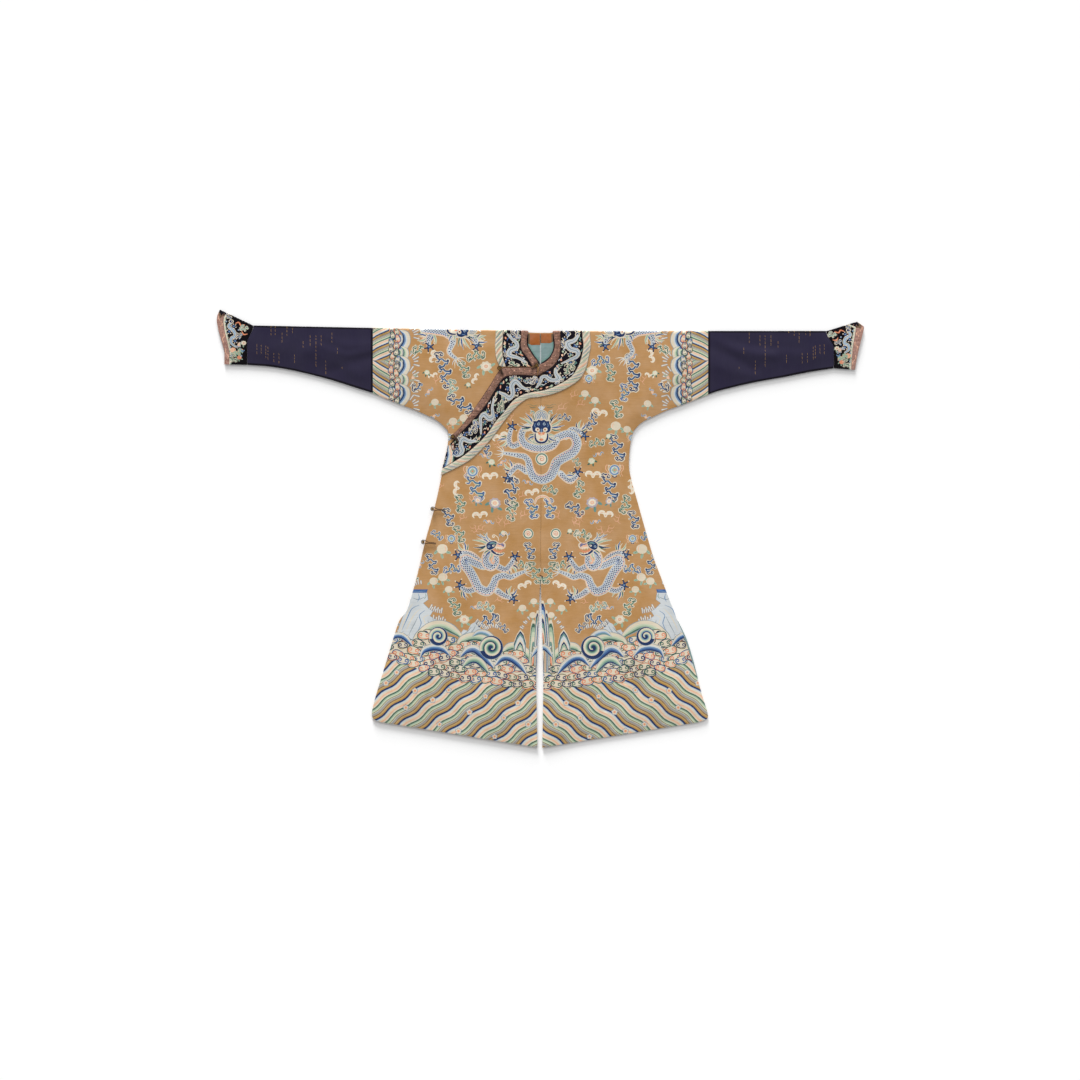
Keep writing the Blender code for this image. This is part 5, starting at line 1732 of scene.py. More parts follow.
@dataclass(frozen=True)
class Knot:
    """Pair of curls in a scalloped border, the filling of the rolling waves."""

    size: float = 33.0
    dyes: tuple[Thread, Thread] = (Thread.CORAL, Thread.NAVY)

    def draw(self) -> Sketch:
        """Draw it round its middle."""
        sketch = Sketch()
        s = self.size
        for grown, thread in ((3.2, Thread.INK), (1.4, self.dyes[0]), (-2.4, Thread.CREAM)):
            sketch.oval((0.0, 0.0), s + grown, 0.6 * s + grown, thread, 0.0, 15, 0.1, 3)
        for side in (-1.0, 1.0):
            hook = np.array([(0.0, -0.19), (0.26, -0.18), (0.39, -0.02), (0.30, 0.15), (0.14, 0.09), (0.17, -0.04),
                             (0.27, -0.01)]) * (side * s, s)
            sketch.line(hook, (0.04 * s, 0.1 * s, 0.09 * s, 0.07 * s), self.dyes[1], 0.11 * s)
        return sketch


def nested(sketch: Sketch, ring: Sequence, base: Sequence[float],
           layers: Sequence[tuple[float, Thread]]) -> None:
    """Fill a ring and ever smaller copies of it drawn towards a point.

    Args:
        sketch: where they go.
        ring: the outermost.
        base: the point.
        layers: size and colour of each, the largest first.
    """
    ring = np.asarray(ring, float)
    base = np.asarray(base, float)
    for size, thread in layers:
        sketch.fill(base + (ring - base) * size, thread)


def arch(left: float, right: float, top: float, foot: float, lean: float = 0.0) -> Points:
    """Outline of a round-headed peak."""
    middle = 0.5 * (left + right) + lean
    return curve([(left, foot), (left + 0.06 * (right - left), 0.5 * (top + foot)),
                  (middle - 0.22 * (right - left), top - 0.06 * (top - foot)), (middle, top),
                  (middle + 0.22 * (right - left), top - 0.06 * (top - foot)),
                  (right - 0.06 * (right - left), 0.5 * (top + foot)), (right, foot)], 8.0)


def foam(sketch: Sketch, path: Sequence, reach: float, count: int, thread: Thread = Thread.IVORY) -> None:
    """Add a row of foam fingers standing to the left of a path.

    Args:
        sketch: where they go.
        path: points the fingers grow from.
        reach: length of the longest.
        count: how many.
        thread: their colour.
    """
    path = curve(path, 3.0)
    normal = sides_of(path)
    for k in range(count):
        at = round((k + 0.5) / count * (len(path) - 1))
        length = reach * (1.0 if k % 2 == 0 else 0.62)
        tip = path[at] + length * normal[at]
        sketch.stroke([path[at], tip], (4.4, 5.6), Thread.MID_BLUE)
        sketch.stroke([path[at], tip], (2.8, 3.8), thread)


def volute(sketch: Sketch, centre: Sequence[float], radius: float, start: float, turns: float,
           threads: Sequence[Thread]) -> None:
    """Add a big breaking wave wound into a spiral.

    Args:
        sketch: where it goes.
        centre: its eye.
        radius: its outer radius.
        start: angle of its start in degrees.
        turns: turns made, anticlockwise if positive.
        threads: colours from its outer edge inwards.
    """
    sketch.oval(centre, 2.0 * radius + 3.0, 2.0 * radius + 3.0, Thread.GREY, sides=24)
    sketch.oval(centre, 2.0 * radius, 2.0 * radius, threads[-1], sides=24)
    band = 0.46 * radius
    path = spiral(centre, radius - 0.42 * band, 0.1 * radius, start, turns, 4.0)
    outwards = threads if turns < 0.0 else threads[::-1]
    sketch.shaded(path, (0.9 * band, band, 0.95 * band, 0.7 * band, 0.3 * band), outwards)


def crescent(sketch: Sketch, points: Sequence, width: float, threads: Sequence[Thread],
             teeth: int = 7) -> None:
    """Add a curling crest with foam on its back.

    Args:
        sketch: where it goes.
        points: its middle line, from one tip to the other, foam on its left.
        width: its width in the middle.
        threads: colours from the foam side across.
        teeth: how many foam fingers it has.
    """
    path = curve(points, 5.0)
    sketch.stroke(path, (3.0, width + 2.4, width + 3.0, width + 2.4, 3.0), Thread.GREY)
    if teeth:
        outer = path + sides_of(path) * profile(len(path), (0.0, 0.4 * width, 0.5 * width, 0.4 * width, 0.0))[:, None]
        foam(sketch, outer[1:-1:2], 7.0, teeth)
    sketch.shaded(path, (2.5, 0.9 * width, width, 0.9 * width, 2.5), threads)


def blossom(sketch: Sketch, at: Sequence[float], size: float = 17.0) -> None:
    """Add a small flower that floats on the stripes."""
    sketch.oval(at, size + 3.0, size + 3.0, Thread.MID_BLUE, 18.0, 20, 0.14, 5)
    sketch.oval(at, size, size, Thread.CREAM, 18.0, 20, 0.16, 5)
    sketch.oval(at, 0.55 * size, 0.55 * size, Thread.PINK, 0.0, 10)
    sketch.oval(at, 0.26 * size, 0.26 * size, Thread.CORAL, 0.0, 6)


@dataclass(frozen=True)
class Sea:
    """Standing and rolling water with its mountains: one half of the hem."""

    crest: tuple[tuple[float, float], ...] = (
        (-620.0, -352.0), (-540.0, -392.0), (-490.0, -420.0), (-422.0, -449.0), (-298.0, -487.0),
        (-173.0, -503.0), (-27.0, -520.0), (5.0, -522.0))
    curls: tuple[tuple[float, float], ...] = (
        (-620.0, -262.0), (-540.0, -308.0), (-490.0, -336.0), (-440.0, -366.0), (-400.0, -380.0),
        (-383.0, -352.0), (-330.0, -340.0), (-286.0, -356.0), (-262.0, -386.0), (-220.0, -378.0),
        (-160.0, -386.0), (-132.0, -420.0), (-80.0, -408.0), (-44.0, -430.0), (5.0, -474.0))
    slope: float = 37.0
    sway: float = 3.8
    pitch: float = 34.0            # spacing of the curls
    swell: float = 95.0

    def top(self, x: Points) -> Points:
        """Height at which the stripes end."""
        rows = np.array(self.crest)
        return np.interp(x, rows[:, 0], rows[:, 1])

    def stripes(self, sketch: Sketch) -> None:
        """Add the slanting stripes of standing water."""
        c, s = math.cos(math.radians(self.slope)), math.sin(math.radians(self.slope))
        along = np.arange(-900.0, 60.0, 7.0)

        def row(n: float) -> Points:
            off = n + self.sway * np.sin(2.0 * math.pi * along / self.swell)
            return np.column_stack((along * c - off * s, along * s + off * c))

        n = 60.0
        k = 0
        while n > -640.0:
            thread, width = STRIPES[k % len(STRIPES)]
            upper, lower = row(n), row(n - width)
            middle = row(n - 0.5 * width)
            wanted = ((middle[:, 1] < self.top(middle[:, 0]) + 12.0) & (middle[:, 1] > -735.0)
                      & (middle[:, 0] < MIDDLE + 6.0) & (middle[:, 0] > -600.0))
            at = np.flatnonzero(wanted)
            if len(at) > 1:
                cut = slice(at[0], at[-1] + 1)
                ring = np.vstack((lower[cut], upper[cut][::-1]))
                ring[:, 0] = np.minimum(ring[:, 0], MIDDLE)
                sketch.fill(ring, thread)
            n -= width
            k += 1

    def rolling(self, sketch: Sketch) -> None:
        """Add the band of curls above the stripes."""
        low, high = np.array(self.crest), np.array(self.curls)
        bed = curve(np.vstack((high[:-1] - (0.0, 4.0), [(MIDDLE, -480.0)])), 20.0)
        foot = curve(np.vstack((low[:-1] - (0.0, 2.0), [(MIDDLE, -524.0)])), 20.0)
        sketch.fill(np.vstack((bed, foot[::-1])), Thread.CREAM)
        for k in range(int(590.0 / self.pitch)):
            x = MIDDLE - 12.0 - self.pitch * k
            top = float(np.interp(x, high[:, 0], high[:, 1]))
            ends = float(np.interp(x, low[:, 0], low[:, 1])) + 6.0
            rows = max(3, round((top - ends) / (0.70 * self.pitch)))
            for j in range(rows, -1, -1):
                y = ends + (top - ends) * j / rows + 3.0 * math.sin(1.7 * k + 2.3 * j)
                dyes = CURL_DYES[(3 * k + 2 * j + k * j) % len(CURL_DYES)]
                size = (1.2 + 0.14 * math.sin(2.1 * k + j)) * self.pitch
                sketch.put(Knot(size, dyes).draw(), (x - 0.5 * self.pitch * (j % 2), y),
                           14.0 * math.sin(1.3 * k + j))

    def rock(self, sketch: Sketch) -> None:
        """Add the pale rock at the side edge, flat-topped, with foam at its right."""
        face = [(-482, -392), (-458, -312), (-446, -280), (-436, -250), (-424, -236), (-420, -206), (-372, -206),
                (-368, -232), (-384, -244), (-366, -262), (-352, -270), (-362, -286), (-342, -298),
                (-352, -318), (-344, -392)]
        sketch.stroke([*face[:-1]], 3.4, Thread.GREY)
        sketch.fill(face, Thread.PALE)
        for tone, rows in ((Thread.MID_BLUE, (((-452, -330), (-434, -290), (-420, -262), (-396, -250)),
                                              ((-404, -340), (-390, -310), (-396, -284), (-378, -268)))),
                           (Thread.CREAM, (((-440, -336), (-424, -300), (-408, -276), (-392, -262)),
                                           ((-392, -336), (-376, -316), (-382, -292), (-364, -282)),
                                           ((-462, -346), (-446, -306), (-432, -268), (-418, -246)))),
                           (Thread.GREY, (((-430, -346), (-412, -312), (-400, -288)),
                                          ((-380, -338), (-366, -318), (-368, -300)),
                                          ((-420, -226), (-400, -232), (-378, -224))))):
            for row in rows:
                sketch.line(row, (1.2, 3.2, 1.2), tone)
        sketch.fill([(-426, -199), (-368, -199), (-372, -210), (-420, -210)], Thread.BLUE)
        sketch.line([(-420, -204), (-396, -206), (-374, -204)], 2.0, Thread.MID_BLUE)
        sketch.line([(-400, -212), (-396, -226), (-402, -240)], (1.0, 3.0, 1.0), Thread.MID_BLUE)
        sketch.line([(-376, -212), (-374, -222), (-380, -230)], (1.0, 2.4, 1.0), Thread.TEAL)
        foam(sketch, [(-364, -262), (-344, -272), (-322, -276)], 15.0, 7)
        foam(sketch, [(-352, -298), (-334, -300), (-312, -306)], 14.0, 6)
        foam(sketch, [(-424, -198), (-408, -184), (-388, -180)], 14.0, 6)

    def mountains(self, sketch: Sketch) -> None:
        """Add the hills and the peaks at the middle."""
        blue = ((1.0, Thread.CREAM), (0.95, Thread.NAVY), (0.89, Thread.TEAL), (0.82, Thread.PALE),
                (0.72, Thread.CREAM), (0.64, Thread.NAVY), (0.58, Thread.SAGE), (0.49, Thread.CREAM),
                (0.41, Thread.CORAL), (0.33, Thread.OLIVE), (0.24, Thread.CREAM), (0.15, Thread.NAVY))
        green = ((1.0, Thread.CREAM), (0.94, Thread.GREEN), (0.87, Thread.SAGE), (0.79, Thread.PALE_GREEN),
                 (0.70, Thread.CREAM), (0.61, Thread.TEAL), (0.53, Thread.OLIVE), (0.43, Thread.CREAM),
                 (0.34, Thread.CORAL), (0.22, Thread.BROWN))
        self.rock(sketch)
        side = [(-266, -352), (-252, -330), (-238, -334), (-226, -312), (-214, -306), (-206, -318), (-194, -328),
                (-186, -356)]
        sketch.fill(side, Thread.PALE)
        for row in (((-256, -348), (-240, -338), (-226, -322)), ((-236, -350), (-220, -332), (-212, -318)),
                    ((-212, -352), (-204, -336), (-198, -330))):
            sketch.line(row, (1.2, 3.0, 1.2), Thread.GREY)
        foam(sketch, [(-214, -306), (-198, -318), (-180, -330)], 12.0, 6)
        foam(sketch, [(-176, -330), (-158, -322), (-140, -326)], 11.0, 6)
        leaf = (Thread.CREAM, Thread.CREAM, Thread.PALE_GREEN, Thread.SAGE, Thread.GREEN)
        dusk = (Thread.CREAM, Thread.PALE, Thread.PALE_BLUE, Thread.MID_BLUE, Thread.TEAL)
        for points, width, threads in (
                ([(-424, -404), (-404, -360), (-362, -322), (-316, -316), (-268, -344), (-246, -374)], 28.0, leaf),
                ([(-276, -400), (-258, -366), (-216, -352), (-170, -364), (-140, -396)], 26.0, leaf),
                ([(-222, -352), (-200, -338), (-172, -344), (-146, -368)], 16.0, dusk),
                ([(-128, -412), (-106, -388), (-74, -386), (-40, -412), (-18, -446)], 24.0, leaf)):
            crescent(sketch, points, width, threads, 0)
        peak = [(-50, -450), (-47, -372), (-55, -343), (-66, -329), (-77, -345), (-88, -374), (-86, -450)]
        nested(sketch, peak, (-68, -442), blue)
        for top, width, foot in ((-300, 17.0, -480), (-268, 13.0, -470)):
            x = MIDDLE - 28.0 if top == -300 else MIDDLE - 14.0
            nested(sketch, arch(x - width, x + width, top, foot), (x, foot), green if top == -300 else blue)
        foam(sketch, [(-60, -330), (-44, -306), (-34, -296)], 9.0, 5)

    def draw(self) -> Sketch:
        """Draw the wearer's right half where it lies on the robe."""
        sketch = Sketch()
        self.stripes(sketch)
        for at in ((-470, -470), (-410, -530), (-352, -560), (-300, -528), (-232, -600), (-180, -548),
                   (-120, -618), (-74, -570), (-40, -640), (-505, -505), (-440, -585), (-330, -640),
                   (-268, -662), (-150, -680)):
            blossom(sketch, at, 15.0 + (at[0] % 3))
        self.mountains(sketch)
        self.rolling(sketch)
        cool = (Thread.CREAM, Thread.PALE, Thread.MID_BLUE, Thread.BLUE, Thread.NAVY)
        leaf = (Thread.CREAM, Thread.PALE_GREEN, Thread.SAGE, Thread.TEAL, Thread.NAVY)
        crescent(sketch, [(-392, -420), (-380, -398), (-350, -388), (-318, -394), (-296, -416)], 22.0, cool, 6)
        crescent(sketch, [(-262, -420), (-240, -398), (-214, -394), (-184, -418), (-152, -456)], 26.0, cool, 8)
        crescent(sketch, [(-254, -452), (-228, -430), (-200, -434), (-170, -470)], 22.0, leaf, 0)
        crescent(sketch, [(-150, -450), (-126, -424), (-98, -424), (-68, -446), (-46, -476)], 22.0, cool, 5)
        crescent(sketch, [(-500, -372), (-474, -350), (-446, -354), (-418, -384)], 18.0, cool, 6)
        volute(sketch, (-334, -352), 30.0, 200.0, -1.7,
               (Thread.CREAM, Thread.CREAM, Thread.PALE_GREEN, Thread.SAGE, Thread.MID_BLUE, Thread.NAVY))
        volute(sketch, (-161, -389), 38.0, 200.0, -1.8,
               (Thread.CREAM, Thread.CREAM, Thread.PALE_GREEN, Thread.SAGE, Thread.TEAL, Thread.GREEN, Thread.NAVY))
        return sketch


def sleeve_end() -> Sketch:
    """Water and foam by the armhole seam, drawn on the wearer's right."""
    sketch = Sketch()
    x = np.linspace(-549.0, -474.0, 7)
    for up, slope, span in ((1.0, 28.0, 150.0), (-1.0, 35.0, 190.0)):
        rise = math.tan(math.radians(slope))
        off = -52.0
        k = 0
        while off < span:
            thread, width = STRIPES[k % len(STRIPES)]
            width = 0.62 * width / math.cos(math.radians(slope))
            base = rise * (x + 549.0) + off + 1.8 * np.sin((x + 549.0) / 11.0)
            low, high = np.maximum(base, 0.0), np.maximum(base + width, 0.0)
            if (high - low).max() > 0.5:
                sketch.fill(np.vstack((np.column_stack((x, 549.0 + up * low)),
                                       np.column_stack((x, 549.0 + up * high))[::-1])), thread)
            off += width
            k += 1
    surf = (Thread.NAVY, Thread.MID_BLUE, Thread.PALE, Thread.CREAM, Thread.CREAM)
    leaf = (Thread.GREEN, Thread.SAGE, Thread.PALE_GREEN, Thread.CREAM, Thread.CREAM)
    for y, grown, threads in ((614.0, 1.15, surf), (570.0, 0.8, leaf), (530.0, 1.1, surf), (482.0, 0.75, leaf),
                              (438.0, 1.1, surf)):
        arc = np.array([(-30, -34), (-10, -26), (5, -4), (2, 18), (-14, 30)]) * grown + (-444.0, y)
        crescent(sketch, arc, 21.0 * grown, threads, 0)
        crescent(sketch, (arc - arc[2]) * 0.5 + (-456.0, y + 2.0), 10.0, threads[:4], 0)
    for y in (640.0, 552.0, 502.0, 452.0, 408.0):
        foam(sketch, [(-428, y + 14), (-418, y + 6), (-412, y - 6), (-414, y - 18)], 17.0, 5)
    for j in range(2):
        for k in range(12):
            y = 654.0 - 22.5 * k - 11.0 * j
            dyes = CURL_DYES[(2 * k + 3 * j) % len(CURL_DYES)]
            sketch.put(Knot(27.0, dyes).draw(), (-486.0 + 17.0 * j + 3.0 * math.sin(1.9 * k), y),
                       90.0 + 20.0 * math.sin(k + j))
    for y in (586, 492):
        sketch.put(Scroll(30.0, Thread.GREEN, Thread.SAGE).draw(), (-414, y), 78.0)
    sketch.put(Cloud(2, 10.0, 12.0, dye=Dye.GREEN, foot=False).draw(), (-393, 588), 90.0)
    sketch.put(Cloud(2, 10.0, 12.0, dye=Dye.BLUE, foot=False).draw(), (-396, 466), 90.0)
    return sketch


# ---------------------------------------------------------------- the robe's whole design

@dataclass(frozen=True)
class RobeDesign:
    """Dragons, clouds, lucky emblems and water of the tapestry silk."""

    fine: bool = True              # the back, which lies on the table, is drawn more simply

    def clouds(self, sketch: Sketch) -> None:
        """Add the clouds."""
        tall, small, wide = Cloud(6, 17.0, 14.5), Cloud(3, 15.0, 13.0, 1.0), Cloud(4, 18.0, 14.5, 2.0)
        rows = [  # x, y, turn, size, cloud, dye
            (-313, 516, 6, 1.0, tall, Dye.BLUE), (-209, 569, 88, 0.85, small, Dye.GREEN),
            (-244, 518, 10, 0.8, small, Dye.GREEN), (-283, 456, -14, 0.8, small, Dye.PALE),
            (-258, 408, 32, 0.95, wide, Dye.BLUE), (-176, 262, 20, 0.78, small, Dye.BLUE),
            (-211, 134, 2, 1.02, wide, Dye.TEAL), (-97, 125, 146, 1.0, wide, Dye.BLUE),
            (-258, 79, -6, 0.85, small, Dye.GREEN), (-97, 62, 152, 0.9, small, Dye.GREEN),
            (-295, 36, 4, 0.85, small, Dye.BLUE), (-260, -19, 10, 0.8, small, Dye.GREEN),
            (197, 552, 92, 0.85, small, Dye.TEAL), (233, 507, -8, 0.8, small, Dye.GREEN),
            (304, 507, -4, 1.0, tall, Dye.BLUE), (278, 442, -12, 0.8, small, Dye.TEAL),
            (255, 390, 8, 0.85, small, Dye.GREEN), (80, 366, 70, 0.6, small, Dye.BLUE),
            (171, 346, -36, 0.8, small, Dye.BLUE), (186, 284, 84, 0.7, small, Dye.GREEN),
            (253, 262, -4, 0.95, wide, Dye.BLUE), (118, 222, 30, 0.55, small, Dye.GREEN),
            (34, 130, 60, 0.7, small, Dye.GREEN), (130, 124, -30, 0.8, small, Dye.GREEN),
            (229, 132, -4, 1.0, wide, Dye.BLUE), (118, 66, 40, 0.9, small, Dye.BLUE),
            (280, 74, -30, 0.85, small, Dye.GREEN), (310, 28, 4, 0.85, small, Dye.BLUE),
            (140, -16, 62, 0.75, small, Dye.GREEN), (-22, 64, 8, 0.95, small, Dye.TEAL),
            (36, 64, -8, 0.95, small, Dye.TEAL)]
        sides = [(-287, -128, 84, 0.8, small, Dye.TEAL), (-30, -74, 4, 0.8, small, Dye.BLUE),
                 (-62, -116, 76, 0.7, small, Dye.GREEN), (-14, -146, 0, 0.8, wide, Dye.GREEN),
                 (-176, -252, 62, 0.8, small, Dye.PALE), (-274, -256, 10, 0.85, small, Dye.GREEN),
                 (-172, -299, 88, 0.85, wide, Dye.BLUE), (-120, -322, 40, 0.6, small, Dye.BLUE),
                 (-352, -118, -4, 0.75, wide, Dye.BLUE), (-410, -150, 14, 0.6, small, Dye.GREEN),
                 (-334, -20, 40, 0.6, small, Dye.TEAL), (-442, -262, 10, 0.7, wide, Dye.TEAL),
                 (-470, -300, 10, 0.55, small, Dye.BLUE)]
        for x, y, turn, size, cloud, dye in rows if self.fine else rows[::2]:
            sketch.put(replace(cloud, dye=dye).draw(), (x, y), turn, 1.14 * size)
        for x, y, turn, size, cloud, dye in sides if self.fine else sides[::2]:
            sketch.put(replace(cloud, dye=dye).draw(), (x, y), turn, 1.14 * size)
            sketch.put(replace(cloud, dye=dye).draw(), (2 * MIDDLE - x, y), -turn, 1.14 * size, True)

    def lucky(self, sketch: Sketch) -> None:
        """Add bats, flowers, fruit and emblems."""
        for x, y, turn, size in ((-132, 300, 20, 1.0), (193, 379, -14, 1.0), (-165, 171, 4, 1.0),
                                 (172, 176, -4, 1.0), (-274, 132, 84, 0.9), (295, 136, -84, 0.9),
                                 (-28, 118, 10, 0.9), (-198, 44, 6, 0.95), (213, 47, -6, 0.95),
                                 (-52, -185, 24, 0.9), (62, -185, -24, 0.9), (-213, 490, 60, 0.7),
                                 (-352, 563, 76, 0.8), (362, 563, -76, 0.8), (-352, 500, 20, 0.6),
                                 (356, 500, -20, 0.6)):
            sketch.put(Bat().draw(), (x, y), turn, size)
        peony = Bloom(36.0, 8, Thread.CREAM, Thread.PINK, 4, Thread.SAGE)
        peach = Bloom(28.0, 0, Thread.CREAM, Thread.SALMON, 3, Thread.SAGE, 20.0)
        lilac = Bloom(38.0, 9, Thread.LILAC, Thread.SALMON, 3, Thread.TEAL)
        leaf = Bloom(22.0, 6, Thread.PALE_GREEN, Thread.CREAM, 3, Thread.GREEN)
        for bloom, x, y, size in (
                (peony, -178, 530, 1.0), (peony, 169, 516, 1.0), (peach, 145, 441, 0.9), (peach, 178, 419, 0.9),
                (peach, -251, 361, 1.0), (peach, -286, 350, 1.0), (peach, 246, 335, 1.2), (peach, 283, 324, 0.9),
                (peach, -321, -67, 1.3), (peach, -319, -159, 1.1), (peach, -349, -172, 1.0),
                (peach, -300, -199, 0.9), (peach, -22, -238, 0.8), (peach, -59, -260, 0.9),
                (peach, -25, -283, 0.8), (peach, 331, -67, 1.3), (peach, 329, -159, 1.1), (peach, 359, -172, 1.0),
                (peach, 310, -199, 0.9), (peach, 32, -238, 0.8), (peach, 69, -260, 0.9), (peach, 35, -283, 0.8),
                (peach, -345, 413, 0.9), (peach, 350, 408, 0.9), (lilac, -149, 83, 1.0), (lilac, 169, 85, 1.0),
                (lilac, -205, 92, 0.6), (lilac, 224, 89, 0.6), (peony, -249, -297, 0.9), (peony, 259, -297, 0.9),
                (leaf, -160, 217, 1.0), (leaf, 167, 221, 1.0), (leaf, -371, 510, 0.8), (leaf, 374, 508, 0.8),
                (leaf, -226, 296, 0.7), (leaf, 222, 302, 0.7), (leaf, -122, -14, 0.7), (leaf, 96, -8, 0.7),
                (leaf, -384, 640, 0.8), (leaf, 384, 640, 0.8), (leaf, -352, 330, 0.7), (peony, -418, -212, 0.7),
                (peony, 428, -212, 0.7), (leaf, -236, 470, 0.7)):
            sketch.put(bloom.draw(), (x, y), 14.0 if x > 0 else -14.0, size, x > MIDDLE)
        for x, y, size in ((-222, 187, 1.0), (242, 191, 1.0), (158, 490, 0.7), (-291, -33, 0.7), (301, -33, 0.7),
                           (-300, 300, 0.6), (300, 296, 0.6)):
            sketch.put(Emblem().draw(), (x, y), 0.0, size)
        for x, y, turn in ((-169, 21, 8), (180, 21, -8), (-182, 236, 0), (189, 242, 0), (-118, -20, 30),
                           (300, 560, 10), (-126, 214, 60), (-318, 204, 80), (-42, 150, 0), (322, 204, 100),
                           (-302, 262, 70), (-380, 620, 60), (384, 620, 120), (-330, 250, 60),
                           (-346, 366, 40), (346, 366, 140), (-364, 446, 70), (368, 446, 110),
                           (-212, -258, 20), (222, -258, 160), (-392, -120, 70), (402, -120, 110)):
            if self.fine:
                sketch.put(Scroll(38.0).draw(), (x, y), turn, 0.9, x > MIDDLE)
        for x, y, turn in ((-300, 320, 70), (-64, 30, 60), (66, 30, 120), (-230, 240, 20), (-330, 120, 80),
                           (338, 120, 100), (-60, 200, 200), (-122, 268, 160), (-130, 8, 100), (-96, 24, 70),
                           (112, 8, 80), (140, 22, 110), (-262, 20, 60), (262, 16, 120), (-210, -10, 30),
                           (214, -14, 150), (100, 420, 60), (118, 396, 40), (-220, 80, 90), (260, 176, 90),
                           (-340, 470, 80), (340, 470, 100), (-150, -240, 20), (160, -240, 160),
                           (-104, 196, 120), (128, 262, 60), (-388, 600, 90), (392, 600, 90), (-70, 92, 60)):
            if self.fine:
                sketch.put(Flame(38.0).draw(), (x, y), turn)
        arched = curve([(-18, 82), (-12, 98), (7, 106), (26, 98), (32, 82)], 4.0)
        sketch.stroke(arched, (6.0, 9.0, 9.0, 6.0), Thread.CREAM)
        sketch.stroke(arched, (2.4, 4.0, 4.0, 2.4), Thread.PINK)
        for x in (-40, 50):
            sketch.put(Pearl(16.0).draw(), (x, -17))

    def common(self, sketch: Sketch) -> None:
        """Add what front and back share: water, shoulder and skirt dragons, sleeve ends."""
        sea = Sea() if self.fine else Sea(pitch=48.0)
        for half, axis in ((sea.draw(), MIDDLE), (sleeve_end(), 0.0)):
            sketch.put(half)
            sketch.put(half, (2.0 * axis, 0.0), flip=True)
        centre = Sketch()
        nested(centre, arch(MIDDLE - 21.0, MIDDLE + 21.0, -236.0, -470.0), (MIDDLE, -470.0), (
            (1.0, Thread.CREAM), (0.96, Thread.NAVY), (0.92, Thread.BLUE), (0.87, Thread.PALE_BLUE),
            (0.81, Thread.CREAM), (0.75, Thread.NAVY), (0.69, Thread.TEAL), (0.62, Thread.CREAM),
            (0.55, Thread.CORAL), (0.48, Thread.OLIVE), (0.4, Thread.CREAM), (0.3, Thread.NAVY)))
        crescent(centre, [(MIDDLE + 34, -420), (MIDDLE + 16, -394), (MIDDLE, -388), (MIDDLE - 16, -394),
                          (MIDDLE - 34, -420)][::-1], 18.0, (Thread.CREAM, Thread.PALE_BLUE, Thread.MID_BLUE,
                                                             Thread.NAVY), 6)
        sketch.put(centre)
        skirt, shoulder = StridingDragon().draw(), ShoulderDragon().draw()
        sketch.put(skirt, (-157, -57))
        sketch.put(skirt, (2.0 * MIDDLE + 157, -57), flip=True)
        sketch.put(shoulder, (-262, 654))
        sketch.put(shoulder, (264, 654), flip=True)

    def front(self) -> Sketch:
        """The front, in place."""
        sketch = Sketch()
        # painted shade: a thin darker ochre line down the centre seam, for the shadow in the seam gap
        sketch.line([(3, 450), (3, 100), (2, -150)], 1.1, Thread.GROUND_SEAM_SHADE, 60.0)
        self.clouds(sketch)
        self.lucky(sketch)
        self.common(sketch)
        sketch.put(ChestDragon().draw(), (3, 326))
        sketch.line([(-3, -152), (7, -158)], (3.0, 4.0), Thread.INK)
        return sketch

    def back(self) -> Sketch:
        """The back, as seen on the laid back through the robe."""
        sketch = Sketch()
        self.clouds(sketch)
        self.lucky(sketch)
        self.common(sketch)
        sketch.put(ChestDragon().draw(), (3, 330))
        return sketch


# ---------------------------------------------------------------- sleeves and cuffs

def sleeve_sketch(sign: int) -> Sketch:
    """Painted shade along the fold, lower edge and armhole seam of a satin sleeve, and its worn gold flecks.

    Args:
        sign: -1 for the wearer's right, +1 for the left.

    Returns:
        The design on the flat cut.
    """
    sketch = Sketch()
    x = sign * np.linspace(ARMHOLE, 975.0, 44)
    fold, low = (CUT.arm_height(sign, x, np.full(len(x), share)) for share in (1.0, 0.0))
    rows = [np.column_stack((x, fold - 1.0)), np.column_stack((x, low + 3.5)),
            np.column_stack((x, LIE.back_v(x, fold - 4.0))), np.column_stack((x, LIE.back_v(x, low + 3.5)))]
    # painted shade: black strokes along the fold and lower edge, front and back, where the satin turns away from the
    # light
    for row in rows:
        sketch.stroke(row, (5.0, 7.0, 5.0, 7.5, 5.0), Thread.INK)
    share = np.linspace(0.0, 1.0, 22)
    # painted shade: a black stroke by the armhole seam, for the shadow of its rolled edge
    seam = np.column_stack((np.full(22, sign * (ARMHOLE + 4.0)),
                            CUT.arm_height(sign, np.full(22, sign * (ARMHOLE + 4.0)), share)))
    sketch.stroke(seam, 5.0, Thread.INK)
    flecks = ((881, 665, 631), (867, 665, 636), (829, 660, 631), (811, 655, 636), (753, 631, 604),
              (717, 631, 602), (927, 602, 574), (913, 600, 568), (898, 597, 555), (891, 594, 549),
              (872, 573, 540), (855, 573, 534), (804, 568, 539), (734, 631, 530), (702, 549, 505),
              (649, 528, 520), (776, 612, 590), (682, 640, 612), (845, 640, 610), (664, 590, 571))
    for k, (across, top, foot) in enumerate(flecks):
        y = top
        while y > foot:
            run = 5.0 + 4.0 * abs(math.sin(2.7 * k + y))
            sketch.stroke([(sign * across, y), (sign * across + 0.5, y - run)], (0.7, 1.3, 0.7), Thread.GOLD)
            if k % 3 == 0:
                at = LIE.back_v(np.full(2, sign * across), np.array([y, y - run]))
                sketch.stroke([(sign * across, at[0]), (sign * across, at[1])], (0.7, 1.3, 0.7), Thread.GOLD)
            y -= run + 3.0 + 3.0 * abs(math.sin(1.3 * y))
    return sketch


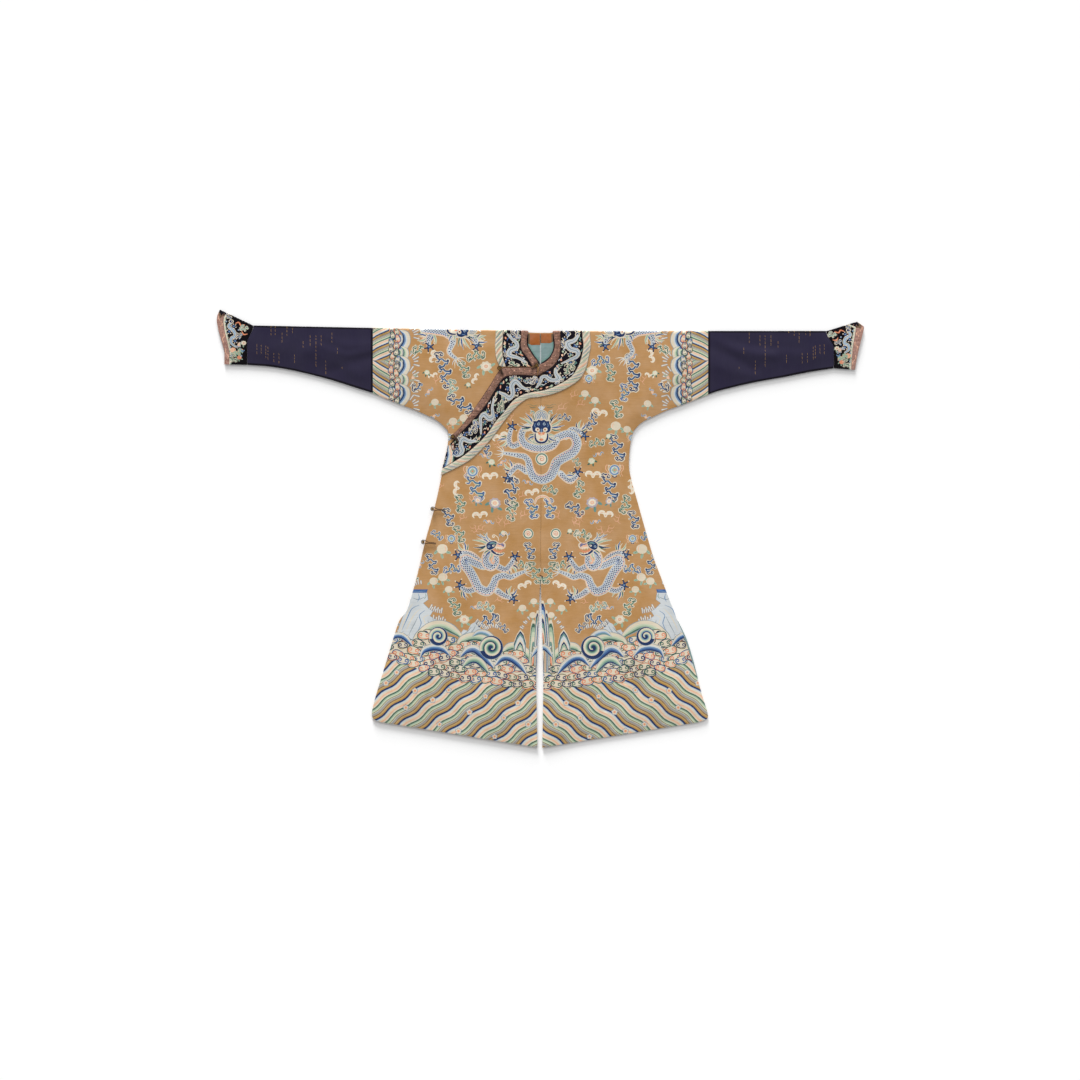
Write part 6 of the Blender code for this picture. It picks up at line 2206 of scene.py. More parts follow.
def cuff_sketch(sign: int, arm: "Arm") -> Sketch:
    """Small dragon, emblems and foam of a cuff.

    Args:
        sign: -1 for the wearer's right, +1 for the left.
        arm: the sleeve, which knows its seam and mouth.

    Returns:
        The design on the flat cut.
    """
    sketch = Sketch()
    for back in (False, True):
        half = Sketch()

        def at(share: float, depth: float) -> tuple[float, float]:
            row = np.array([share])
            seam, mouth = float(arm.seam_x(row)[0]), float(arm.mouth_x(row, True)[0])
            x = seam + (mouth - seam) * depth
            return x, float(CUT.arm_height(sign, np.array([x]), row)[0])

        border = [at(share, 0.985) for share in np.linspace(0.0, 1.0, 60)]
        half.stroke(border, 10.0, Thread.OLIVE)
        half.stroke(border, 6.0, Thread.CREAM)
        for k, share in enumerate(np.linspace(0.02, 0.98, 30)):
            x, y = at(float(share), 0.985)
            half.oval((x - sign * 4.0, y), 4.6, 5.0, Thread.CREAM if k % 2 else Thread.SAGE, sides=8)
            half.oval((x - sign * 4.0, y), 2.0, 2.0, Thread.MID_BLUE, sides=6)
        body = [at(0.86, 0.72), at(0.76, 0.82), at(0.70, 0.62), at(0.60, 0.55), at(0.54, 0.74), at(0.44, 0.80),
                at(0.38, 0.60)]
        for width, thread in (((8.0, 12.0, 11.0, 6.0), Thread.CREAM), ((5.0, 8.5, 7.5, 3.0), Thread.MID_BLUE),
                              ((2.0, 4.4, 3.4, 1.0), Thread.PALE_BLUE)):
            half.line(body, width, thread)
        for share, depth, turn in ((0.80, 0.62, 40.0), (0.66, 0.80, 10.0), (0.50, 0.58, 190.0)):
            half.put(Claw(8.0, turn).draw(), at(share, depth), 0.0, 0.8)
        x, y = at(0.88, 0.74)
        half.oval((x, y), 17.0, 13.0, Thread.CREAM, sides=12)
        half.oval((x, y), 12.0, 9.0, Thread.NAVY, sides=10)
        half.oval((x + 2.0, y + 1.0), 4.0, 3.4, Thread.IVORY, sides=7)
        half.line([at(0.93, 0.30), at(0.88, 0.40), at(0.93, 0.50), at(0.88, 0.58)], (3.0, 5.0, 3.0), Thread.CORAL)
        half.put(Bloom(19.0, 0, Thread.SALMON, Thread.CORAL, 3, Thread.SAGE).draw(), at(0.30, 0.78))
        half.put(Bat(26.0, Thread.SAGE).draw(), at(0.26, 0.50), 30.0)
        half.put(Cloud(2, 10.0, 12.0, dye=Dye.GREEN, foot=False).draw(), at(0.10, 0.72), 20.0, 0.8)
        half.put(Cloud(2, 10.0, 12.0, dye=Dye.BLUE, foot=False).draw(), at(0.66, 0.34), 80.0, 0.6)
        half.put(Scroll(26.0).draw(), at(0.44, 0.36), 70.0)
        half.put(Cloud(2, 10.0, 12.0, dye=Dye.PALE, foot=False).draw(), at(0.86, 0.22), 60.0, 0.7)
        half.put(Cloud(2, 10.0, 12.0, dye=Dye.BLUE, foot=False).draw(), at(0.95, 0.84), 10.0, 0.6)
        half.put(Bloom(16.0, 7, Thread.CREAM, Thread.CORAL, 2, Thread.SAGE).draw(), at(0.50, 0.16))
        half.put(Bloom(15.0, 0, Thread.CORAL, Thread.CREAM, 3, Thread.SAGE).draw(), at(0.16, 0.44))
        half.line([at(0.74, 0.10), at(0.70, 0.22), at(0.76, 0.32)], (2.0, 4.6, 2.0), Thread.CORAL)
        half.line([at(0.34, 0.14), at(0.30, 0.26), at(0.36, 0.34)], (2.0, 5.0, 2.0), Thread.MID_BLUE)
        for share, depth in ((0.76, 0.44), (0.58, 0.36), (0.36, 0.88), (0.18, 0.90), (0.84, 0.90), (0.20, 0.32)):
            half.oval(at(share, depth), 5.6, 5.6, Thread.MID_BLUE, sides=8)
            half.oval(at(share, depth), 2.6, 2.6, Thread.CREAM, sides=6)
        sketch.put(half.behind(LIE) if back else half)
    return sketch


def ribbon_sketch(sign: int, arm: "Arm") -> Sketch:
    """Dark tip and worn flecks of a cuff's ribbon."""
    sketch = Sketch()
    tip = []
    for share in np.linspace(0.88, 1.0, 8):
        row = np.array([share])
        x = 0.5 * float(arm.mouth_x(row, False)[0] + arm.mouth_x(row, True)[0])
        tip.append((x, float(CUT.arm_height(sign, np.array([x]), row)[0])))
    sketch.stroke(tip, (6.0, 22.0, 46.0), Thread.BROWN)
    sketch.stroke(tip[3:], (6.0, 30.0, 46.0), Thread.INK)
    for share in np.linspace(0.04, 0.96, 34):
        row = np.array([share])
        out, near = float(arm.mouth_x(row, False)[0]), float(arm.mouth_x(row, True)[0])
        x = near + (out - near) * (0.5 + 0.3 * math.sin(31.0 * share))
        y = float(CUT.arm_height(sign, np.array([x]), row)[0])
        sketch.oval((x, y), 2.6, 7.0, Thread.SALMON if int(share * 97) % 3 else Thread.MAUVE_BROWN, 0.0, 7)
    return sketch


# ---------------------------------------------------------------- bands round the neck

def binding_sketch(band: "Band") -> Sketch:
    """Flecks of worn pink on a brown binding, and painted shade along both its edges."""
    sketch = Sketch()
    for k in range(int(band.length / 5.5)):
        s, t = 5.5 * k + 3.0, band.width * (0.5 + 0.32 * math.sin(2.39 * k))
        sketch.oval((s, t), 5.0 + 2.0 * math.sin(k), 2.0, (Thread.INK, Thread.PINK, Thread.BROWN)[k % 3],
                    40.0 * math.sin(1.1 * k), 6)
    # painted shade: thin black lines along both edges of the binding
    for t in (0.8, band.width - 0.8):
        sketch.stroke(straight((0.0, t), (band.length, t), 9.0), (0.6, 1.8, 0.8, 1.6, 0.6, 1.9, 0.8), Thread.INK)
    return sketch


def collar_sketch(band: "Band") -> Sketch:
    """Small dragons, clouds and foam on a dark collar."""
    sketch = Sketch()
    width = band.width
    pitch = 118.0
    count = max(1, round(band.length / pitch))
    pitch = band.length / count
    for k in range(count):
        s0 = k * pitch
        side = 1.0 if k % 2 else -1.0

        def at(share: float, t: float) -> tuple[float, float]:
            return s0 + share * pitch, width * (0.5 + side * t)

        sketch.put(Cloud(2, 10.0, 12.0, dye=(Dye.GREEN, Dye.BLUE)[k % 2], foot=False).draw(), at(0.07, -0.18),
                   60.0, 0.9)
        sketch.put(Cloud(2, 10.0, 12.0, dye=(Dye.TEAL, Dye.GREEN)[k % 2], foot=False).draw(), at(0.93, 0.2),
                   100.0, 0.8)
        sketch.put(Cloud(2, 9.0, 11.0, dye=Dye.BLUE, foot=False).draw(), at(0.42, -0.34), 90.0, 0.7)
        body = [at(0.14, 0.3), at(0.26, 0.12), at(0.34, -0.2), at(0.48, -0.08), at(0.54, 0.26), at(0.66, 0.3),
                at(0.76, 0.04), at(0.9, -0.26)]
        for a, b in ((0.3, 0.0), (0.44, -0.12), (0.52, 0.12), (0.6, 0.3), (0.71, 0.2)):
            sketch.oval(at(a, b), 3.0, 3.0, Thread.NAVY, sides=6)
        for a, b, turn in ((0.24, -0.3, 250.0), (0.42, 0.2, 90.0), (0.62, -0.02, 200.0), (0.84, 0.1, 30.0)):
            sketch.put(Claw(8.5, turn).draw(), at(a, b), 0.0, 0.8)
        x, y = at(0.12, 0.28)
        for angle in (150.0, 180.0, 210.0):
            a = math.radians(angle)
            sketch.line([(x, y), (x + 8.0 * math.cos(a), y + 8.0 * math.sin(a)),
                         (x + 15.0 * math.cos(a), y + 15.0 * math.sin(a))], (4.0, 3.0, 0.8),
                        Thread.SAGE if angle == 180.0 else Thread.CREAM)
        sketch.oval((x, y), 18.0, 15.0, Thread.CREAM, sides=12)
        sketch.oval((x, y), 13.0, 10.0, Thread.NAVY, sides=10)
        sketch.oval((x + 2.0, y + side * 1.0), 5.0, 4.0, Thread.IVORY, sides=7)
        sketch.oval((x + 8.0, y), 6.0, 5.0, Thread.SALMON, sides=8)
        for n in range(16):
            a, b = (n + 0.5) / 16.0, 0.42 * math.sin(2.4 * n + 1.1 * k)
            lean = 3.0 * math.cos(1.9 * n)
            tone = (Thread.CREAM, Thread.SAGE, Thread.BLUE, Thread.PALE, Thread.TEAL)[(n + k) % 5]
            x, y = at(a, b)
            sketch.line([(x - 7, y - lean), (x - 2, y + 3), (x + 3, y - 2), (x + 8, y + lean)], (1.4, 4.0, 3.4, 1.2),
                        tone)
        for w, thread in (((9.0, 16.0, 16.0, 12.0, 6.0), Thread.CREAM),
                          ((6.0, 12.0, 12.0, 8.6, 3.0), Thread.MID_BLUE),
                          ((5.0, 9.6, 9.6, 6.6, 2.0), Thread.PALE),
                          ((1.0, 4.4, 4.4, 3.0, 0.6), Thread.GREY)):
            sketch.line(body, w, thread)
        for a, b, thread in ((0.34, 0.36, Thread.CORAL), (0.8, -0.36, Thread.CORAL), (0.66, -0.38, Thread.SALMON),
                             (0.56, -0.38, Thread.SAGE), (0.02, 0.36, Thread.SALMON), (0.97, -0.34, Thread.SAGE)):
            sketch.oval(at(a, b), 9.0, 6.4, thread, 30.0, 10, 0.1, 5)
            sketch.oval(at(a, b), 3.6, 2.8, Thread.CREAM, sides=6)
    if band.name.endswith("left"):
        end = band.length
        for k in range(7):
            thread, other = STRIPES[k % len(STRIPES)][0], 3.6
            sketch.stroke([(end - 3.0 - 4.0 * k, 3.0), (end - 9.0 - 4.0 * k, 0.5 * width),
                           (end - 3.0 - 4.0 * k, width - 3.0)], other, thread)
        volute(sketch, (end - 40.0, 0.62 * width), 11.0, 0.0, 1.3,
               (Thread.CREAM, Thread.PALE_BLUE, Thread.MID_BLUE, Thread.NAVY))
        sketch.put(Knot(20.0).draw(), (end - 36.0, 0.24 * width), 90.0)
    return sketch


def rope_sketch(band: "Band") -> Sketch:
    """Coloured lines between the strands of a rope border, with painted shade beside each."""
    sketch = Sketch()
    tones = (Thread.SAGE, Thread.GREY, Thread.TEAL, Thread.SAGE, Thread.PINK)
    lean = 1.25
    for k in range(int(band.length / ROPE_PITCH) + 3):
        s = k * ROPE_PITCH
        line = straight((s, 0.0), (s - lean * band.width, band.width), 4.0)
        # painted shade: the wide taupe stroke beside each line, for the shadow between the strands
        sketch.stroke(line + (2.4, 0.0), (2.6, 6.4, 2.6), Thread.TAUPE)
        sketch.stroke(line, (1.8, 4.0, 1.8), tones[k % 5])
        inner = line + (0.5 * ROPE_PITCH, 0.0)
        sketch.stroke(inner, (0.4, 1.4, 0.4), Thread.TAUPE)
    for t in (1.0, band.width - 1.0):
        sketch.stroke(straight((0.0, t), (band.length, t), 12.0), 1.6, Thread.TAUPE)
    return sketch


NECK_HOLE = ((-43, 660), (-43, 622), (-44, 600), (-36, 585), (-23, 564), (-9, 546), (-3, 538), (6, 540),
             (17, 547), (32, 560), (42, 578), (46, 598), (44, 622), (44, 660))


def neck_shade(sketch: Sketch, thread: Thread) -> None:
    """Add the shaded ring just inside the neck."""
    sketch.line(NECK_HOLE, 17.0, thread, 6.0)
    sketch.line(NECK_HOLE, 7.0, Thread.INK, 6.0)


def facing_sketch(sign: int) -> Sketch:
    """Seam and shadowed edge of the neck facing."""
    sketch = Sketch()
    neck_shade(sketch, Thread.BROWN)
    sketch.stroke(straight((sign * 1.0, 596.0), (sign * 1.0, 680.0), 6.0), 2.4, Thread.BROWN)
    return sketch


def lining_sketch(sign: int) -> Sketch:
    """Lighter seam down the middle of the back lining, and its shadowed edge."""
    sketch = Sketch()
    neck_shade(sketch, Thread.TEAL)
    sketch.stroke(straight((sign * 1.0, 480.0), (sign * 1.0, 604.0), 6.0), 1.3, Thread.PALE)
    return sketch


# ---------------------------------------------------------------- bands round the neck

# Stations from the left shoulder fold down to the wearer's right side seam: the edge under the
# brown binding, inner and outer edge of the collar, outer edge of the rope border (x, y each).
LEFT_ROWS = np.array([
    (44, 622, 65.5, 622, 137, 620, 163, 620), (46, 598, 66.5, 598, 140, 597, 165, 597),
    (42, 578, 62.5, 566, 134, 562, 158, 560), (32, 560, 52, 542, 122, 528, 149, 524),
    (17, 547, 36, 524, 99, 495, 129, 488), (6, 540, 14, 511, 55, 468, 86, 458),
    (-3.4, 537.5, -8, 500, 14, 452, 41, 439), (-48, 526.5, -48, 499, -28, 445, -4, 429),
    (-92, 526, -90, 499, -62, 435, -38, 425), (-130, 520, -121, 490, -92, 415, -67, 407),
    (-165, 468, -146, 454, -121, 378, -97, 377), (-192, 427, -172, 411, -146, 350, -124, 342),
    (-226, 379, -207, 368, -170, 315, -150, 306), (-257, 337, -243, 329, -201, 281, -184, 266),
    (-297, 298, -284, 288, -253, 237, -238, 218), (-301, 284, -303, 268, -321, 196, -326, 173)], float)
RIGHT_ROWS = np.array([
    (-9, 546, -26, 529, -113, 529, -134, 529), (-23, 564, -43, 556, -121, 556, -145, 556),
    (-36, 585, -60, 578, -124, 578, -148, 578), (-44, 600, -65.5, 600, -124, 600, -149, 600),
    (-43, 622, -64.5, 622, -122, 622, -147, 622)], float)


@dataclass(frozen=True)
class BackEdge:
    """Edge of a band behind the neck: half-widths at the folds, depth, and how square its curve is."""

    right: float
    left: float
    depth: float
    squareness: float

    def point(self, turn: float) -> tuple[float, float]:
        """Point on the flat cut at a turn from the left fold (0) to the right one (1)."""
        angle = math.pi * turn
        c = math.cos(angle)
        half_width = self.left if turn < 0.5 else self.right
        x = half_width * math.copysign(abs(c) ** (2.0 / self.squareness), c)
        start = float(LIE.fold_start(np.array([x]))[0])
        down = self.depth * math.sin(angle) ** (2.0 / self.squareness)
        return x, start + math.pi * FOLD_RADIUS + down


NECK_BACK = BackEdge(40.0, 40.0, BACK_NECK_DEPTH, 4.0)
BINDING_BACK = BackEdge(63.5, 64.5, 23.7, 4.0)
COLLAR_BACK_INNER = BackEdge(64.0, 65.0, 24.2, 4.0)
COLLAR_BACK_OUTER = BackEdge(122.0, 136.0, 90.0, 2.0)
ROPE_BACK_INNER = BackEdge(122.4, 136.4, 90.4, 2.0)
ROPE_BACK_OUTER = BackEdge(147.0, 162.0, 116.0, 2.0)


def toward(start: Points, end: Points, distance: float) -> Points:
    """Points at a distance from each start on the way to each end."""
    run = end - start
    return start + run * (distance / np.hypot(run[:, 0], run[:, 1]))[:, None]


class Strip(Enum):
    """The bands that follow the neck and the closing edge."""

    BINDING = "binding"
    COLLAR = "collar"
    ROPE = "rope"


def strip_rows(strip: Strip, rows: Points) -> Points:
    """Inner and outer edge of a strip at each station.

    Args:
        strip: which band.
        rows: the stations.

    Returns:
        Rows of inner x, inner y, outer x, outer y.
    """
    edge, inner, outer, rope = (rows[:, 2 * k:2 * k + 2] for k in range(4))
    if strip is Strip.BINDING:
        return np.hstack((edge, toward(inner, edge, BAND_GAP)))
    if strip is Strip.COLLAR:
        return np.hstack((inner, outer))
    return np.hstack((toward(outer, rope, BAND_GAP), rope))


@dataclass
class Band:
    """Strip of cloth sewn on along a curve, drawn on its own straight plane (s, t)."""

    name: str
    stations: Points               # inner x, inner v, outer x, outer v
    level: Level
    ground: Thread
    finish: bpy.types.Material
    crown: float = 0.0             # height of its padded middle
    wrinkle: float = 0.0           # height of the small folds across it
    grid: float = 6.0
    strands: bool = False          # whether rope strands stand up on it

    def __post_init__(self) -> None:
        """Work out lengths along the band."""
        middle = 0.5 * (self.stations[:, :2] + self.stations[:, 2:])
        steps = np.hypot(*np.diff(middle, axis=0).T)
        keep = np.concatenate(([True], steps > 0.02))
        self.stations = self.stations[keep]
        middle = middle[keep]
        self.along = np.concatenate(([0.0], np.cumsum(np.hypot(*np.diff(middle, axis=0).T))))
        self.length = float(self.along[-1])
        widths = np.hypot(*(self.stations[:, 2:] - self.stations[:, :2]).T)
        self.width = float(widths.mean())

    def on_cut(self, plane: Points) -> Points:
        """Points of the robe's flat cut for points (s, t) of the band."""
        edges = [np.interp(plane[:, 0], self.along, self.stations[:, k]) for k in range(4)]
        share = plane[:, 1] / self.width
        return np.column_stack((edges[0] + (edges[2] - edges[0]) * share,
                                edges[1] + (edges[3] - edges[1]) * share))

    def out(self, plane: Points) -> Points:
        """How far the outer face stands from the layer below."""
        share = np.clip(plane[:, 1] / self.width, 0.0, 1.0)
        cut = self.on_cut(plane)
        front = smooth((LIE.fold_start(cut[:, 0]) - cut[:, 1]) / 40.0)
        rise = self.crown * np.sin(math.pi * share) ** 0.7
        if self.wrinkle:
            s = plane[:, 0]
            fold = np.sin(s / 4.1 + 2.3 * share) + 0.7 * np.sin(s / 2.6 - 3.1 * share + 1.0)
            rise = rise + self.wrinkle * fold * np.sin(math.pi * share)
        if self.strands:
            turn = (plane[:, 0] + 1.25 * plane[:, 1]) / ROPE_PITCH
            rise = rise + 0.55 * np.abs(np.sin(math.pi * turn)) ** 0.6 * np.sin(math.pi * share) ** 0.4
        return LAYER_GAP + TRIM_WALL + rise * front

    def cloth(self, sketch: Sketch) -> Cloth:
        """The band as a piece of cloth.

        Args:
            sketch: its design on the plane (s, t).

        Returns:
            The piece, ready to build.
        """
        ends = [s for s in self.along if 0.0 < s < self.length]
        low = [(s, 0.0) for s in [0.0, *ends, self.length]]
        high = [(s, self.width) for s in [self.length, *ends[::-1], 0.0]]
        across = [self.width * k / 4 for k in range(1, 4)]
        outline = np.array(low + [(self.length, t) for t in across] + high
                           + [(0.0, t) for t in across[::-1]])
        piece = BandCloth(self.name, cleaned(outline), self.level, self.ground, self.finish,
                          wall=TRIM_WALL, grid=self.grid, folded=False, sketch=sketch, lay=self.on_cut,
                          out=self.out, under_grid=self.grid * 2.0, edge_round=0.25)
        piece.rows = self.along
        return piece


class BandCloth(Cloth):
    """Cloth of a band, with points along every station so that it bends over the shoulder."""

    rows: Points

    def grid_points(self, ring: Points, grid: float) -> Points:
        """Points along the stations and spread between them."""
        width = ring[:, 1].max()
        count = max(2, round(width / grid))
        t = np.linspace(0.0, width, count + 1)[1:-1]
        s, t = np.meshgrid(self.rows[1:-1], t)
        return np.column_stack((s.ravel(), t.ravel()))


ROPE_PITCH = 17.5


# ---------------------------------------------------------------- parts of the robe

@dataclass
class Body:
    """Two lengths of tapestry silk and the outer front that closes over one of them."""

    finishes: Finishes
    sketch_front: Sketch
    sketch_back: Sketch

    def build(self) -> list[bpy.types.Object]:
        """Make the three pieces.

        Returns:
            Their objects.
        """
        made = []
        front = self.sketch_front.up_to_fold(LIE).slimmed(0.40)
        back = self.sketch_back.slimmed(1.6, 5.0).behind(LIE)
        both = Sketch(front.shapes + back.shapes)
        under = Sketch([shape for shape in front.shapes if shape[0][:, 1].max() > 200.0] + back.shapes)
        for name, outline, level, sketch, folded in (
                ("left_length", CUT.left_length(), Level.UPPER, both, True),
                ("right_length", CUT.right_length(), Level.LENGTH, under, True),
                ("outer_front", CUT.outer_front(), Level.OUTER, Sketch(list(front.shapes)),
                 False)):
            piece = Cloth(name, outline, level, Thread.GROUND, self.finishes.kesi, sketch=sketch,
                          folded=folded)
            made.append(finish_piece(piece, name))
        return made


@dataclass
class Arm:
    """Dark satin sleeve, flared cuff and the ribbon round its mouth."""

    sign: int
    finishes: Finishes
    cuff_top: float
    mouth: tuple[tuple[float, float, float], ...]   # share of the height, reach, ribbon width
    cuff_bottom: float = 959.0

    @property
    def side(self) -> str:
        """The wearer's side."""
        return "right" if self.sign < 0 else "left"

    def seam_x(self, share: Points) -> Points:
        """Signed x of the slanting seam between sleeve and cuff."""
        slant = smooth(np.maximum(0.0, (share - 0.5) / 0.5))
        return self.sign * (self.cuff_bottom + (self.cuff_top - self.cuff_bottom) * slant)

    def mouth_x(self, share: Points, ribbon: bool) -> Points:
        """Signed x of the cuff mouth, or of the ribbon's inner edge."""
        rows = np.array(self.mouth)
        reach = np.interp(share, rows[:, 0], rows[:, 1])
        return self.sign * (reach - np.interp(share, rows[:, 0], rows[:, 2]) * ribbon)

    def build(self) -> list[bpy.types.Object]:
        """Make the three pieces.

        Returns:
            Their objects.
        """
        gap = self.sign * SLANT_GAP
        edges = {
            "armhole": lambda share: self.sign * (ARMHOLE + 0.5 * SEAM_GAP) + 0.0 * share,
            "seam_in": lambda share: self.seam_x(share) - 0.5 * gap,
            "seam_out": lambda share: self.seam_x(share) + 0.5 * gap,
            "ribbon_in": lambda share: self.mouth_x(share, True),
            "ribbon_out": lambda share: self.mouth_x(share, True) + gap,
            "mouth": lambda share: self.mouth_x(share, False),
        }
        made = []
        for name, near, far, ground, finish, slot, sketch in (
                ("sleeve", "armhole", "seam_in", Thread.NAVY_SATIN, self.finishes.satin, "navy_satin",
                 sleeve_sketch(self.sign)),
                ("cuff", "seam_out", "ribbon_in", Thread.BLACK, self.finishes.dark, "dark_silk",
                 cuff_sketch(self.sign, self)),
                ("cuff_ribbon", "ribbon_out", "mouth", Thread.RIBBON, self.finishes.ribbon, "ribbon",
                 ribbon_sketch(self.sign, self))):
            outline = CUT.arm_piece(self.sign, edges[near], edges[far])
            piece = Cloth(f"{name}_{self.side}", outline, Level.LENGTH, ground, finish, sketch=sketch,
                          grid=9.0)
            made.append(finish_piece(piece, piece.name))
        return made


@dataclass
class Neck:
    """Collar, rope border, bindings, and the facing and lining that show in the neck."""

    finishes: Finishes
    closing_row: int = 6
    last_binding_row: int = 14
    closing_start: tuple[float, float] = (-11.0, 525.0)
    closing_run: float = 38.0
    centre_back: float = 0.4985

    def half(self, strip: Strip, rows: Points, sign: int, inner: BackEdge, outer: BackEdge) -> Points:
        """Stations of one half of a band, from or to the centre back.

        Args:
            strip: which band.
            rows: its stations on the front.
            sign: +1 for the wearer's left half, -1 for the right.
            inner: its inner edge behind the neck.
            outer: its outer edge behind the neck.

        Returns:
            Rows of inner x, v and outer x, v.
        """
        edges = strip_rows(strip, rows)
        middle = 0.5 * (edges[:, :2] + edges[:, 2:])
        front = curve(np.hstack((middle, edges)), 7.0)[:, 2:]
        turns = np.linspace(0.02, self.centre_back, 22)
        if sign < 0:
            turns = 1.0 - turns
        behind = np.array([(*inner.point(turn), *outer.point(turn)) for turn in turns])
        at = [sign * (edge.left if sign > 0 else edge.right) for edge in (inner, outer)]
        over = np.hstack([CUT.fold_rows(x) for x in at])
        if sign > 0:
            return np.vstack((behind[::-1], over[::-1], front))
        return np.vstack((front, over, behind))

    def build(self) -> list[bpy.types.Object]:
        """Make every band and the neck's inside.

        Returns:
            Their objects.
        """
        made = []
        neck_rows = LEFT_ROWS[:self.closing_row + 1]
        finishes = self.finishes
        for name, strip, rows, edges, ground, finish, slot in (
                ("collar", Strip.COLLAR, LEFT_ROWS, (COLLAR_BACK_INNER, COLLAR_BACK_OUTER), Thread.INK,
                 finishes.dark, "dark_silk"),
                ("rope_border", Strip.ROPE, LEFT_ROWS, (ROPE_BACK_INNER, ROPE_BACK_OUTER), Thread.CREAM,
                 finishes.rope, "rope_silk"),
                ("neck_binding", Strip.BINDING, neck_rows, (NECK_BACK, BINDING_BACK),
                 Thread.MAUVE_BROWN, finishes.binding, "brown_binding")):
            for sign, side, own_rows, level in ((1, "left", rows, Level.UPPER),
                                                (-1, "right", RIGHT_ROWS, Level.LENGTH)):
                stations = self.half(strip, own_rows, sign, *edges)
                made.append(self.band(f"{name}_{side}", strip, stations, level, ground, finish, slot))
        rows = strip_rows(Strip.BINDING, LEFT_ROWS[self.closing_row + 1:self.last_binding_row + 1])
        before = strip_rows(Strip.BINDING, neck_rows)[-1:, 2:]
        corner = toward(rows[:1, 2:], before, self.closing_run)[0]
        rows = np.vstack(((*self.closing_start, *corner), rows))
        middle = 0.5 * (rows[:, :2] + rows[:, 2:])
        stations = curve(np.hstack((middle, rows)), 5.0)[:, 2:]
        made.append(self.band("closing_binding", Strip.BINDING, stations, Level.UPPER,
                              Thread.MAUVE_BROWN, finishes.binding, "brown_binding"))
        return made + self.inside()

    def band(self, name: str, strip: Strip, stations: Points, level: Level, ground: Thread,
             finish: bpy.types.Material, slot: str) -> bpy.types.Object:
        """Make one band with its design.

        Args:
            name: its node.
            strip: which band it is.
            stations: inner and outer edge along it.
            level: the layer it lies on.
            ground: its ground colour.
            finish: its material.
            slot: not used.

        Returns:
            Its object.
        """
        binding = strip is Strip.BINDING
        made = Band(name, stations, level, ground, finish, crown=0.9 if binding else 0.15,
                    wrinkle=0.22 if binding else 0.0, grid=3.2 if binding else 5.0,
                    strands=strip is Strip.ROPE)
        sketch = {Strip.BINDING: binding_sketch, Strip.COLLAR: collar_sketch,
                  Strip.ROPE: rope_sketch}[strip](made)
        return finish_piece(made.cloth(sketch), name, flat=(made.width, made.length))

    def inside(self) -> list[bpy.types.Object]:
        """Facing and lining of the back.

        Returns:
            Their four objects.
        """
        made = []
        top = 644.5 - FOLD_RADIUS - 6.0
        for sign, side, low in ((-1, "right", 600.0), (1, "left", 606.0)):
            seam = sign * 0.5 * SEAM_GAP
            facing = [(seam, low), (sign * 30.0, low), (sign * 62.0, low + 14.0), (sign * 62.0, top),
                      (seam, top)]
            lining = [(seam, 486.0), (sign * 78.0, 496.0), (sign * 78.0, top - 30.0),
                      (sign * 62.0, low + 13.7), (sign * 30.0, low - 0.3), (seam, low - 0.3)]
            for name, corners, ground, finish, slot, sketch in (
                    ("neck_facing", facing, Thread.RUST, self.finishes.facing, "orange_silk",
                     facing_sketch(sign)),
                    ("neck_lining", lining, Thread.AQUA, self.finishes.lining, "teal_silk",
                     lining_sketch(sign))):
                ring = np.array(corners if sign > 0 else corners[::-1])
                closed = np.vstack((ring, ring[:1]))
                outline = np.vstack([straight(a, b, 5.0)[:-1] for a, b in zip(closed, closed[1:])])
                piece = Cloth(f"{name}_{side}", cleaned(outline), Level.INSIDE, ground, finish,
                              wall=LINING_WALL, grid=5.0, folded=False, sketch=sketch,
                              out=lining_folds if name == "neck_lining" else facing_folds,
                              under_grid=12.0, edge_round=0.1)
                made.append(finish_piece(piece, piece.name))
        return made


def lining_folds(plane: Points) -> Points:
    """Small soft folds that fan down the lining below the facing."""
    fan = np.arctan2(plane[:, 0], 640.0 - plane[:, 1])
    return 0.35 + 0.35 * np.sin(13.0 * fan + 0.6) * smooth((608.0 - plane[:, 1]) / 30.0)


def facing_folds(plane: Points) -> Points:
    """Soft creases across the facing."""
    return 0.3 + 0.3 * np.sin(plane[:, 0] / 9.0 + plane[:, 1] / 17.0)


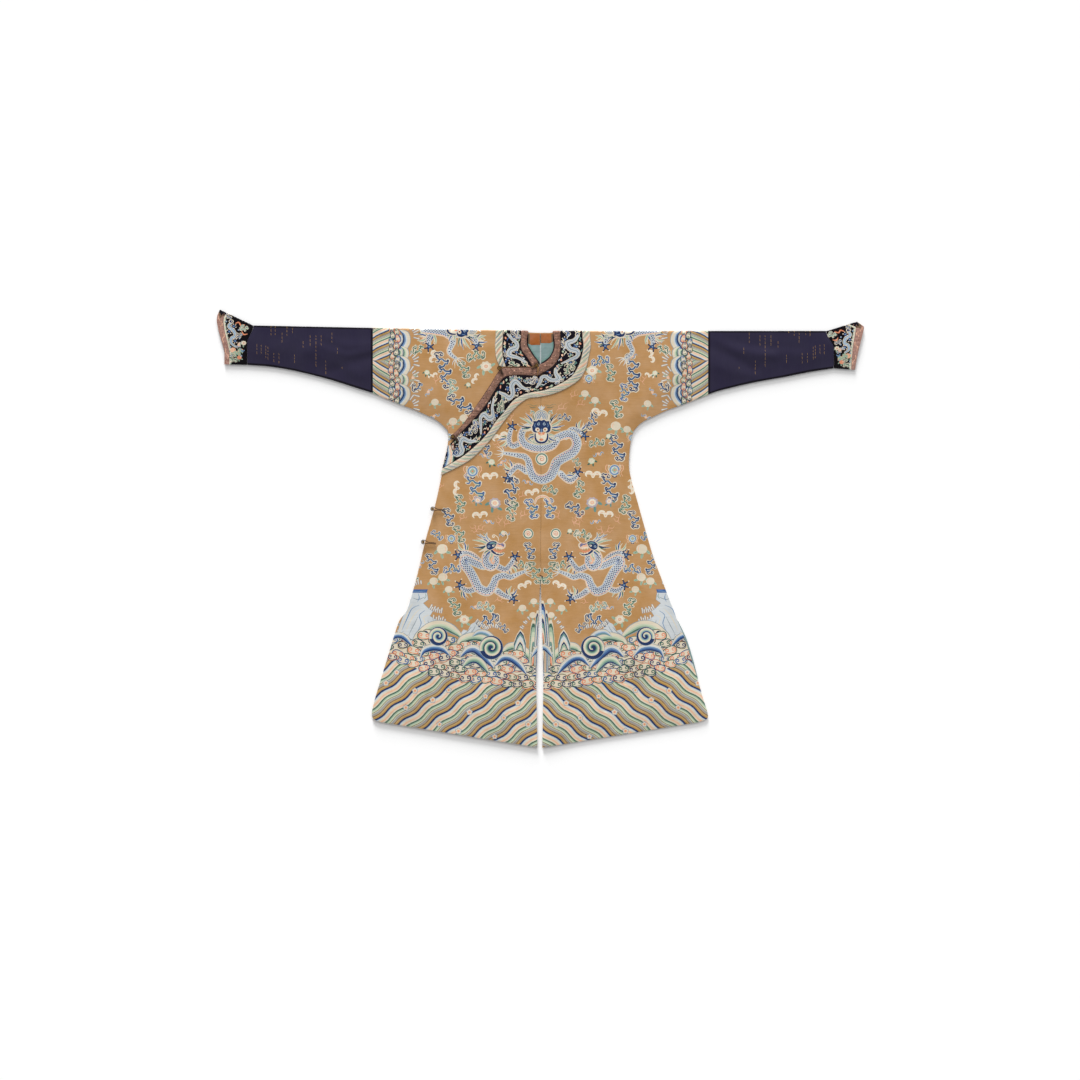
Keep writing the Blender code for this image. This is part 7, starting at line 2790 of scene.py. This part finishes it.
@dataclass(frozen=True)
class SideLining:
    """Sliver of teal lining that shows beyond the wearer's left side edge."""

    top: float = -280.0
    low: float = -500.0
    inset: float = 0.4
    ends: float = 0.8
    bulge: float = 4.6
    level: float = 2.0

    def build(self, finishes: Finishes) -> bpy.types.Object:
        """Make it.

        Args:
            finishes: the robe's finishes.

        Returns:
            Its object.
        """
        edge = CUT.side(1, 42.0)
        edge = edge[(edge[:, 1] < self.top) & (edge[:, 1] > self.low)]
        edge = curve(edge, 6.0)
        t = np.linspace(0.0, 1.0, len(edge))
        near = edge[:, 0] + self.inset
        rows = []
        for k in range(5):
            share = k / 4
            x = near + (self.inset + self.ends + self.bulge * np.sin(math.pi * t)) * share
            z = self.level + 0.25 * math.sin(math.pi * share) + 0.12 * np.sin(edge[:, 1] / 7.0)
            rows.append(np.column_stack((x, edge[:, 1], z)))
        top = np.stack(rows, axis=1)
        count = len(edge)
        under = top - (0.0, 0.0, LINING_WALL)
        vertices = np.vstack((top.reshape(-1, 3), under.reshape(-1, 3))) * MM
        faces = []
        offset = count * 5
        for k in range(count - 1):
            for j in range(4):
                a = k * 5 + j
                faces.append((a, a + 5, a + 6, a + 1))
                faces.append((a + offset, a + 1 + offset, a + 6 + offset, a + 5 + offset))
            for j, turn in ((0, 1), (4, -1)):
                a = k * 5 + j
                quad = (a, a + offset, a + 5 + offset, a + 5)
                faces.append(quad if turn > 0 else quad[::-1])
        for j in range(4):
            last = (count - 1) * 5 + j
            faces.append((j, j + 1, j + 1 + offset, j + offset))
            faces.append((last, last + offset, last + 1 + offset, last + 1))
        faces = np.array(faces)
        colour = np.full(len(faces), THREADS.index(Thread.AQUA))
        made = mesh_object("side_lining_visual", vertices, faces, colour, finishes.lining)
        area = float(np.trapz(self.inset + self.ends + self.bulge * np.sin(math.pi * t),
                                  -edge[:, 1])) * MM * MM
        declare(made, "side_lining", (10.0 * MM, 0.21), area)
        return made


def finish_piece(piece: Cloth, node: str,
                 flat: tuple[float, float] | None = None) -> bpy.types.Object:
    """Build a piece of cloth and say what it is.

    Args:
        piece: the cloth.
        node: the CAD node it stands for.
        flat: width and length of its cut in millimetres, where its outline is not measured so.

    Returns:
        Its object.
    """
    outline = piece.outline
    after = np.roll(outline, -1, axis=0)
    area = 0.5 * abs(float(np.sum(outline[:, 0] * after[:, 1] - after[:, 0] * outline[:, 1]))) * MM * MM
    size = (outline.max(axis=0) - outline.min(axis=0)) * MM
    if flat is not None:
        size = np.array(flat) * MM
    piece.name = f"{node}_visual"
    made = piece.build()
    declare(made, node, (float(min(size)), float(max(size))), area)
    return made


def declare(made: bpy.types.Object, node: str, flat: tuple[float, float],
            area: float) -> None:
    """Tell the frame what a piece of cloth replaces, and how it was cut.

    Args:
        made: the piece.
        node: the CAD node.
        flat: width and length of its cut in metres.
        area: flat area in square metres.
    """
    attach(made, "root")
    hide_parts(node)
    LOG.info("%s: %d faces, flat cut %.3f x %.3f m, %.4f m2", made.name, len(made.data.polygons),
             *flat, area)


@dataclass(frozen=True)
class Closure:
    """Gilt knob held in the bight of its cord loop."""

    name: str
    across: float
    height: float
    angle: float
    length: float
    knob: float = 4.6
    cord: float = 1.3
    apart: float = 0.5
    clear: float = 0.5
    legs: int = 9
    opens: float = 0.55

    def path(self, surface: float) -> Points:
        """Centre line of the loop.

        Args:
            surface: height of its middle line over the table.

        Returns:
            Points in millimetres.
        """
        turn = math.radians(self.angle)
        along = np.array((math.cos(turn), math.sin(turn)))
        across = np.array((-along[1], along[0]))
        bight = self.knob + self.cord + self.clear
        narrow = self.cord + 0.5 * self.apart
        base = np.array((self.across, self.height))
        t = np.linspace(0.0, 1.0, self.legs)
        gap = narrow + (bight - narrow) * smooth((t - self.opens) / (1.0 - self.opens))
        sway = 0.7 * np.sin(t * 7.0 + self.across)
        legs = [base + np.outer(self.length * (1.0 - t), along)
                + np.outer(side * gap + sway * (1.0 - t), across) for side in (1, -1)]
        turns = np.linspace(0.0, math.pi, 11)[1:-1]
        round_knob = base + bight * (np.outer(np.cos(turns), across) - np.outer(np.sin(turns), along))
        flat = np.vstack((legs[0], round_knob, legs[1][::-1]))
        flat = curve(flat, 0.8)
        return np.column_stack((flat, np.full(len(flat), surface)))

    def build(self, finishes: Finishes) -> list[bpy.types.Object]:
        """Make the knob and the loop.

        Args:
            finishes: the robe's finishes.

        Returns:
            Their objects.
        """
        low, high = (np.array(corner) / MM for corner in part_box(f"loop_{self.name}"))
        path = self.path(0.5 * float(low[2] + high[2]))
        run = np.gradient(path, axis=0)
        run /= np.linalg.norm(run, axis=1)[:, None]
        side = np.cross(run, (0.0, 0.0, 1.0))
        side /= np.linalg.norm(side, axis=1)[:, None]
        up = np.cross(side, run)
        sides = 12
        angle = np.linspace(0.0, 2.0 * math.pi, sides, endpoint=False)
        walked = np.concatenate(([0.0], np.cumsum(np.linalg.norm(np.diff(path, axis=0), axis=1))))
        radius = self.cord * (0.86 + 0.14 * np.cos(2.0 * angle[None, :] - 1.9 * walked[:, None]))
        rings = (path[:, None, :] + (radius * np.cos(angle))[..., None] * side[:, None, :]
                 + (radius * np.sin(angle))[..., None] * up[:, None, :])
        vertices = rings.reshape(-1, 3) * MM
        faces = []
        for k in range(len(path) - 1):
            for s in range(sides):
                t = (s + 1) % sides
                faces.append((k * sides + s, k * sides + t, (k + 1) * sides + t, (k + 1) * sides + s))
        for k, turned in ((0, True), (len(path) - 1, False)):
            ring = [k * sides + s for s in range(sides)]
            ring = ring[::-1] if turned else ring
            for s in range(1, sides - 2, 2):
                faces.append((ring[0], ring[s], ring[s + 1], ring[s + 2]))
        faces = np.array(faces)
        colour = np.full(len(faces), THREADS.index(Thread.CORD))
        loop = mesh_object(f"loop_{self.name}_visual", vertices, faces, colour, finishes.cord)
        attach(loop, "root")
        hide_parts(f"loop_{self.name}")
        knob = self.ball(finishes)
        LOG.info("closure %s: loop of %.0f mm", self.name, walked[-1])
        return [loop, knob]

    def ball(self, finishes: Finishes) -> bpy.types.Object:
        """Cast knob with shallow flutes and a collar at its equator.

        Args:
            finishes: the robe's finishes.

        Returns:
            Its object.
        """
        low, high = (np.array(corner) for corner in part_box(f"button_{self.name}"))
        centre = 0.5 * (low + high)
        around, up = 40, 22
        faces = []
        points = []
        for j in range(up + 1):
            lat = math.pi * (j / up - 0.5)
            for i in range(around):
                lon = 2.0 * math.pi * i / around
                flute = 1.0 - 0.035 * math.cos(lat) ** 2 * (1.0 - abs(math.cos(5.0 * lon))) ** 2
                ring = 1.0 + 0.03 * math.exp(-(lat / 0.10) ** 2)
                r = self.knob * MM * flute * min(ring, 1.0 + 0.03)
                points.append((centre[0] + r * math.cos(lat) * math.cos(lon),
                               centre[1] + r * math.cos(lat) * math.sin(lon),
                               centre[2] + r * math.sin(lat)))
        for j in range(up):
            for i in range(around):
                n = (i + 1) % around
                faces.append((j * around + i, j * around + n, (j + 1) * around + n, (j + 1) * around + i))
        faces = np.array(faces)
        colour = np.full(len(faces), THREADS.index(Thread.GOLD))
        knob = mesh_object(f"button_{self.name}_visual", np.array(points), faces, colour, finishes.gilt)
        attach(knob, "root")
        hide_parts(f"button_{self.name}")
        return knob


# ---------------------------------------------------------------- studio

@dataclass(frozen=True)
class Studio:
    """Plain pale floor, soft light and a camera straight above."""

    frame_width: float = 3.5316
    lens: float = 85.0
    sensor: float = 36.0
    aim: tuple[float, float] = (-0.0016, -0.0376)
    world_light: float = 0.42
    key_light: float = 6.2
    key_height: float = 12.0
    key_softness: float = 20.0
    top_light: float = 0.95

    def build(self) -> None:
        """Set the floor, lights and camera."""
        scene = bpy.context.scene
        scene.view_settings.view_transform = "Standard"
        world = bpy.data.worlds.new("soft_room")
        world.use_nodes = True
        world.node_tree.nodes["Background"].inputs["Color"].default_value = (1.0, 1.0, 1.0, 1.0)
        world.node_tree.nodes["Background"].inputs["Strength"].default_value = self.world_light
        scene.world = world
        self.sun("low_key", self.key_light, self.key_height, 8.0, self.key_softness)
        self.sun("high_fill", self.top_light, 40.0, -14.0, 40.0)
        mesh = bpy.data.meshes.new("floor")
        mesh.from_pydata([(-60, -60, 0), (60, -60, 0), (60, 60, 0), (-60, 60, 0)], [], [(0, 1, 2, 3)])
        floor = bpy.data.objects.new("floor", mesh)
        floor.location.z = -3.0 * MM
        scene.collection.objects.link(floor)
        paint = bpy.data.materials.new("matt_white_board")
        paint.use_nodes = True
        shader = paint.node_tree.nodes["Principled BSDF"]
        shader.inputs["Base Color"].default_value = linear("#ffffff")
        shader.inputs["Roughness"].default_value = 0.9
        shader.inputs["Specular IOR Level"].default_value = 0.1
        mesh.materials.append(paint)
        camera = bpy.data.objects.new("camera", bpy.data.cameras.new("camera"))
        camera.data.lens = self.lens
        camera.data.sensor_width = self.sensor
        camera.data.dof.use_dof = False
        camera.location = (*self.aim, self.frame_width * self.lens / self.sensor)
        scene.collection.objects.link(camera)
        scene.camera = camera

    def sun(self, name: str, strength: float, height: float, side: float, softness: float) -> None:
        """Add a soft distant light from beyond the shoulders.

        Args:
            name: its name.
            strength: its strength.
            height: angle over the floor in degrees.
            side: angle to the left in degrees.
            softness: its angular size in degrees.
        """
        light = bpy.data.lights.new(name, "SUN")
        light.energy = strength
        light.angle = math.radians(softness)
        lamp = bpy.data.objects.new(name, light)
        rise, turn = math.radians(height), math.radians(side)
        away = Vector((-math.sin(turn) * math.cos(rise), math.cos(turn) * math.cos(rise), math.sin(rise)))
        lamp.rotation_euler = away.to_track_quat("Z", "Y").to_euler()
        lamp.visible_glossy = False     # glossy rays do not see it, so it puts no glare on the silk
        bpy.context.scene.collection.objects.link(lamp)


LIE = Lie()
CUT = Cut(LIE)
RIMS = {sign: LIE.rim(sign) for sign in (-1, 1)}


def main() -> None:
    """Load the frame, build every piece and set the studio."""
    logging.basicConfig(level=logging.INFO, format="%(name)s: %(message)s")
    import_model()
    finishes = Finishes()
    Body(finishes, RobeDesign().front(), RobeDesign(fine=False).back()).build()
    Arm(-1, finishes, 939.0, ((0.0, 1033.5, 16.0), (0.25, 1033.0, 17.0), (0.45, 1043.0, 19.0),
                              (0.62, 1052.5, 21.0), (0.8, 1058.5, 22.0), (0.9, 1056.5, 22.0),
                              (1.0, 1048.5, 22.0))).build()
    Arm(1, finishes, 934.0, ((0.0, 1028.0, 13.0), (0.25, 1034.5, 17.0), (0.45, 1041.0, 21.0),
                             (0.62, 1048.0, 24.0), (0.8, 1055.0, 26.0), (0.9, 1058.5, 27.0),
                             (1.0, 1035.5, 26.0))).build()
    Neck(finishes).build()
    SideLining().build(finishes)
    for closure in (Closure("neck", -13.0, 532.0, 215.0, 20.0), Closure("corner", -134.0, 524.0, 300.0, 24.0),
                    Closure("underarm", -286.0, 300.0, 318.0, 26.0),
                    Closure("side_upper", -352.0, 64.0, -7.0, 40.0),
                    Closure("side_lower", -383.0, -44.0, -8.0, 42.0)):
        closure.build(finishes)
    Studio().build()


if __name__ == "__main__":
    main()
